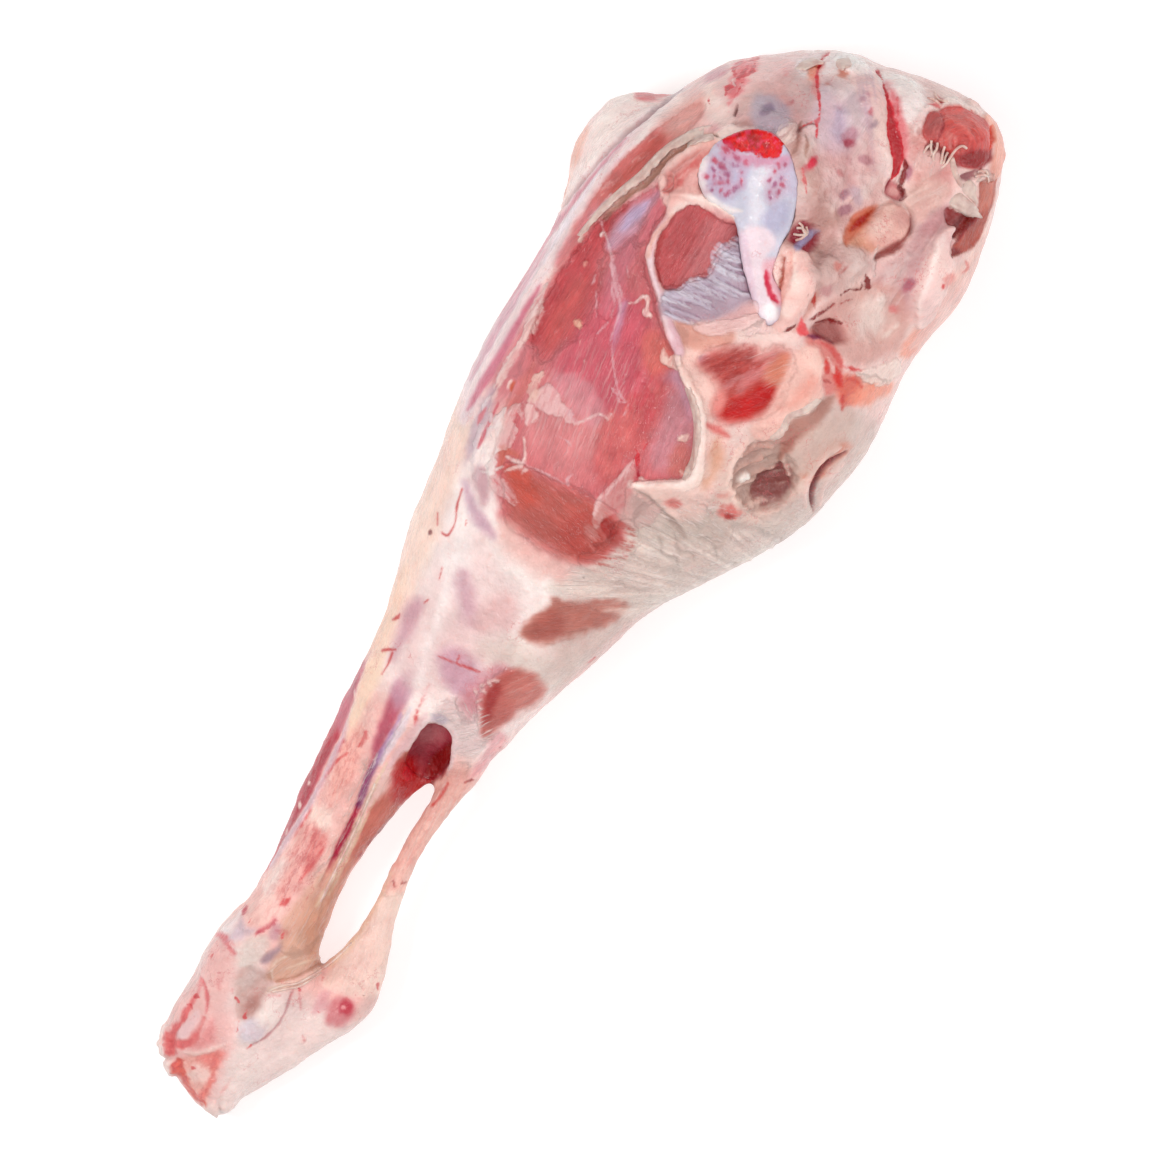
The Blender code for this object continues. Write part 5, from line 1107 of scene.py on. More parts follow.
flesh.patch("orange fat below the hollow", (212, 124, 102), ((86, -64), (94, -62), (104, -65), (108, -71), (98, -72),
            (88, -69)), soft=3.4, amount=0.8, ragged=1.4, streaks=(-10, 16, 2, 0.9))
# The slit's dark line is painted shade.
flesh.stroke("slit below the hollow", (112, 50, 52), ((79, -75.4), (85, -70.4), (94, -69), (104, -72.6)), (0.6, 2, 1.8, 0.6),
             soft=1, amount=0.85, rise=-1.6)
flesh.stroke("slit's upper lip", (242, 204, 196), ((78, -72), (85, -67.4), (94, -66.2), (104, -69.6)), (1, 2, 2, 1), soft=1.2,
             amount=0.75, rise=0.9)
flesh.stroke("slit's lower lip", (232, 196, 188), ((82, -76), (90, -73), (100, -74.4)), (1, 2, 1), soft=1.2, amount=0.7, rise=0.7)

# The rump: a shallow bowl of fat where the tail end was cut away, dull pink with white, greyish and lilac places,
# stained by blood that ran along two lines.
RUMP_TINTS = (
    ("dull pink fat", (216, 170, 166), ((166, -20), (172, 6), (184, 30), (200, 34), (214, 22), (214, 4), (206, -10), (196, -24),
                                        (176, -30)), 7, 0.9),
    ("warm shade by the bone", (190, 146, 138), ((166, -18), (171, -6), (180, 4), (188, 16), (192, 14), (186, 2), (178, -10),
                                                 (174, -20)), 5, 0.9),
    ("lilac fat", (212, 186, 194), ((190, -2), (196, 12), (208, 18), (216, 8), (213, -4), (202, -8)), 7, 0.85),
    ("bluish fat", (190, 172, 192), ((196, -3), (200, 4), (206, 5), (207, 0), (203, -4)), 4, 0.7),
    ("dull fat over the line", (206, 176, 172), ((196, 12), (200, 24), (210, 26), (214, 20), (206, 14)), 4, 0.75),
    ("grey blue fat by the bone", (184, 168, 180), ((182, 22), (186, 31), (193, 32), (197, 26), (195, 18), (189, 16)), 4, 0.85),
    ("dark blue spot", (134, 112, 134), ((189, 27), (191.4, 28.4), (193.4, 26.4), (192.6, 24), (190, 24.4)), 2, 0.75),
    ("lit white fat", (250, 236, 232), ((208, 24), (214, 30), (223, 24), (229, 10), (228, 2), (222, 6), (215, 14)), 5, 0.9),
    ("white fat by the streak", (246, 232, 228), ((222, -5), (228, -1), (232, -10), (231, -20), (222, -22), (217, -17),
                                                  (219, -11)), 4, 0.9),
    ("pink side", (250, 216, 210), ((200, 32), (208, 40), (220, 32), (233, 12), (238, -4), (240, -18), (234, -12),
                                    (229, 6), (218, 26)), 4, 0.75),
    ("pink fat below the streak", (218, 154, 148), ((198, -36), (203, -32), (210, -27), (217, -21), (217, -34),
                                                    (210, -46), (200, -46)), 5, 0.9),
    ("fibrous fat in the middle", (226, 180, 170), ((190, -36), (198, -35), (206, -40), (206, -47), (196, -47), (190, -43)),
     4, 0.85),
    ("mauve floor", (200, 154, 154), ((160, -44), (170, -44), (184, -46), (196, -47), (202, -50), (196, -54), (184, -54),
                                      (172, -57), (162, -60), (156, -54)), 4, 0.92),
    ("lobes left of the raw patch", (206, 168, 162), ((148, -24), (156, -21), (166, -23), (170, -32), (164, -40), (154, -37),
                                                      (146, -31)), 5, 0.9),
    ("smooth floor", (210, 158, 150), ((131, -40), (140, -34), (150, -37), (160, -42), (165, -50), (160, -61),
                                       (150, -66), (140, -63), (132, -55)), 4, 0.92),
    ("smooth floor's pale skin", (222, 180, 172), ((142, -46), (150, -42), (158, -46), (160, -54), (152, -60),
                                                   (145, -57)), 6, 0.8),
)
for what, tint, outline, soft, amount in RUMP_TINTS:
    flesh.patch(what, tint, outline, soft=soft, amount=amount, ragged=1.4, lumps=6, wet=0.75)
for (x, y, long, short, turn, height) in ((190, -6, 8, 5, 30, 1.4), (202, 8, 9, 5, 40, 1.3), (217, -2, 8, 4, 45, 1.2),
                                          (154, -27, 6, 5, 10, 2.0), (163, -32, 6, 5, -30, 1.8), (199, -40, 8, 4, -30, 1.4),
                                          (184, -14, 7, 4, -20, 1.2), (224, 14, 6, 9, 30, 1.2), (210, 25, 8, 5, -50, 1.2),
                                          (226, -14, 8, 4, 70, 1.6), (172, -12, 4, 6, 10, 1.0), (204, -8, 5, 3, 40, 0.9)):
    flesh.spot(f"soft lobe {x}", None, (x, y), (long, short), turn=turn, soft=4.5, ragged=1, rise=height)
for x, y, long, short, turn in ((172, -3, 7, 3.6, 30), (183, -9, 6, 3.4, 10), (196, -12, 7, 3.4, 40), (206, -2, 6, 3, 45),
                                (176, -15, 5, 3, 0), (190, 7, 6, 3, 40), (187, -20, 6, 3, 0), (163, -35, 5, 3.6, 0),
                                (150, -50, 9, 5, 10), (172, -48, 7, 3, 0), (200, -20, 4, 2.4, 40), (213, 8, 5, 3, 40)):
    flesh.spot(f"plump white fat {x}", (238, 218, 212), (x, y), (long, short), turn=turn, soft=4.5, amount=0.5, ragged=2,
               lumps=4, rise=0.9)
flesh.patch("faint lilac veins", (188, 156, 174), ((190, -22), (204, -8), (216, 4), (226, 4), (220, -6), (206, -20),
            (196, -26)), soft=4, amount=0.4, ragged=1.5, streaks=(42, 22, 1.3, 0.35))
flesh.patch("cream strands", (244, 222, 212), ((183, 14), (186, 18), (191, 18.6), (193, 15), (190, 12), (186, 12)),
            ragged=0.8, lumps=2.4, rise=0.7, amount=0.6, layer="veil", soft=1.6, streaks=(-40, 8, 1.3, 0.7))
for k, (path, width, tint) in enumerate((
    (((183, 8), (187.4, 10), (191.6, 12.4), (194.6, 13.4)), (0.6, 1.6, 1.2, 0.4), (158, 112, 102)),
    (((188, 12.6), (192, 12.2), (195.4, 10), (196.4, 8)), (0.4, 0.8, 0.7, 0.5), (128, 66, 66)),
    (((184.4, 4.6), (188, 6.6), (191, 9)), (0.4, 1, 0.4), (170, 120, 108)),
    (((182.4, 35.4), (184.4, 35.9), (186.2, 36.6)), (0.5, 1, 0.4), (112, 66, 64)),
)):
    flesh.stroke(f"tangled line {k}", tint, path, width, soft=1, amount=0.8, rise=-0.5, ragged=0.4)
flesh.stroke("thin line's stain", (232, 130, 124), ((222, 20), (213.8, 19.6), (209, 17), (204, 13)), (1, 3.4, 3, 1), soft=2.4,
             amount=0.65, ragged=0.8, raw=0.3)
flesh.spot("orange tinge", (232, 128, 96), (213, 20.6), (4, 1.4), turn=14, soft=2, amount=0.7)
flesh.stroke("thin blood line", BLOOD, ((222, 19.7), (218, 20.2), (214, 19.2), (211, 17.6), (207, 14.4), (203, 11),
             (199, 8.5), (196.6, 8), (194, 6.2), (192, 4.6)), (0.9, 1.1, 1, 1.2, 1.1, 0.9, 1, 1.2, 1, 0.4), amount=0.9,
             ragged=0.3, lumps=2, rise=-0.4, layer="blood")
flesh.stroke("thin blood line's branch", BLOOD, ((198, 8.6), (195.6, 10.4), (192.6, 12.2)), (0.9, 0.7, 0.3), amount=0.7,
             ragged=0.3, lumps=2, layer="blood")
flesh.patch("film over the blood line", (252, 238, 234), ((210, 27), (213, 26.4), (216.6, 24.4), (218.8, 20.8), (219.6, 18.4),
            (217.2, 19), (215.4, 22), (212, 24)), ragged=0.5, lumps=2, rise=1.0, amount=0.9, layer="veil", soft=1.4)
flesh.patch("white flap's bed", (252, 242, 238), ((219.4, 14), (221.4, 16.4), (225, 15), (226, 10), (222, 8.6), (219.6, 10)),
            ragged=0.8, lumps=2.4, rise=0.8, amount=0.85, layer="veil", soft=1.6)
flesh.stroke("blood streak's stain", (222, 112, 118), ((226, -4), (221.4, -11), (215, -18), (209, -24), (204, -27.6)),
             (1, 3, 4.4, 4, 2), soft=3, amount=0.75, ragged=0.9, raw=0.4)
BLOOD_STREAK = ((228, 1.2), (226.4, -2), (224, -5), (221, -8.4), (218.4, -11.4), (215, -14.4), (211.6, -17.6), (208.4, -21),
                (204.6, -24.4), (200.4, -26.6), (197, -27))
flesh.stroke("blood streak", BLOOD, BLOOD_STREAK, (1.6, 0.6, 0.8, 1.2, 2.4, 4, 5, 5, 4.2, 2.4, 0.6), amount=0.97, ragged=0.45,
             lumps=2.4, rise=-1.0, layer="blood", wet=1.0)
flesh.stroke("faint blood branch", BLOOD, ((223.2, -10.6), (220.4, -13), (217.4, -15.4)), (0.3, 0.9, 0.4), ragged=0.5, lumps=2,
             amount=0.5, layer="blood")
flesh.stroke("maroon branch", (132, 0, 24), ((205.4, -26.6), (203.6, -28.4), (200.4, -29.8), (196.8, -31)),
             (0.8, 2.6, 2, 0.9), amount=0.95, rise=-1.0, ragged=0.5, lumps=2, layer="meat", lean=0.4)
flesh.spot("mauve end of the branch", (176, 108, 124), (203.2, -30.6), (2.6, 1), turn=24, soft=1.6, amount=0.8)
flesh.stroke("white strand between", (232, 188, 186), ((196.6, -29.2), (199.6, -28), (202.4, -26.8)), (0.7, 1.3, 0.5), ragged=0.3,
             rise=0.5, amount=0.9, layer="veil", soft=1)
flesh.patch("pink hole", (188, 106, 108), ((191, -29), (192.6, -27.2), (196.4, -26.6), (197, -30), (196.4, -33), (193.8, -34.8),
            (191.2, -33.4)), soft=1.6, amount=0.92, ragged=0.5, rise=-1.6, wet=0.9, lean=0.4)
flesh.spot("hole's pale floor", (214, 158, 152), (193.8, -30.4), (1.8, 2), soft=1.4, amount=0.75)
# The hole's dark foot and dark brow are painted shade at its rims.
flesh.stroke("hole's dark foot", (112, 24, 40), ((192.6, -34.2), (194.6, -34.4), (196, -32.8), (196.8, -30.6)),
             (0.8, 1.6, 1.4, 0.4), amount=0.9, rise=-0.6, ragged=0.3, lumps=1.6, layer="meat")
flesh.stroke("hole's dark brow", (132, 44, 54), ((191.4, -28), (193.8, -26.9), (196.6, -26.5)), (0.5, 0.9, 0.5), soft=0.9,
             amount=0.85)
for x, y, long, short, tint in (
    (201, -4.4, 3.6, 2.4, (190, 140, 152)), (198.6, -6, 2, 1.5, (176, 76, 92)), (212.8, -5.6, 1, 0.8, (200, 88, 98)),
    (209.6, -9.4, 1.4, 1, (160, 132, 144)), (214.3, -0.4, 1, 0.9, (180, 140, 150)), (211.6, 13.4, 1, 0.8, (200, 130, 124)),
    (218.4, 10.4, 1.8, 1.4, (212, 130, 110)), (196.8, -14.5, 2.8, 1.8, (184, 132, 138)), (177, -19.4, 2.6, 2, (164, 112, 124)),
    (181.2, -15.4, 2, 1.5, (164, 118, 130)), (183.6, -19.4, 4, 2, (196, 166, 174)), (198.6, 20.6, 0.9, 0.7, (190, 110, 114)),
    (217.6, -1.4, 0.8, 0.7, (200, 140, 150)), (157.4, -28.8, 1.6, 1.1, (204, 120, 112)), (158, -31.6, 1.2, 0.5, (168, 84, 80)),
    (189.2, -31.4, 0.9, 0.6, (186, 90, 84)), (206.4, 28, 1.1, 0.8, (226, 150, 148)), (186.6, -9, 1.6, 1, (206, 140, 140)),
    (148, -31, 2.6, 2, (196, 140, 140)), (207, 4, 1.2, 0.8, (196, 150, 160)), (193, -9.6, 1.6, 1, (200, 150, 150)),
):
    flesh.spot(f"rump spot {x}", tint, (x, y), (long, short), turn=x * 17 % 180, soft=1.6, amount=0.8, ragged=0.7, lumps=2)
flesh.spot("red spot by the bone", (206, 52, 70), (183.6, 1.2), (3.1, 1.4), turn=-4, soft=1.6, amount=0.95, ragged=0.6, lumps=2)
flesh.patch("tan fat under the raw patch", (206, 140, 118), ((168, -27), (176, -28), (180, -29), (176, -33), (172, -37), (169, -33)),
            soft=3, amount=0.85, ragged=1)
RAW_PATCH = ((166, -27.4), (168.6, -25), (172, -23.4), (176, -22.9), (180.4, -24.4), (184, -26.6), (186, -28.4), (180, -28.5),
             (174, -28.3), (169.6, -28))
flesh.patch("raw patch", (204, 112, 90), RAW_PATCH, soft=1.8, amount=0.92, ragged=0.5, lumps=3, rise=-1.0, lean=0.6, grain=-8,
            wet=0.8)
flesh.patch("raw patch's dark fold", (168, 48, 28), ((172, -25.6), (176, -24.8), (180, -26), (185, -28.4), (179, -28.4),
            (174.6, -27.6)), soft=1.6, amount=0.92, ragged=0.5, lean=0.7)
flesh.spot("lobe in the bowl", (218, 162, 152), (181.4, -36.2), (9.6, 7.6), turn=-10, soft=2.4, amount=0.9, ragged=0.7,
           rise=3.0, over=True)
# The lobe's crown is a painted highlight on its top.
flesh.spot("lobe's crown", (238, 198, 188), (179, -33.4), (5.6, 3), turn=-16, soft=3.4, amount=0.75)
flesh.spot("lobe's shaded side", (204, 146, 140), (186.4, -38.4), (3.4, 4), turn=30, soft=3, amount=0.65)
flesh.spot("small lobe above it", (228, 180, 170), (187.4, -31.4), (3, 2.2), soft=1.6, amount=0.75, rise=0.9)
flesh.stroke("lobe's lit right rim", (240, 206, 200), ((190.4, -30), (191.4, -35), (189.4, -40)), (0.6, 1, 0.6), soft=0.9,
             amount=0.75, rise=0.4)
# The lobe's crease is painted shade below it.
flesh.stroke("lobe's crease", (146, 76, 72), ((168.6, -39.2), (172, -40), (176, -42.2), (180, -43.8), (186, -43.2), (190, -40.6)),
             (1, 2.6, 2.8, 1.4, 1, 0.5), soft=1.6, amount=0.88, rise=-1.8, ragged=0.5)
flesh.stroke("grey strand by the crease", (222, 198, 192), ((172.4, -36.6), (168.4, -39), (163.4, -42.6)), (0.6, 1.6, 0.7),
             ragged=0.4, lumps=2, rise=0.5, amount=0.85, layer="veil", soft=1.2)
flesh.patch("fibres by the lobe", (238, 200, 190), ((190, -36), (198, -35), (208, -38), (208, -46), (196, -46)), soft=3,
            amount=0.5, ragged=1, grain=-24, film=0.7, streaks=(-24, 12, 1.6, 0.5), wrinkle=0.5)
flesh.patch("floor's folds", (222, 180, 176), ((160, -46), (176, -46), (196, -48), (196, -53), (180, -54), (162, -58)), soft=3,
            amount=0.7, ragged=1, streaks=(4, 16, 1.5, 0.4), wrinkle=0.6, grain=4, film=0.3)
flesh.spot("magenta spot", (172, 98, 112), (168.6, -55.4), (2.9, 1.8), turn=-8, soft=1.8, amount=0.88)
flesh.spot("pink spot near it", (214, 122, 120), (157.6, -55.6), (1.2, 1.8), turn=10, soft=1.4, amount=0.75)
flesh.spot("milky glint in the floor", (230, 206, 200), (158.6, -49), (1.6, 1.3), soft=1.4, amount=0.55, rise=0.6)
flesh.spot("milky second glint", (232, 204, 196), (151, -59.6), (3, 0.8), turn=-16, soft=1.2, amount=0.65, rise=0.3)

# The foot of the bowl, where it meets the thigh: a shaded cavity, red skin and torn vessels, and a pool of blood
# stained fat. A pale plateau of fat stands left of it, and its torn lower edge throws a shadow.
flesh.patch("pale plateau", (240, 190, 178), ((90, -38), (100, -39), (112, -37), (122, -35), (128, -38), (128, -44), (122, -47),
            (115, -52.6), (107, -52), (102, -48.6), (95, -48.6), (89, -46)), soft=2.6, amount=0.9, ragged=0.8, rise=1.4)
flesh.patch("plateau's pink blush", (230, 152, 138), ((102, -42), (112, -43), (120, -43), (118, -48), (108, -48)), soft=5,
            amount=0.7, ragged=1.4)
flesh.stroke("plateau's lit edge", (248, 220, 208), ((91, -47.4), (94.6, -48.6), (99, -47.4), (103, -48.4), (107.6, -51.6),
             (113, -53)), (0.8, 1.4, 1, 1, 1.3, 0.5), soft=1, amount=0.85, rise=0.6, ragged=0.5)
flesh.patch("shade below the plateau", (178, 124, 112), ((92, -49.6), (99, -49), (104, -50.4), (110, -53.4), (116, -54),
            (119, -58), (110, -58), (98, -56), (90, -55)), soft=2.6, amount=0.88, ragged=1, rise=-0.8)
# The brown fold below it is painted shadow under the plateau's edge.
flesh.stroke("brown fold below it", (164, 108, 96), ((86, -54), (92, -53.4), (97, -54.4)), (1, 2.4, 1), soft=2, amount=0.75,
             rise=-0.6)
flesh.patch("grey fat below the plateau", (208, 176, 166), ((88, -57), (98, -58), (110, -60), (118, -64), (112, -70), (98, -68),
            (88, -64)), soft=4, amount=0.85, ragged=1.4)
flesh.patch("red skin", (216, 128, 120), ((128, -36), (132.6, -36), (132.8, -44), (131, -50), (128, -54), (122, -56), (116, -54),
            (120, -49), (126, -46), (129, -41)), soft=2.6, amount=0.9, ragged=1, raw=0.35, grain=-80)
flesh.patch("blood pool", (218, 100, 80), ((118, -58), (122, -55), (127, -55), (130, -60), (128, -64), (122, -65), (117, -62)),
            soft=3, amount=0.9, ragged=1.2, raw=0.55, grain=-70)
flesh.patch("orange foot of the pool", (238, 146, 122), ((119, -62), (128, -62), (133, -68), (134, -72), (126, -71)), soft=4,
            amount=0.85, ragged=1.4, grain=-50, raw=0.15)
for k, (path, width, tint) in enumerate((
    (((124, -49.4), (125.6, -47.6), (127, -46)), (1.4, 2.6, 1.2), (206, 60, 54)),
    (((126.6, -51), (124.6, -53.4), (122.6, -56.4)), (1.6, 3.4, 1.6), (208, 50, 44)),
    (((131.4, -41), (131.8, -45), (130.6, -49), (128.8, -52)), (1, 2, 2.4, 1), (206, 84, 80)),
    (((129.4, -53.6), (130.6, -56.4), (132, -59.6)), (0.8, 1.3, 0.4), (200, 44, 44)),
    (((120, -59.4), (117.6, -60.6), (115.4, -62.2)), (1, 1.2, 0.4), (196, 66, 60)),
    (((126, -57), (127.4, -60), (127, -63)), (0.6, 1.4, 0.6), (206, 70, 56)),
    (((120.6, -50), (121.4, -52.4)), (0.5, 0.9), (160, 60, 56)),
)):
    flesh.stroke(f"red run {k}", tint, path, width, soft=1.3, amount=0.85, ragged=0.5, lumps=2)
flesh.stroke("pale sinew among the red", (240, 196, 188), ((128.4, -46), (126.4, -49.6), (125, -51.4)), (0.8, 1.4, 0.5), soft=1,
             amount=0.8, rise=0.4)
flesh.patch("cavity", (158, 92, 88), ((133, -36), (137, -36), (141, -39), (141, -44), (138, -48), (134, -46),
            (133, -41)), soft=3, amount=0.92, ragged=0.7, rise=-2.2, wet=0.95, lean=0.3)
flesh.stroke("cavity's deep side", (124, 52, 60), ((132.6, -37), (133.2, -41), (134.2, -45)), (0.6, 1.8, 0.6), soft=1.4,
             amount=0.8)
flesh.stroke("purple vein", (112, 44, 72), ((130.6, -35.4), (131.4, -37.4), (132.6, -39.4)), (0.9, 1.8, 0.7), soft=1,
             amount=0.85)
flesh.patch("red junction", (234, 88, 92), ((134.4, -29.6), (132, -30.2), (129, -31.2), (129.6, -34), (131.6, -35), (133, -33)),
            soft=1.2, amount=0.92, ragged=0.5, lumps=2, rise=0.4)
flesh.patch("white fold of the floor", (244, 216, 206), ((130.4, -58), (134, -60.4), (138, -64), (144, -67.6), (140, -71),
            (133, -69), (129, -63)), ragged=0.7, lumps=2.4, rise=1.0, amount=0.8, layer="veil", soft=2)
flesh.patch("orange blush at the edge", (234, 142, 120), ((146, -68), (152, -67), (160, -67), (166, -70), (158, -73), (148, -72)),
            soft=3, amount=0.8, ragged=1.2)
SMALL_VESSELS = (
    (((136, -33), (139, -34), (142, -35.2), (146, -36.6)), (1.1, 1.3, 0.8, 0.3), (126, 8, 16)),
    (((136.4, -35.6), (139, -38), (140.8, -40.4), (141.8, -43)), (0.4, 0.9, 1.6, 0.9), (120, 14, 20)),
    (((150, -36.4), (153, -37.2), (155, -39.6), (156.4, -41.2), (158.4, -40.4)), (0.3, 0.7, 0.8, 1, 0.5), (120, 28, 30)),
    (((158.8, -43.6), (160.4, -41.8), (161.8, -39.8)), (1.4, 2.2, 0.5), (126, 6, 10)),
    (((158, -42.8), (159.8, -42.2)), (0.8, 1.2), (120, 0, 6)),
    (((140.4, -31.2), (142.4, -30), (145.4, -28.4)), (0.4, 1.6, 0.4), (190, 62, 54)),
    (((126.8, -27), (128.6, -28), (130.6, -29.2)), (0.8, 1.9, 0.7), (112, 18, 22)),
    (((145, -37), (148, -38.4), (151.4, -40.6)), (0.2, 0.5, 0.2), (190, 100, 94)),
)
for k, (path, width, tint) in enumerate(SMALL_VESSELS):
    flesh.stroke(f"torn vessel {k}", tint, path, width, amount=0.95, rise=0.2, ragged=0.25, lumps=1.6, layer="meat", soft=0.8)
flesh.patch("ridge of fat", (242, 206, 200), ((157, -67), (161, -63.6), (166, -60.4), (173, -58.4), (180, -56.2), (187, -54),
            (191, -53), (194.6, -54.2), (197, -56.4), (193, -57.6), (188, -60.6), (182, -64), (174, -67), (164, -69)),
            soft=1.2, ragged=0.6, lumps=3, rise=2.2, amount=0.95, wet=0.7, over=True)
flesh.stroke("ridge's lit crest", (250, 226, 220), ((159, -66), (166, -61.4), (176, -58.6), (186, -55.4), (192, -54.4)),
             (0.6, 1.6, 2, 2, 0.8), soft=1.4, amount=0.8, ragged=0.5)
flesh.patch("ridge's shaded wedge", (198, 152, 146), ((186.4, -60), (189.4, -58), (193, -57.4), (190, -59.6), (187, -61)),
            soft=1.4, amount=0.85, ragged=0.5, rise=-0.8)
flesh.patch("low rump fat", (236, 186, 176), ((150, -70), (164, -69), (180, -67), (192, -67), (204, -70), (190, -84),
            (160, -84)), soft=4, amount=0.8, ragged=2)
flesh.spot("red ring", (232, 150, 142), (178.4, -65.4), (3.6, 2.6), turn=-20, soft=1.6, amount=0.8, ragged=0.8, lumps=2, raw=0.3)
flesh.spot("red ring's point", (206, 30, 34), (175.2, -64), (1.1, 0.7), turn=30, soft=0.8, amount=0.95, ragged=0.3)
flesh.stroke("reddish curl", (214, 104, 96), ((184, -68.6), (187, -69.6), (188.4, -67.4)), (0.6, 1.3, 0.6), soft=1.2, amount=0.8)
LOW_MUSCLE = ((187.4, -61.8), (192, -61), (198, -60.4), (204, -60.8), (208, -60), (212, -57), (216, -54.4), (218.4, -56.4),
              (220.4, -59.4), (216, -61.6), (210, -64), (204, -66), (197, -67), (192, -65.8), (188.6, -63.8))
flesh.patch("low muscle end", (172, 74, 60), LOW_MUSCLE, soft=2, amount=1, ragged=0.6, rise=-0.4, lean=0.9, grain=12)
flesh.patch("low muscle end's edge", (172, 74, 60), LOW_MUSCLE, ragged=0.5, layer="meat")
flesh.patch("low muscle's pale end", (204, 116, 98), ((207, -61), (212, -57), (217, -55), (220, -59), (212, -63)), soft=3,
            amount=0.85, ragged=0.8)
# The maroon hollow is dark meat deepened with painted shade, darkest at its black foot; the dark gap left of the low
# muscle is painted shade too.
flesh.patch("maroon hollow", (136, 10, 12), ((196.6, -53.6), (199, -50.6), (201.4, -51), (202, -56), (205, -61), (199, -60.6),
            (193, -59.8), (196, -57)), soft=2, amount=0.95, ragged=0.5, rise=-2.4, wet=0.85, lean=0.5, layer="meat")
flesh.patch("hollow's black foot", (112, 0, 0), ((193, -59.8), (197, -58), (202, -57.6), (205, -61), (199, -60.8)),
            ragged=0.4, layer="meat", amount=0.95, rise=-0.6)
flesh.stroke("dark gap left of the muscle", (120, 0, 0), ((186, -61), (188, -61.8), (189, -63.6)), (0.5, 1.5, 0.6),
             amount=0.9, rise=-0.6, ragged=0.2, layer="meat")

# The tail muscle at the end: a round bundle cut across, with strands curved about its middle, under a fringe of
# torn threads and with a salmon rim of fat at its foot.
TAIL_WHORL = (222.5, -41)
TAIL_MUSCLE = ((216.4, -30.4), (217.4, -27), (221, -24.8), (225.4, -24.2), (227, -26.4), (231, -28), (233.8, -32), (235.2, -38),
               (235, -43), (232.6, -47.4), (228, -50.8), (223.6, -52), (219.6, -50.4), (217.2, -47), (216, -42.6), (216.6, -38),
               (215.8, -34))
flesh.patch("tail muscle", (210, 88, 84), TAIL_MUSCLE, soft=2, amount=1, ragged=0.5, rise=0.7, lean=0.9, grain=TAIL_WHORL,
            wet=0.8)
flesh.patch("tail muscle's edge", (210, 88, 84), TAIL_MUSCLE, ragged=0.5, layer="meat")
flesh.patch("tail muscle's dusky head", (184, 94, 92), ((216.8, -30), (218, -26.8), (222, -25), (226, -25), (226.6, -28),
            (224.6, -30.6), (219.4, -31.8)), soft=1.2, amount=0.92, ragged=0.5, rise=0.8)
flesh.stroke("shade under the head", (150, 50, 56), ((217.4, -32.4), (221, -32), (225, -30.8), (227, -28)), (0.6, 1.2, 1, 0.5),
             soft=1, amount=0.8, rise=-0.5)
flesh.patch("tail muscle's deep foot", (146, 36, 42), ((216, -44), (219, -42), (223, -45), (227, -50), (223, -52),
            (219, -50)), soft=3, amount=0.92, ragged=1)
flesh.patch("tail muscle's bright side", (226, 104, 96), ((226, -29), (231, -31), (234, -38), (233, -44), (229, -46),
            (227, -38)), soft=3.4, amount=0.8, ragged=1.2)
flesh.patch("tail muscle's milky folds", (214, 140, 134), ((218, -33), (222, -32.6), (224, -36), (222, -38.6), (218.4, -37)),
            soft=2, amount=0.7, ragged=1.2, lumps=2, streaks=(30, 5, 1.1, 0.6), wrinkle=0.5)
for k, (first, last) in enumerate(((20, 110), (100, 190), (-60, 40), (200, 300), (60, 150), (-20, 60), (150, 240), (280, 350))):
    for ring in (3.6, 5.4, 7.2, 9.2):
        reach = ring + 0.9 * math.sin(k * 2.1 + ring)
        path = [(223.4 + reach * 0.86 * math.cos(math.radians(a)), -39 + reach * 1.1 * math.sin(math.radians(a)))
                for a in np.linspace(first + ring * 4, last + ring * 2, 5)]
        pale = (k + int(ring)) % 2
        flesh.stroke(f"strand {k} {ring}", (236, 150, 142) if pale else (158, 44, 46), path, (0.2, 0.7, 0.5, 0.2), soft=0.9,
                     amount=0.3, rise=0.25 if pale else -0.3, ragged=0.4, lumps=2)
flesh.stroke("salmon rim", (240, 166, 146), ((237, -42), (236, -47), (232, -51.6), (226.6, -55), (220.4, -57.6)),
             (2, 3.6, 4.4, 4.6, 3), soft=1.6, amount=0.92, rise=1.3, ragged=0.7, over=True)
flesh.stroke("red cut over the rim", (218, 60, 40), ((235, -45.6), (231.6, -48.4), (227.6, -50.8)), (0.6, 1.8, 0.7), soft=1,
             amount=0.9, rise=-0.7)
flesh.stroke("dark line over the rim", (140, 40, 44), ((228.6, -51), (224, -52.6), (219.6, -52)), (0.5, 1.3, 0.5), soft=0.9,
             amount=0.85, rise=-0.6)
flesh.patch("torn end of the rim", (222, 184, 174), ((215, -52), (219, -52), (221, -55), (219.6, -58), (217, -56)), ragged=0.7,
            lumps=1.6, rise=0.6, amount=0.85, layer="veil", soft=1.2, streaks=(-50, 4, 1.2, 0.7))
flesh.stroke("tail muscle's upper rim", (246, 216, 210), ((216, -24), (222, -22.4), (228, -23.6), (232.6, -27), (236, -33),
             (237, -39)), (2, 2.4, 2.2, 2.6, 3, 2), soft=1.4, amount=0.88, rise=1.0, ragged=0.9, lumps=2.4, over=True)
flesh.spot("tab of fat", (242, 196, 190), (238.4, -35.4), (1.8, 2.2), turn=20, soft=1, amount=0.85, rise=1.6)
for (x0, y0), (x1, y1) in (((227.6, -21.6), (229.4, -25.6)), ((230.6, -22), (231.4, -26)), ((229, -26), (232.4, -24.6)),
                           ((233, -22), (232.6, -25.4))):
    flesh.stroke(f"torn red line {x0}", (206, 90, 92), ((x0, y0), (x1, y1)), (0.4, 1, 0.5), soft=0.9, amount=0.75, rise=-0.4)
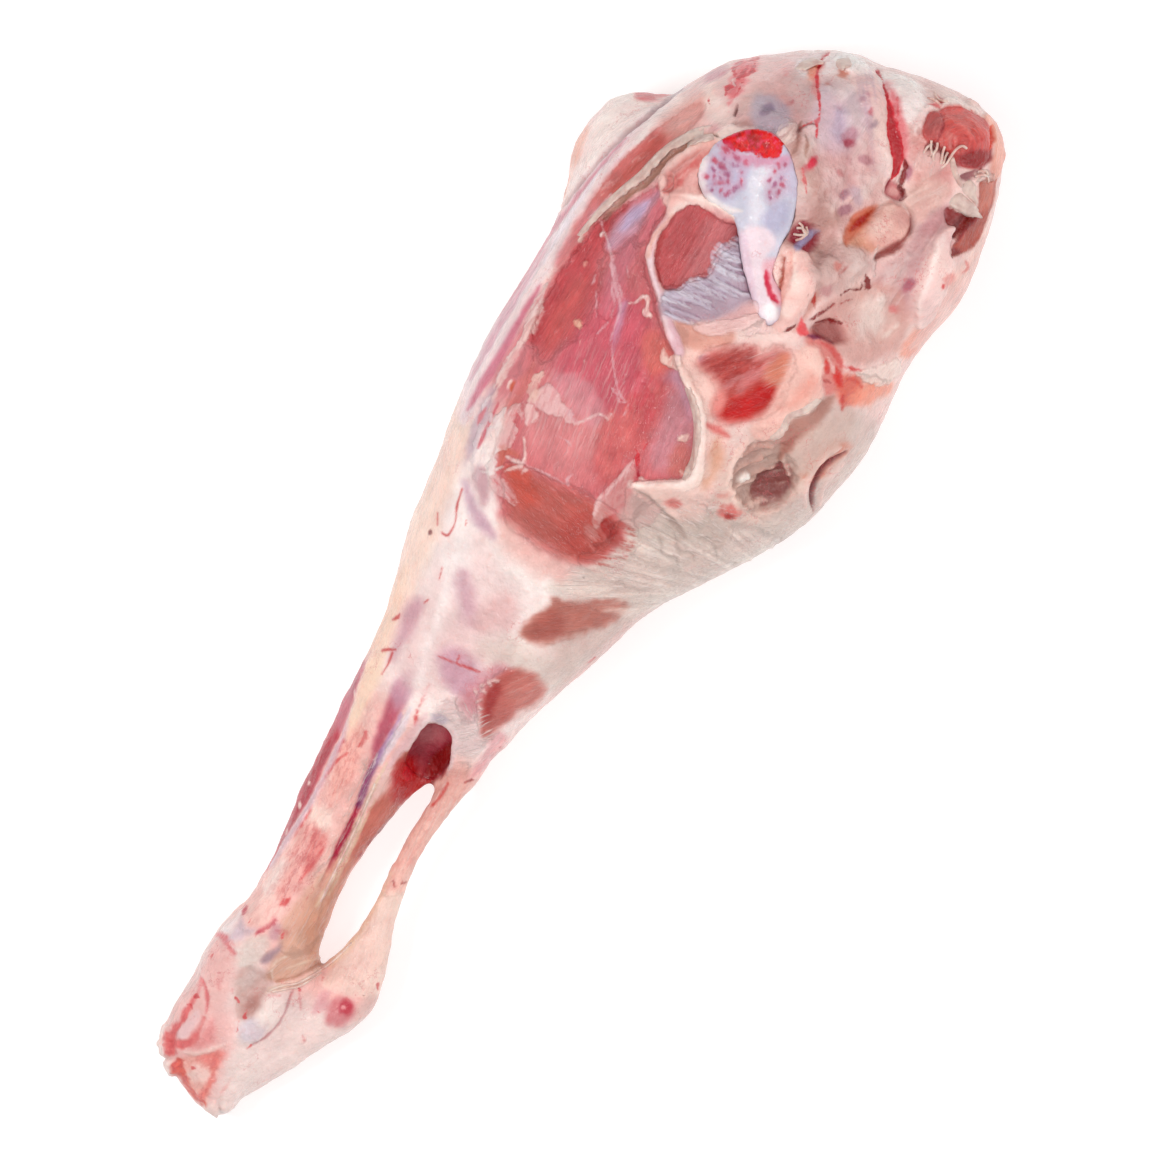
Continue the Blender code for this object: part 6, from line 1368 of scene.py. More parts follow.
# The fringe's bed is painted shade under the torn threads.
flesh.patch("fringe's bed", (158, 84, 84), ((214, -31), (216.8, -31), (217.6, -36), (216.4, -40), (214, -39.6), (215, -35)),
            soft=1.6, amount=0.9, ragged=0.7, rise=-1.2)
flesh.patch("fibres into the fringe", (232, 190, 184), ((206, -30), (213, -30), (215, -36), (213, -40), (206, -38)), soft=3,
            amount=0.7, ragged=1.2, grain=10, film=0.6)
flesh.patch("mauve shade by the flap", (150, 92, 96), ((212, -47.6), (215, -48.4), (219, -51.6), (217.6, -52.6), (214, -51)),
            soft=1.4, amount=0.88, ragged=0.5, rise=-1.2)
flesh.patch("mauve dip above the hollow", (196, 140, 142), ((188, -47), (196, -48), (201, -50), (198, -53), (190, -51)), soft=3,
            amount=0.8, ragged=1, rise=-0.6)

# Lobes of fat as big as a pea, whiter where they swell and duller between, most of all in the sawn end.
in_rump = eased((rest_place[:, 0] - 120) / 50) * eased((rest_place[:, 2] - 20) / 20)
in_shank = eased((-100 - rest_place[:, 0]) / 20) * eased((rest_place[:, 0] + 175) / 20)
pea = wander(rest_place * (1, 1, 0.6), 7.5, 91, 3) * (0.3 + 0.7 * np.maximum(in_rump, in_shank))
bean = wander(rest_place * (1, 1, 0.5), 15, 97, 2) * (0.25 + 0.75 * in_rump)
for tints in (flesh.tint, flesh.veil_tint):
    tints *= 1 + (pea * shown)[:, None] * np.array((0.026, 0.052, 0.05)) + (bean * shown)[:, None] * np.array((0.02, 0.05, 0.04))
flesh.rise += (pea * 0.3 + bean * 0.35) * shown

# Fine pits, lumps and creases that all of it shares, and the shaping that the marks gave: every point moves out
# or in along the surface, and nothing moves below the table.
lumpy = wander(rest_place, 9, 41, 3) * 0.35 + wander(rest_place, 3.2, 43, 2) * 0.16
flesh.rise += lumpy * (0.35 + 0.65 * shown)
MOST_RISE = 3.2
MOST_SINK = -7.0
placed = rest_place + rest_normal * np.clip(flesh.rise, MOST_SINK, MOST_RISE)[:, None]
placed[:, 2] = np.maximum(placed[:, 2], np.minimum(rest_place[:, 2], 0.0))
leg_reach = (np.array([cad_low, cad_high]) / MM)
placed = np.clip(placed, leg_reach[0], leg_reach[1])
set_points(leg.data, placed)

# Colour flecks that the meat has everywhere: warm and cool drifts in the fat, deeper and paler bundles in meat.
drift = wander(rest_place, 15, 61, 3)[:, None]
flesh.tint *= 1 + drift * np.array((0.008, 0.028, 0.026))
fleck = wander(rest_place, 2.6, 67, 2)[:, None]
flesh.tint *= 1 + fleck * np.array((0.005, 0.014, 0.014))
flesh.finish(leg.data)

# The skin keeps its finest mesh where colours meet, and a coarser one on plain fat and underneath.
edges = np.empty(len(leg.data.edges) * 2, np.int32)
leg.data.edges.foreach_get("vertices", edges)
start, end = edges.reshape(-1, 2).T
step = np.abs(flesh.tint[start] - flesh.tint[end]).sum(1) + np.abs(flesh.rise[start] - flesh.rise[end]) * 0.25
for depth in flesh.depth.values():
    step += np.where(np.maximum(depth[start], depth[end]) > -1, 0.12, 0) * (np.minimum(depth[start], depth[end]) < 1)
detail = np.zeros(len(rest_place))
np.maximum.at(detail, start, step)
np.maximum.at(detail, end, step)
need = np.clip(0.12 + detail * 2.6, 0, 1) * (0.3 + 0.7 * shown)
kept_points = leg.vertex_groups.new(name="finest skin")
for level in range(1, 11):
    here = np.nonzero(np.ceil(need * 10) == level)[0]
    kept_points.add([int(i) for i in here], level / 10, "REPLACE")
fewer = leg.modifiers.new("fewer faces", "DECIMATE")
fewer.ratio = MOST_SKIN_FACES / (2 * len(leg.data.polygons))
fewer.vertex_group = "finest skin"
fewer.invert_vertex_group = True
fewer.vertex_group_factor = 1.0
plain_mesh(leg)


def meat_look(name, bump_height=0.6, subsurface=0.1):
    """Raw meat and fat, wet and soft: the painted colour, fibres where it is lean and small lobes where it is fat."""
    look = bpy.data.materials.new(name)
    look.use_nodes = True
    nodes, links = look.node_tree.nodes, look.node_tree.links
    shader = nodes["Principled BSDF"]

    def node(kind, **settings):
        made = nodes.new(kind)
        for key, value in settings.items():
            setattr(made, key, value)
        return made

    def join(source, target):
        links.new(source, target)

    def attribute(which):
        return node("ShaderNodeAttribute", attribute_name=which)

    def sums(operation, first, second=None, third=None):
        made = node("ShaderNodeMath", operation=operation)
        for socket, value in zip(made.inputs, (first, second, third)):
            if value is None:
                continue
            if isinstance(value, (int, float)):
                socket.default_value = value
            else:
                join(value, socket)
        return made.outputs[0]

    def noise(place, size, detail=3.0, rough=0.55, stretch=None):
        turn = node("ShaderNodeMapping")
        turn.inputs["Scale"].default_value = stretch or (1 / size,) * 3
        join(place, turn.inputs["Vector"])
        made = node("ShaderNodeTexNoise")
        made.inputs["Scale"].default_value = 1.0
        made.inputs["Detail"].default_value = detail
        made.inputs["Roughness"].default_value = rough
        join(turn.outputs[0], made.inputs["Vector"])
        return made.outputs["Fac"]

    def between(value, low, high, to_low, to_high):
        made = node("ShaderNodeMapRange", interpolation_type="SMOOTHSTEP")
        for socket, number in zip(("From Min", "From Max", "To Min", "To Max"), (low, high, to_low, to_high)):
            made.inputs[socket].default_value = number
        join(value, made.inputs["Value"])
        return made.outputs["Result"]

    def mixed(share, first, second, blend="MIX"):
        made = node("ShaderNodeMix", data_type="RGBA", blend_type=blend)
        for socket, value in zip((made.inputs[0], made.inputs[6], made.inputs[7]), (share, first, second)):
            if isinstance(value, (int, float)):
                socket.default_value = value
            elif isinstance(value, tuple):
                socket.default_value = (*value, 1)
            else:
                join(value, socket)
        return made.outputs[2]

    place = node("ShaderNodeTexCoord").outputs["Object"]
    grain = attribute("grain").outputs["Vector"]
    wet = attribute("wet").outputs["Fac"]
    lobes = noise(place, 0.0026, 3.0, 0.6)
    mottle = noise(place, 0.009, 4.0, 0.6)
    torn = noise(place, 0.0022, 4.0, 0.7)

    def layer_share(name, edge, tearing, opacity):
        """How much of a layer shows: 1 inside its edge and 0 outside, with the edge torn a little."""
        depth = attribute(f"{name} depth").outputs["Fac"]
        depth = sums("MULTIPLY_ADD", sums("SUBTRACT", torn, 0.5), tearing, depth)
        return sums("MULTIPLY", between(depth, -edge, edge, 0.0, 1.0), opacity), depth

    meat_paint, veil_paint = attribute("meat tint"), attribute("veil tint")
    meat_share, _ = layer_share("meat", 0.45, 2.4, meat_paint.outputs["Alpha"])
    veil_share, _ = layer_share("veil", 0.55, 1.5, veil_paint.outputs["Alpha"])
    thin = between(noise(grain, 1, 4.0, 0.6, (0.14, 0.7, 0.4)), 0.34, 0.6, 0.5, 1.0)
    veil_share = sums("MULTIPLY", veil_share, thin)
    blood_share, blood_depth = layer_share("blood", 0.3, 1.0, attribute("blood opacity").outputs["Fac"])
    lean = sums("MAXIMUM", attribute("lean").outputs["Fac"], meat_share)
    lean = sums("MULTIPLY", lean, sums("SUBTRACT", 1.0, veil_share))
    fat = sums("SUBTRACT", 1.0, lean)

    fine_fibre = noise(grain, 1, 4.0, 0.6, (0.11, 2.0, 0.5))
    bundle = noise(grain, 1, 4.0, 0.6, (0.05, 0.42, 0.12))
    fibres = sums("MULTIPLY", between(fine_fibre, 0.34, 0.66, 0.94, 1.06), between(bundle, 0.3, 0.7, 0.9, 1.09))
    fibres = sums("MULTIPLY", fibres, between(mottle, 0.3, 0.7, 0.9, 1.1))
    meat_tone = sums("MULTIPLY_ADD", sums("SUBTRACT", fibres, 1.0), lean, 1.0)
    fat_tone = sums("MULTIPLY_ADD", sums("SUBTRACT", between(mottle, 0.3, 0.7, 0.91, 1.06), 1.0), fat, 1.0)
    painted = mixed(meat_share, attribute("tint").outputs["Color"], meat_paint.outputs["Color"])
    toned = node("ShaderNodeVectorMath", operation="SCALE")
    join(painted, toned.inputs[0])
    join(sums("MULTIPLY", meat_tone, fat_tone), toned.inputs["Scale"])
    warm = mixed(sums("MULTIPLY", between(lobes, 0.52, 0.74, 0.0, 0.5), fat), toned.outputs[0], (1.0, 0.86, 0.83), "MULTIPLY")

    course = noise(place, 0.014, 5.0, 0.62)
    line = sums("ABSOLUTE", sums("SUBTRACT", course, 0.5))
    where = between(noise(place, 0.026, 2.0, 0.5), 0.5, 0.64, 0.0, 1.0)
    vessel = sums("MULTIPLY", sums("MULTIPLY", between(line, 0.002, 0.009, 0.5, 0.0), where), fat)
    veined = mixed(vessel, warm, (0.62, 0.12, 0.13))
    raw_spots = between(noise(grain, 1, 5.0, 0.68, (0.22, 0.62, 0.5)), 0.44, 0.62, 0.0, 0.85)
    veined = mixed(sums("MULTIPLY", raw_spots, attribute("raw").outputs["Fac"]), veined, (0.56, 0.075, 0.085))
    threads = between(noise(grain, 1, 4.0, 0.6, (0.07, 1.3, 0.3)), 0.5, 0.64, 0.0, 0.8)
    threads = sums("MULTIPLY", threads, attribute("film").outputs["Fac"])
    veined = mixed(threads, veined, (0.84, 0.68, 0.64))
    veiled = mixed(veil_share, veined, veil_paint.outputs["Color"])
    blood = mixed(between(blood_depth, -0.2, 1.6, 0.0, 1.0), (0.68, 0.01, 0.026), (0.4, 0.0, 0.008))
    join(mixed(blood_share, veiled, blood), shader.inputs["Base Color"])

    fibre_height = sums("MULTIPLY", sums("MULTIPLY_ADD", fine_fibre, 0.5, bundle), lean)
    fat_height = sums("MULTIPLY", lobes, sums("MULTIPLY", fat, 0.8))
    edge_height = sums("SUBTRACT", sums("MULTIPLY", veil_share, 0.7), sums("MULTIPLY", meat_share, 0.7))
    edge_height = sums("MULTIPLY_ADD", threads, 0.5, edge_height)
    bump = node("ShaderNodeBump")
    bump.inputs["Strength"].default_value = bump_height
    bump.inputs["Distance"].default_value = 0.002
    join(sums("ADD", sums("ADD", fibre_height, fat_height), edge_height), bump.inputs["Height"])
    join(bump.outputs[0], shader.inputs["Normal"])
    swell = noise(place, 0.0034, 3.0, 0.55)
    gloss_bump = node("ShaderNodeBump")
    gloss_bump.inputs["Strength"].default_value = bump_height
    gloss_bump.inputs["Distance"].default_value = 0.0045
    join(sums("MULTIPLY_ADD", edge_height, 0.3, swell), gloss_bump.inputs["Height"])
    join(gloss_bump.outputs[0], shader.inputs["Coat Normal"])

    rough = sums("MULTIPLY_ADD", sums("MAXIMUM", wet, blood_share), -0.34, 0.62)
    join(sums("MULTIPLY_ADD", sums("SUBTRACT", mottle, 0.5), 0.3, rough), shader.inputs["Roughness"])
    shader.inputs["Specular IOR Level"].default_value = 0.14
    shader.inputs["Subsurface Weight"].default_value = subsurface
    shader.inputs["Subsurface Radius"].default_value = (1.0, 0.4, 0.3)
    shader.inputs["Subsurface Scale"].default_value = 0.002
    shader.inputs["Coat Weight"].default_value = 0.6
    shader.inputs["Coat Roughness"].default_value = 0.16
    return look


leg.data.materials.append(meat_look("meat and fat"))
leg.data.shade_smooth()
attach(leg, "root")
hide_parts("leg")

# ---------------------------------------------------------------------------------------------------------------
# The hip bone: the sawn face of the aitch bone with a stem that runs down to the thigh. It is cartilage white with a
# lavender cast, red marrow in its upper corner, and small red cells. It sits bedded in the flesh.
# ---------------------------------------------------------------------------------------------------------------
BONE_GRAIN = 0.5
BONE_GROWTH = 0.45  # closes the narrow gap between bone and flesh
BONE_WHITE = (204, 200, 214)

bone = copy_of_solid("hip_bone", "hip_bone_face")
fine_mesh(bone, BONE_GRAIN, 1, 3)
bone_place = points_of(bone.data)
bone_normal = normals_of(bone.data)
face = Surface(bone_place, eased(bone_normal[:, 2] * 2 + 0.6), BONE_WHITE)
face.kinds["wet"] += 0.2
face.patch("white middle", (228, 222, 230), ((156, 10), (162, 14), (168, 17), (174, 16), (176, 11), (171, 9), (164, 10),
           (159, 5), (153, 3), (152, 8)), soft=5, amount=0.9, ragged=1.2)
face.patch("bluish upper lobe", (188, 182, 206), ((153, 24), (156, 30), (163, 32), (169, 30), (170, 22), (163, 18), (155, 18)),
           soft=5, amount=0.8, ragged=1.4)
face.patch("bluish lower lobe", (184, 178, 202), ((154, 1), (158, 5), (164, 4), (167, 0), (162, -4), (156, -4)), soft=4,
           amount=0.85, ragged=1)
face.patch("lilac side", (204, 190, 210), ((168, 4), (174, 8), (180, 14), (181, 10), (176, 3), (170, -1)), soft=3, amount=0.8)
face.stroke("cream rim", (240, 226, 222), ((163, 33.6), (156, 31.4), (151.6, 25), (151.6, 18), (154, 12)),
            (1.5, 2.6, 2.6, 2.4, 1.2), soft=1.6, amount=0.85, rise=0.3)
face.patch("stem", (242, 218, 224), ((150, 7), (154, 2), (152, -5), (145, -6), (138, -12), (131, -22), (126, -20), (128, -12),
           (137, -2), (144, 4)), soft=3, amount=0.9, ragged=0.8)
face.patch("stem's bluish edge", (222, 190, 204), ((128, -12), (136, -3), (144, 4), (148, 7), (146, 4), (138, -4), (131, -12)),
           soft=2.4, amount=0.75, ragged=0.8)
face.spot("white tip", (250, 243, 243), (129.8, -18.4), (3.2, 2.6), turn=50, soft=2.4, amount=0.95, rise=0.4)
face.patch("stem's pink", (234, 176, 184), ((143, -6), (140, -8), (135, -14), (133, -20), (136, -21), (139, -15), (144, -10),
           (147, -8)), soft=2.2, amount=0.85, ragged=0.8)
face.stroke("stem's red slit", (206, 40, 66), ((141, -8.4), (138.4, -10.8), (136, -13.6), (134.6, -16), (134, -18.6)),
            (0.4, 1.4, 2.4, 2.6, 0.8), soft=1.2, amount=0.9, ragged=0.5, lumps=2, rise=-0.5)
MARROW = ((170.4, 31.8), (174, 32), (178, 30), (181.4, 26), (183.4, 21), (184, 15.5), (181.6, 13), (178.2, 12.6),
          (175.8, 16), (174.2, 21), (172.4, 25), (170.8, 28.4))
face.patch("marrow's pink halo", (218, 140, 166), ((168, 31), (174, 33), (172, 26), (174, 20), (178, 13), (181, 9), (176, 10), (171, 17), (168, 24)),
           soft=3.4, amount=0.75, ragged=1.4, lumps=2)
face.patch("marrow", (204, 30, 52), MARROW, soft=1.4, amount=0.6, ragged=0.8, lumps=2, rise=-0.2)
face.patch("marrow", (214, 16, 40), MARROW, ragged=1.2, lumps=1.6, layer="meat")
face.patch("marrow's dark clots", (150, 12, 30), ((172, 30), (178, 29), (182, 22), (180, 16), (177, 18), (174, 25)), soft=1,
           amount=0.7, ragged=1, lumps=1.6, streaks=(60, 3, 1.3, 0.45))
face.patch("marrow's pale cells", (232, 96, 116), ((172, 31), (178, 30), (183, 21), (182, 14), (178, 14), (174, 23)),
           soft=0.8, amount=0.75, ragged=1, lumps=1.4, streaks=(-30, 2, 1.1, 0.4))
RED_CELLS = ((158.4, 27.6, 1.2, 0.9, 20), (160.8, 29.6, 0.9, 0.5, 60), (163.5, 31, 1.6, 0.8, 80), (163.6, 27.4, 1.1, 1.5, 0),
             (166.4, 28.6, 0.8, 0.5, 40), (169.3, 30.3, 1.0, 1.8, 10), (169, 25.2, 0.8, 1.7, -10), (166.6, 24.2, 0.6, 1.1, 20),
             (157.8, 24.8, 1.5, 0.7, -50), (160.4, 22.6, 1.5, 0.6, 30), (162, 24.6, 0.6, 0.9, 0), (155.6, 22.8, 0.7, 0.5, 0),
             (156.4, 20.2, 1.4, 0.6, -20), (160, 18.6, 1.6, 0.7, -12), (163, 18.4, 0.9, 0.6, 30), (166, 20.4, 0.6, 0.5, 0),
             (154, 26, 0.5, 0.8, 0), (170, 20.8, 0.6, 1.0, 0), (166, 7.6, 0.9, 0.7, 0), (169.4, 7.7, 0.9, 0.6, 30),
             (170.8, 5.2, 0.8, 1.0, 0), (167.4, 4.6, 1.2, 0.7, 20), (172.6, 7, 0.6, 0.5, 0), (176, 11, 1.0, 0.6, 60),
             (177.4, 8.8, 0.8, 0.6, 30), (164.4, 5.8, 0.5, 0.5, 0), (173.4, 10.4, 0.5, 0.5, 0), (169.4, 10.2, 0.6, 0.4, 0),
             (159.6, 25.6, 0.5, 0.5, 0), (157, 30, 0.6, 0.4, 40))
for k, (x, y, long, short, turn) in enumerate(RED_CELLS):
    face.spot(f"red cell's halo {k}", (196, 150, 172), (x, y), (long + 1.6, short + 1.4), turn=turn, soft=2.6, amount=0.4)
    face.spot(f"red cell {k}", ((168, 60, 88), (150, 70, 104), (190, 58, 80))[k % 3], (x, y), (long, short), turn=turn,
              ragged=0.7, lumps=1.4, amount=0.72, soft=1.3, rise=-0.25)
face.rise += wander(bone_place, 5, 71, 3) * 0.2 + BONE_GROWTH
spread = bone_normal * face.rise[:, None]
spread[:, :2] *= 2.4  # its side presses into the flesh round it
set_points(bone.data, np.clip(bone_place + spread, leg_reach[0], leg_reach[1]))
face.finish(bone.data)
bone.data.materials.append(meat_look("bone and marrow", 0.35, 0.12))
bone.data.shade_smooth()

# The flesh is drawn up against the bone all round, so that no gap shows.
DRAWN_FROM = 2.6
bone_skin = BVHTree.FromObject(bone, bpy.context.evaluated_depsgraph_get())
meat_place = points_of(leg.data)
by_bone = ((meat_place > bone_place.min(0) - 3) & (meat_place < bone_place.max(0) + 3)).all(1)
for i in np.nonzero(by_bone & (meat_place[:, 2] > bone_place[:, 2].max() - 14))[0]:
    touch, _, _, gap = bone_skin.find_nearest(Vector(meat_place[i] * MM), DRAWN_FROM * MM)
    if touch is not None:
        pull = eased(1.3 - gap / MM / DRAWN_FROM)
        meat_place[i, :2] += (np.array(touch)[:2] / MM - meat_place[i, :2]) * 0.92 * pull
set_points(leg.data, meat_place)
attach(bone, "root")
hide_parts("hip_bone")

# ---------------------------------------------------------------------------------------------------------------
# Loose membrane: thin wet skin between the muscles that was cut and torn, so that its free edge stands up. Each flap
# grows out of the fat along its root, where it starts a little below the surface.
# ---------------------------------------------------------------------------------------------------------------
skin = BVHTree.FromObject(leg, bpy.context.evaluated_depsgraph_get())


def skin_height(x, y):
    hit = skin.ray_cast(Vector((x, y, 300)) * MM, Vector((0, 0, -1)))[0]
    return hit.z / MM if hit else 0.0


FLAPS = (  # root line, free edge, how high the free edge stands, how much the sheet arches
    (((111, 57.4), (124, 56.4), (134, 54.6), (144, 52), (155, 50.4), (164, 47.2), (172, 41.6)),
     ((112, 55.2), (124, 53.8), (134, 51.4), (143, 48.6), (153, 47.6), (161, 44.8), (169, 40)), 1.6, 0.5),
    (((201.6, -49.4), (204.6, -48.8), (208.4, -50.2)), ((202.4, -58.6), (205.6, -63), (207.4, -58.6)), 1.4, 0.8),
    (((208.8, -50.4), (211.6, -49.4), (214.6, -51)), ((208, -58.6), (210, -57), (213.6, -54)), 1.2, 0.5),
    (((216.6, -39.6), (213.4, -42.4), (211, -46), (209.4, -50)), ((217.4, -41), (215, -44), (212.6, -47.4), (210.8, -51)), 1.4,
     0.7),
    (((209.6, 27), (213.4, 26.4), (217.6, 24)), ((211.4, 23.4), (215.4, 21.4), (218.8, 18.6)), 1.5, 0.4),
    (((90, -45), (96, -46.6), (102, -46), (107, -49), (113.6, -51.6)),
     ((91.6, -48), (96, -49.6), (102, -48.6), (107, -52.2), (114, -53.6)), 0.7, 0.3),
    (((219.6, 15), (222, 15.8), (225.4, 13)), ((219.4, 12), (221, 11.6), (223.6, 10)), 1.2, 0.3),
    (((164, 43.6), (168, 41.4), (171.6, 37.6)), ((161.6, 42.4), (166, 39.6), (169.6, 35.4)), 1.0, 0.4),
    (((60, -27.4), (68, -26), (77, -21), (83, -15.4), (87.6, -9)), ((58.6, -30), (67.6, -28.6), (78, -23.6), (84.6, -17.6),
     (89.6, -10.6)), 0.5, 0.5),
)
FLAP_ROWS = 9
FLAP_SPACING = 0.35
FLAP_THICK = 0.45


def membrane_sheet(sheets, root, edge, stand, arch, seed):
    """Adds one flap as a grid of faces between its root and its free edge."""
    root_line, edge_line = curve_through(root, steps=12), curve_through(edge, steps=12)
    count = int(np.hypot(*np.diff(root_line, axis=0).T).sum() / FLAP_SPACING)
    along = np.linspace(0, 1, count)
    rails = []
    for line in (root_line, edge_line):
        at = np.linspace(0, 1, len(line))
        rails.append(np.stack([np.interp(along, at, line[:, 0]), np.interp(along, at, line[:, 1])], 1))
    torn = 1 + 0.16 * wander(np.c_[rails[1], np.zeros(count)], 1.6, seed, 3)
    rows = []
    for t in np.linspace(0, 1, FLAP_ROWS):
        spots = rails[0] + (rails[1] - rails[0]) * (t * torn)[:, None]
        crinkle = 0.25 * t * wander(np.c_[spots, np.zeros(count)], 1.8, seed + 7, 2)
        ends = eased(np.minimum(along, 1 - along) * 6)
        lift = ends * (stand * t**1.5 + arch * math.sin(math.pi * t)) - 0.3 + crinkle
        rows.append([sheets.verts.new((x * MM, y * MM, (skin_height(x, y) + up) * MM)) for (x, y), up in zip(spots, lift)])
    for low, high in zip(rows, rows[1:]):
        for k in range(count - 1):
            sheets.faces.new((low[k], high[k], high[k + 1], low[k + 1]))


sheets = bmesh.new()
for k, (root, edge, stand, arch) in enumerate(FLAPS):
    membrane_sheet(sheets, root, edge, stand, arch, 300 + k)
for sheet in sheets.faces:
    if sheet.normal.z < 0:
        sheet.normal_flip()
flap_mesh = bpy.data.meshes.new("membrane_flaps")
sheets.to_mesh(flap_mesh)
sheets.free()
flaps = bpy.data.objects.new("membrane_flaps", flap_mesh)
bpy.context.scene.collection.objects.link(flaps)
thick = flaps.modifiers.new("thickness", "SOLIDIFY")
thick.thickness = FLAP_THICK * MM
thick.offset = 0.0
soften = flaps.modifiers.new("soft edges", "SMOOTH")
soften.factor = 0.5
soften.iterations = 2
plain_mesh(flaps)


def film_look(name, colour, warm):
    """Thin wet skin: cream with warm and greyish drifts, and fine creases."""
    look = bpy.data.materials.new(name)
    look.use_nodes = True
    nodes, links = look.node_tree.nodes, look.node_tree.links
    shader = nodes["Principled BSDF"]
    place = nodes.new("ShaderNodeTexCoord")
    drift = nodes.new("ShaderNodeTexNoise")
    drift.inputs["Scale"].default_value = 260.0
    drift.inputs["Detail"].default_value = 4.0
    links.new(place.outputs["Object"], drift.inputs["Vector"])
    ramp = nodes.new("ShaderNodeMapRange")
    ramp.inputs["From Min"].default_value = 0.36
    ramp.inputs["From Max"].default_value = 0.66
    links.new(drift.outputs["Fac"], ramp.inputs["Value"])
    mix = nodes.new("ShaderNodeMix")
    mix.data_type = "RGBA"
    mix.inputs[6].default_value = (*colour, 1)
    mix.inputs[7].default_value = (*warm, 1)
    links.new(ramp.outputs["Result"], mix.inputs[0])
    links.new(mix.outputs[2], shader.inputs["Base Color"])
    bump = nodes.new("ShaderNodeBump")
    bump.inputs["Strength"].default_value = 0.4
    bump.inputs["Distance"].default_value = 0.0006
    links.new(drift.outputs["Fac"], bump.inputs["Height"])
    links.new(bump.outputs[0], shader.inputs["Normal"])
    shader.inputs["Roughness"].default_value = 0.36
    shader.inputs["Subsurface Weight"].default_value = 0.35
    shader.inputs["Subsurface Radius"].default_value = (1.0, 0.5, 0.4)
    shader.inputs["Subsurface Scale"].default_value = 0.002
    return look


flaps.data.materials.append(film_look("membrane", (0.78, 0.57, 0.50), (0.58, 0.36, 0.32)))
flaps.data.shade_smooth()
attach(flaps, "root")

# ---------------------------------------------------------------------------------------------------------------
# Torn threads of sinew: fine cords that lie on the flesh or loop over it, at the tail muscle's fringe, in the pit by
# the bone, and in the hollow at the hock. They are drawn out of the meat and stay rooted in it.
# ---------------------------------------------------------------------------------------------------------------
THREADS = (  # places with the height over the skin, and the radius at the middle
    (((211, -39.6, -0.3), (214, -40.2, 0.6), (218, -40, 1.4), (221, -40.3, 1.2), (222.6, -41.4, 0.8), (222.8, -43, 0.2)), 0.3),
    (((217.4, -30.6, 0.6), (215.4, -31.8, 1.2), (213.2, -33.6, 0.5), (212, -33, -0.3)), 0.22),
    (((218, -33, 0.5), (216, -34, 1.2), (213.6, -34.2, 0.8), (211.6, -35.6, -0.3)), 0.19),
    (((218.4, -36, 0.4), (216.4, -36.6, 1.2), (214, -37.8, 0.9), (212.4, -38.4, -0.3)), 0.22),
    (((217.4, -38.2, 0.4), (215.4, -38.4, 1.0), (213, -39.2, 0.4)), 0.19),
    (((216.6, -31.6, 0.6), (214.4, -30.8, 1.0), (212, -31, -0.3)), 0.17),
    (((158.4, -9, -0.3), (159.4, -11, 1.2), (160.8, -12.4, 1.6), (161.6, -11, 1.8), (162.8, -9.6, 1.0), (163, -8, -0.3)), 0.2),
    (((157, -11, 0.2), (158.6, -12.2, 1.4), (160, -12.6, 1.5), (161.8, -12.8, 1.2), (163.4, -11, 0.4)), 0.17),
    (((161, -8.6, 0.2), (162, -10.6, 1.4), (161.2, -13, 0.8)), 0.14),
    (((-189, -13, -0.2), (-184, -16.4, 0.5), (-180, -20.4, 0.6), (-175, -23, 0.4), (-166, -26.6, 0.3), (-156, -28.4, -0.3)), 0.28),
    (((-188, -14.8, -0.2), (-184, -18.4, 0.4), (-180, -22, 0.4), (-172, -25.4, -0.3)), 0.19),
    (((-150, -9.6, -0.3), (-136, -7.2, 0.2), (-124, -5.2, 0.3), (-112, -2.8, 0.2), (-101, -0.6, -0.3)), 0.28),
    (((230, -20, -0.2), (231, -23, 1.0), (230.4, -26, 0.3)), 0.17), (((233.4, -21, -0.2), (232, -24, 0.8), (233.4, -27, -0.2)), 0.17),
    (((216.4, -52, -0.2), (218.4, -53.6, 1.0), (219.6, -56, 0.4)), 0.19), (((218.4, -51.6, -0.2), (220.4, -54, 0.9), (218, -57, 0)),
    0.17),
)
THREAD_SIDES = 8

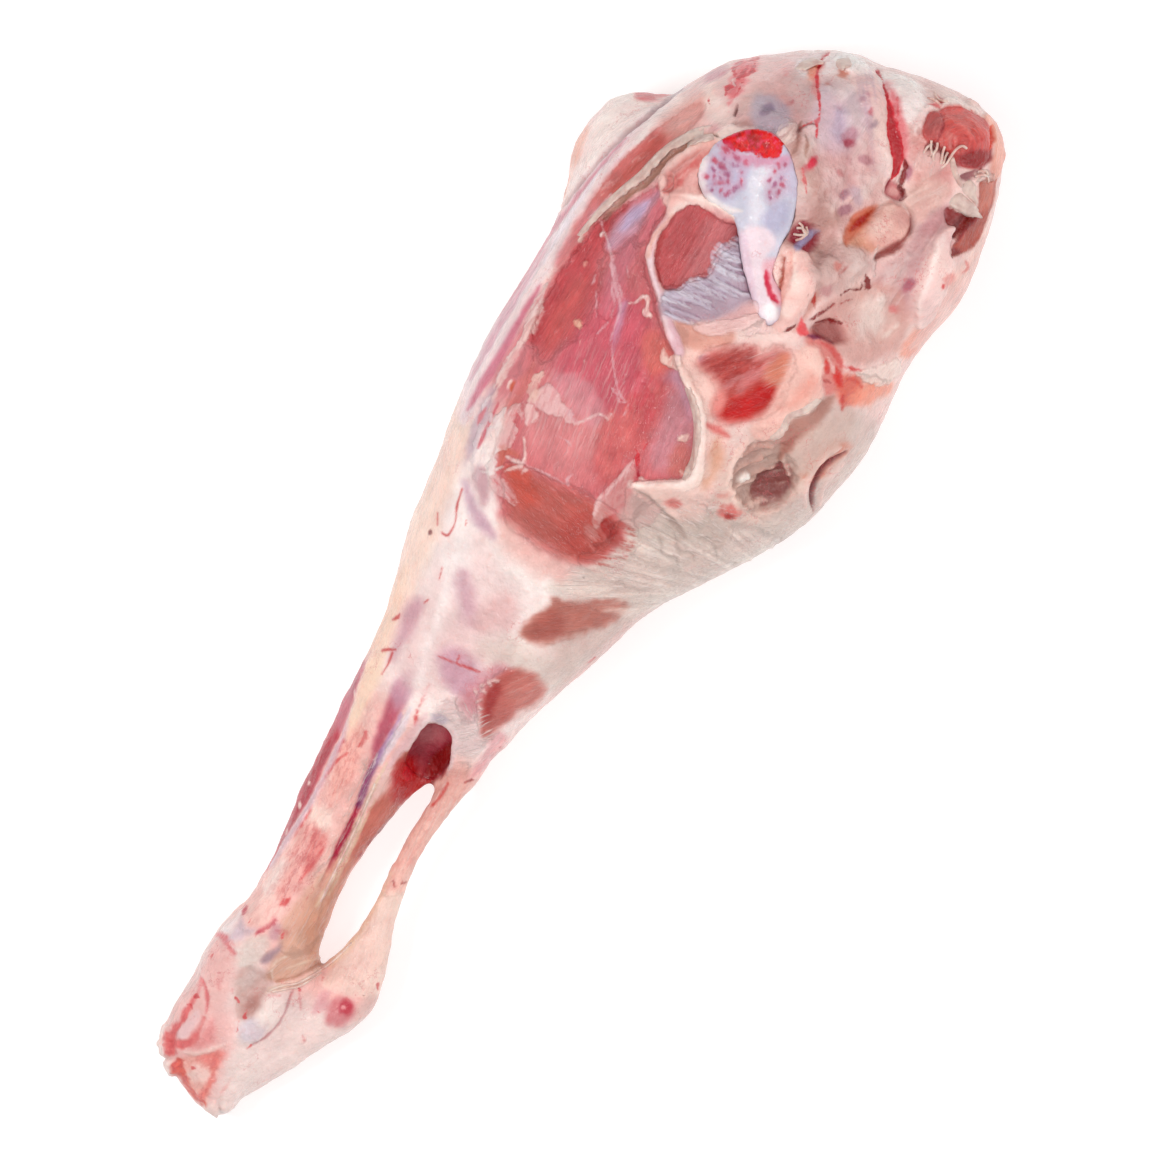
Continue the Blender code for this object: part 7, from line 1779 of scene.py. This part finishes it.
strands = bpy.data.curves.new("sinew_threads", "CURVE")
strands.dimensions = "3D"
for path, radius in THREADS:
    line = curve_through(path, steps=8)
    spline = strands.splines.new("POLY")
    spline.points.add(len(line) - 1)
    for k, (x, y, up) in enumerate(line):
        taper = math.sin(math.pi * min(1, max(0, (k + 1) / (len(line) + 1)))) ** 0.4
        spline.points[k].co = (x * MM, y * MM, (skin_height(x, y) + up) * MM, 1)
        spline.points[k].radius = radius * taper * (1 + 0.2 * math.sin(k * 2.3))
threads = bpy.data.objects.new("sinew_threads", strands)
bpy.context.scene.collection.objects.link(threads)
thread_film = film_look("sinew", (0.82, 0.6, 0.52), (0.64, 0.36, 0.32))

tree = bpy.data.node_groups.new("drawn into cords", "GeometryNodeTree")
tree.interface.new_socket("Geometry", in_out="INPUT", socket_type="NodeSocketGeometry")
thickness = tree.interface.new_socket("Cord radius", in_out="INPUT", socket_type="NodeSocketFloat")
tree.interface.new_socket("Geometry", in_out="OUTPUT", socket_type="NodeSocketGeometry")
given, made = tree.nodes.new("NodeGroupInput"), tree.nodes.new("NodeGroupOutput")
circle = tree.nodes.new("GeometryNodeCurvePrimitiveCircle")
circle.inputs["Resolution"].default_value = THREAD_SIDES
cords = tree.nodes.new("GeometryNodeCurveToMesh")
cords.inputs["Fill Caps"].default_value = True
smooth = tree.nodes.new("GeometryNodeSetShadeSmooth")
real = tree.nodes.new("GeometryNodeRealizeInstances")
coat = tree.nodes.new("GeometryNodeSetMaterial")
coat.inputs["Material"].default_value = thread_film
tree.links.new(given.outputs["Geometry"], cords.inputs["Curve"])
tree.links.new(given.outputs["Cord radius"], circle.inputs["Radius"])
tree.links.new(circle.outputs["Curve"], cords.inputs["Profile Curve"])
tree.links.new(cords.outputs["Mesh"], smooth.inputs["Geometry"])
tree.links.new(smooth.outputs["Geometry"], real.inputs["Geometry"])
tree.links.new(real.outputs["Geometry"], coat.inputs["Geometry"])
tree.links.new(coat.outputs["Geometry"], made.inputs["Geometry"])
drawn = threads.modifiers.new("drawn into cords", "NODES")
drawn.node_group = tree
drawn[thickness.identifier] = 0.5 * MM
graph = bpy.context.evaluated_depsgraph_get()
thread_mesh = bpy.data.meshes.new_from_object(threads.evaluated_get(graph))
sinew = bpy.data.objects.new("sinew_threads", thread_mesh)
bpy.context.scene.collection.objects.link(sinew)
bpy.data.objects.remove(threads)
sinew.name = "sinew_threads"
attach(sinew, "root")
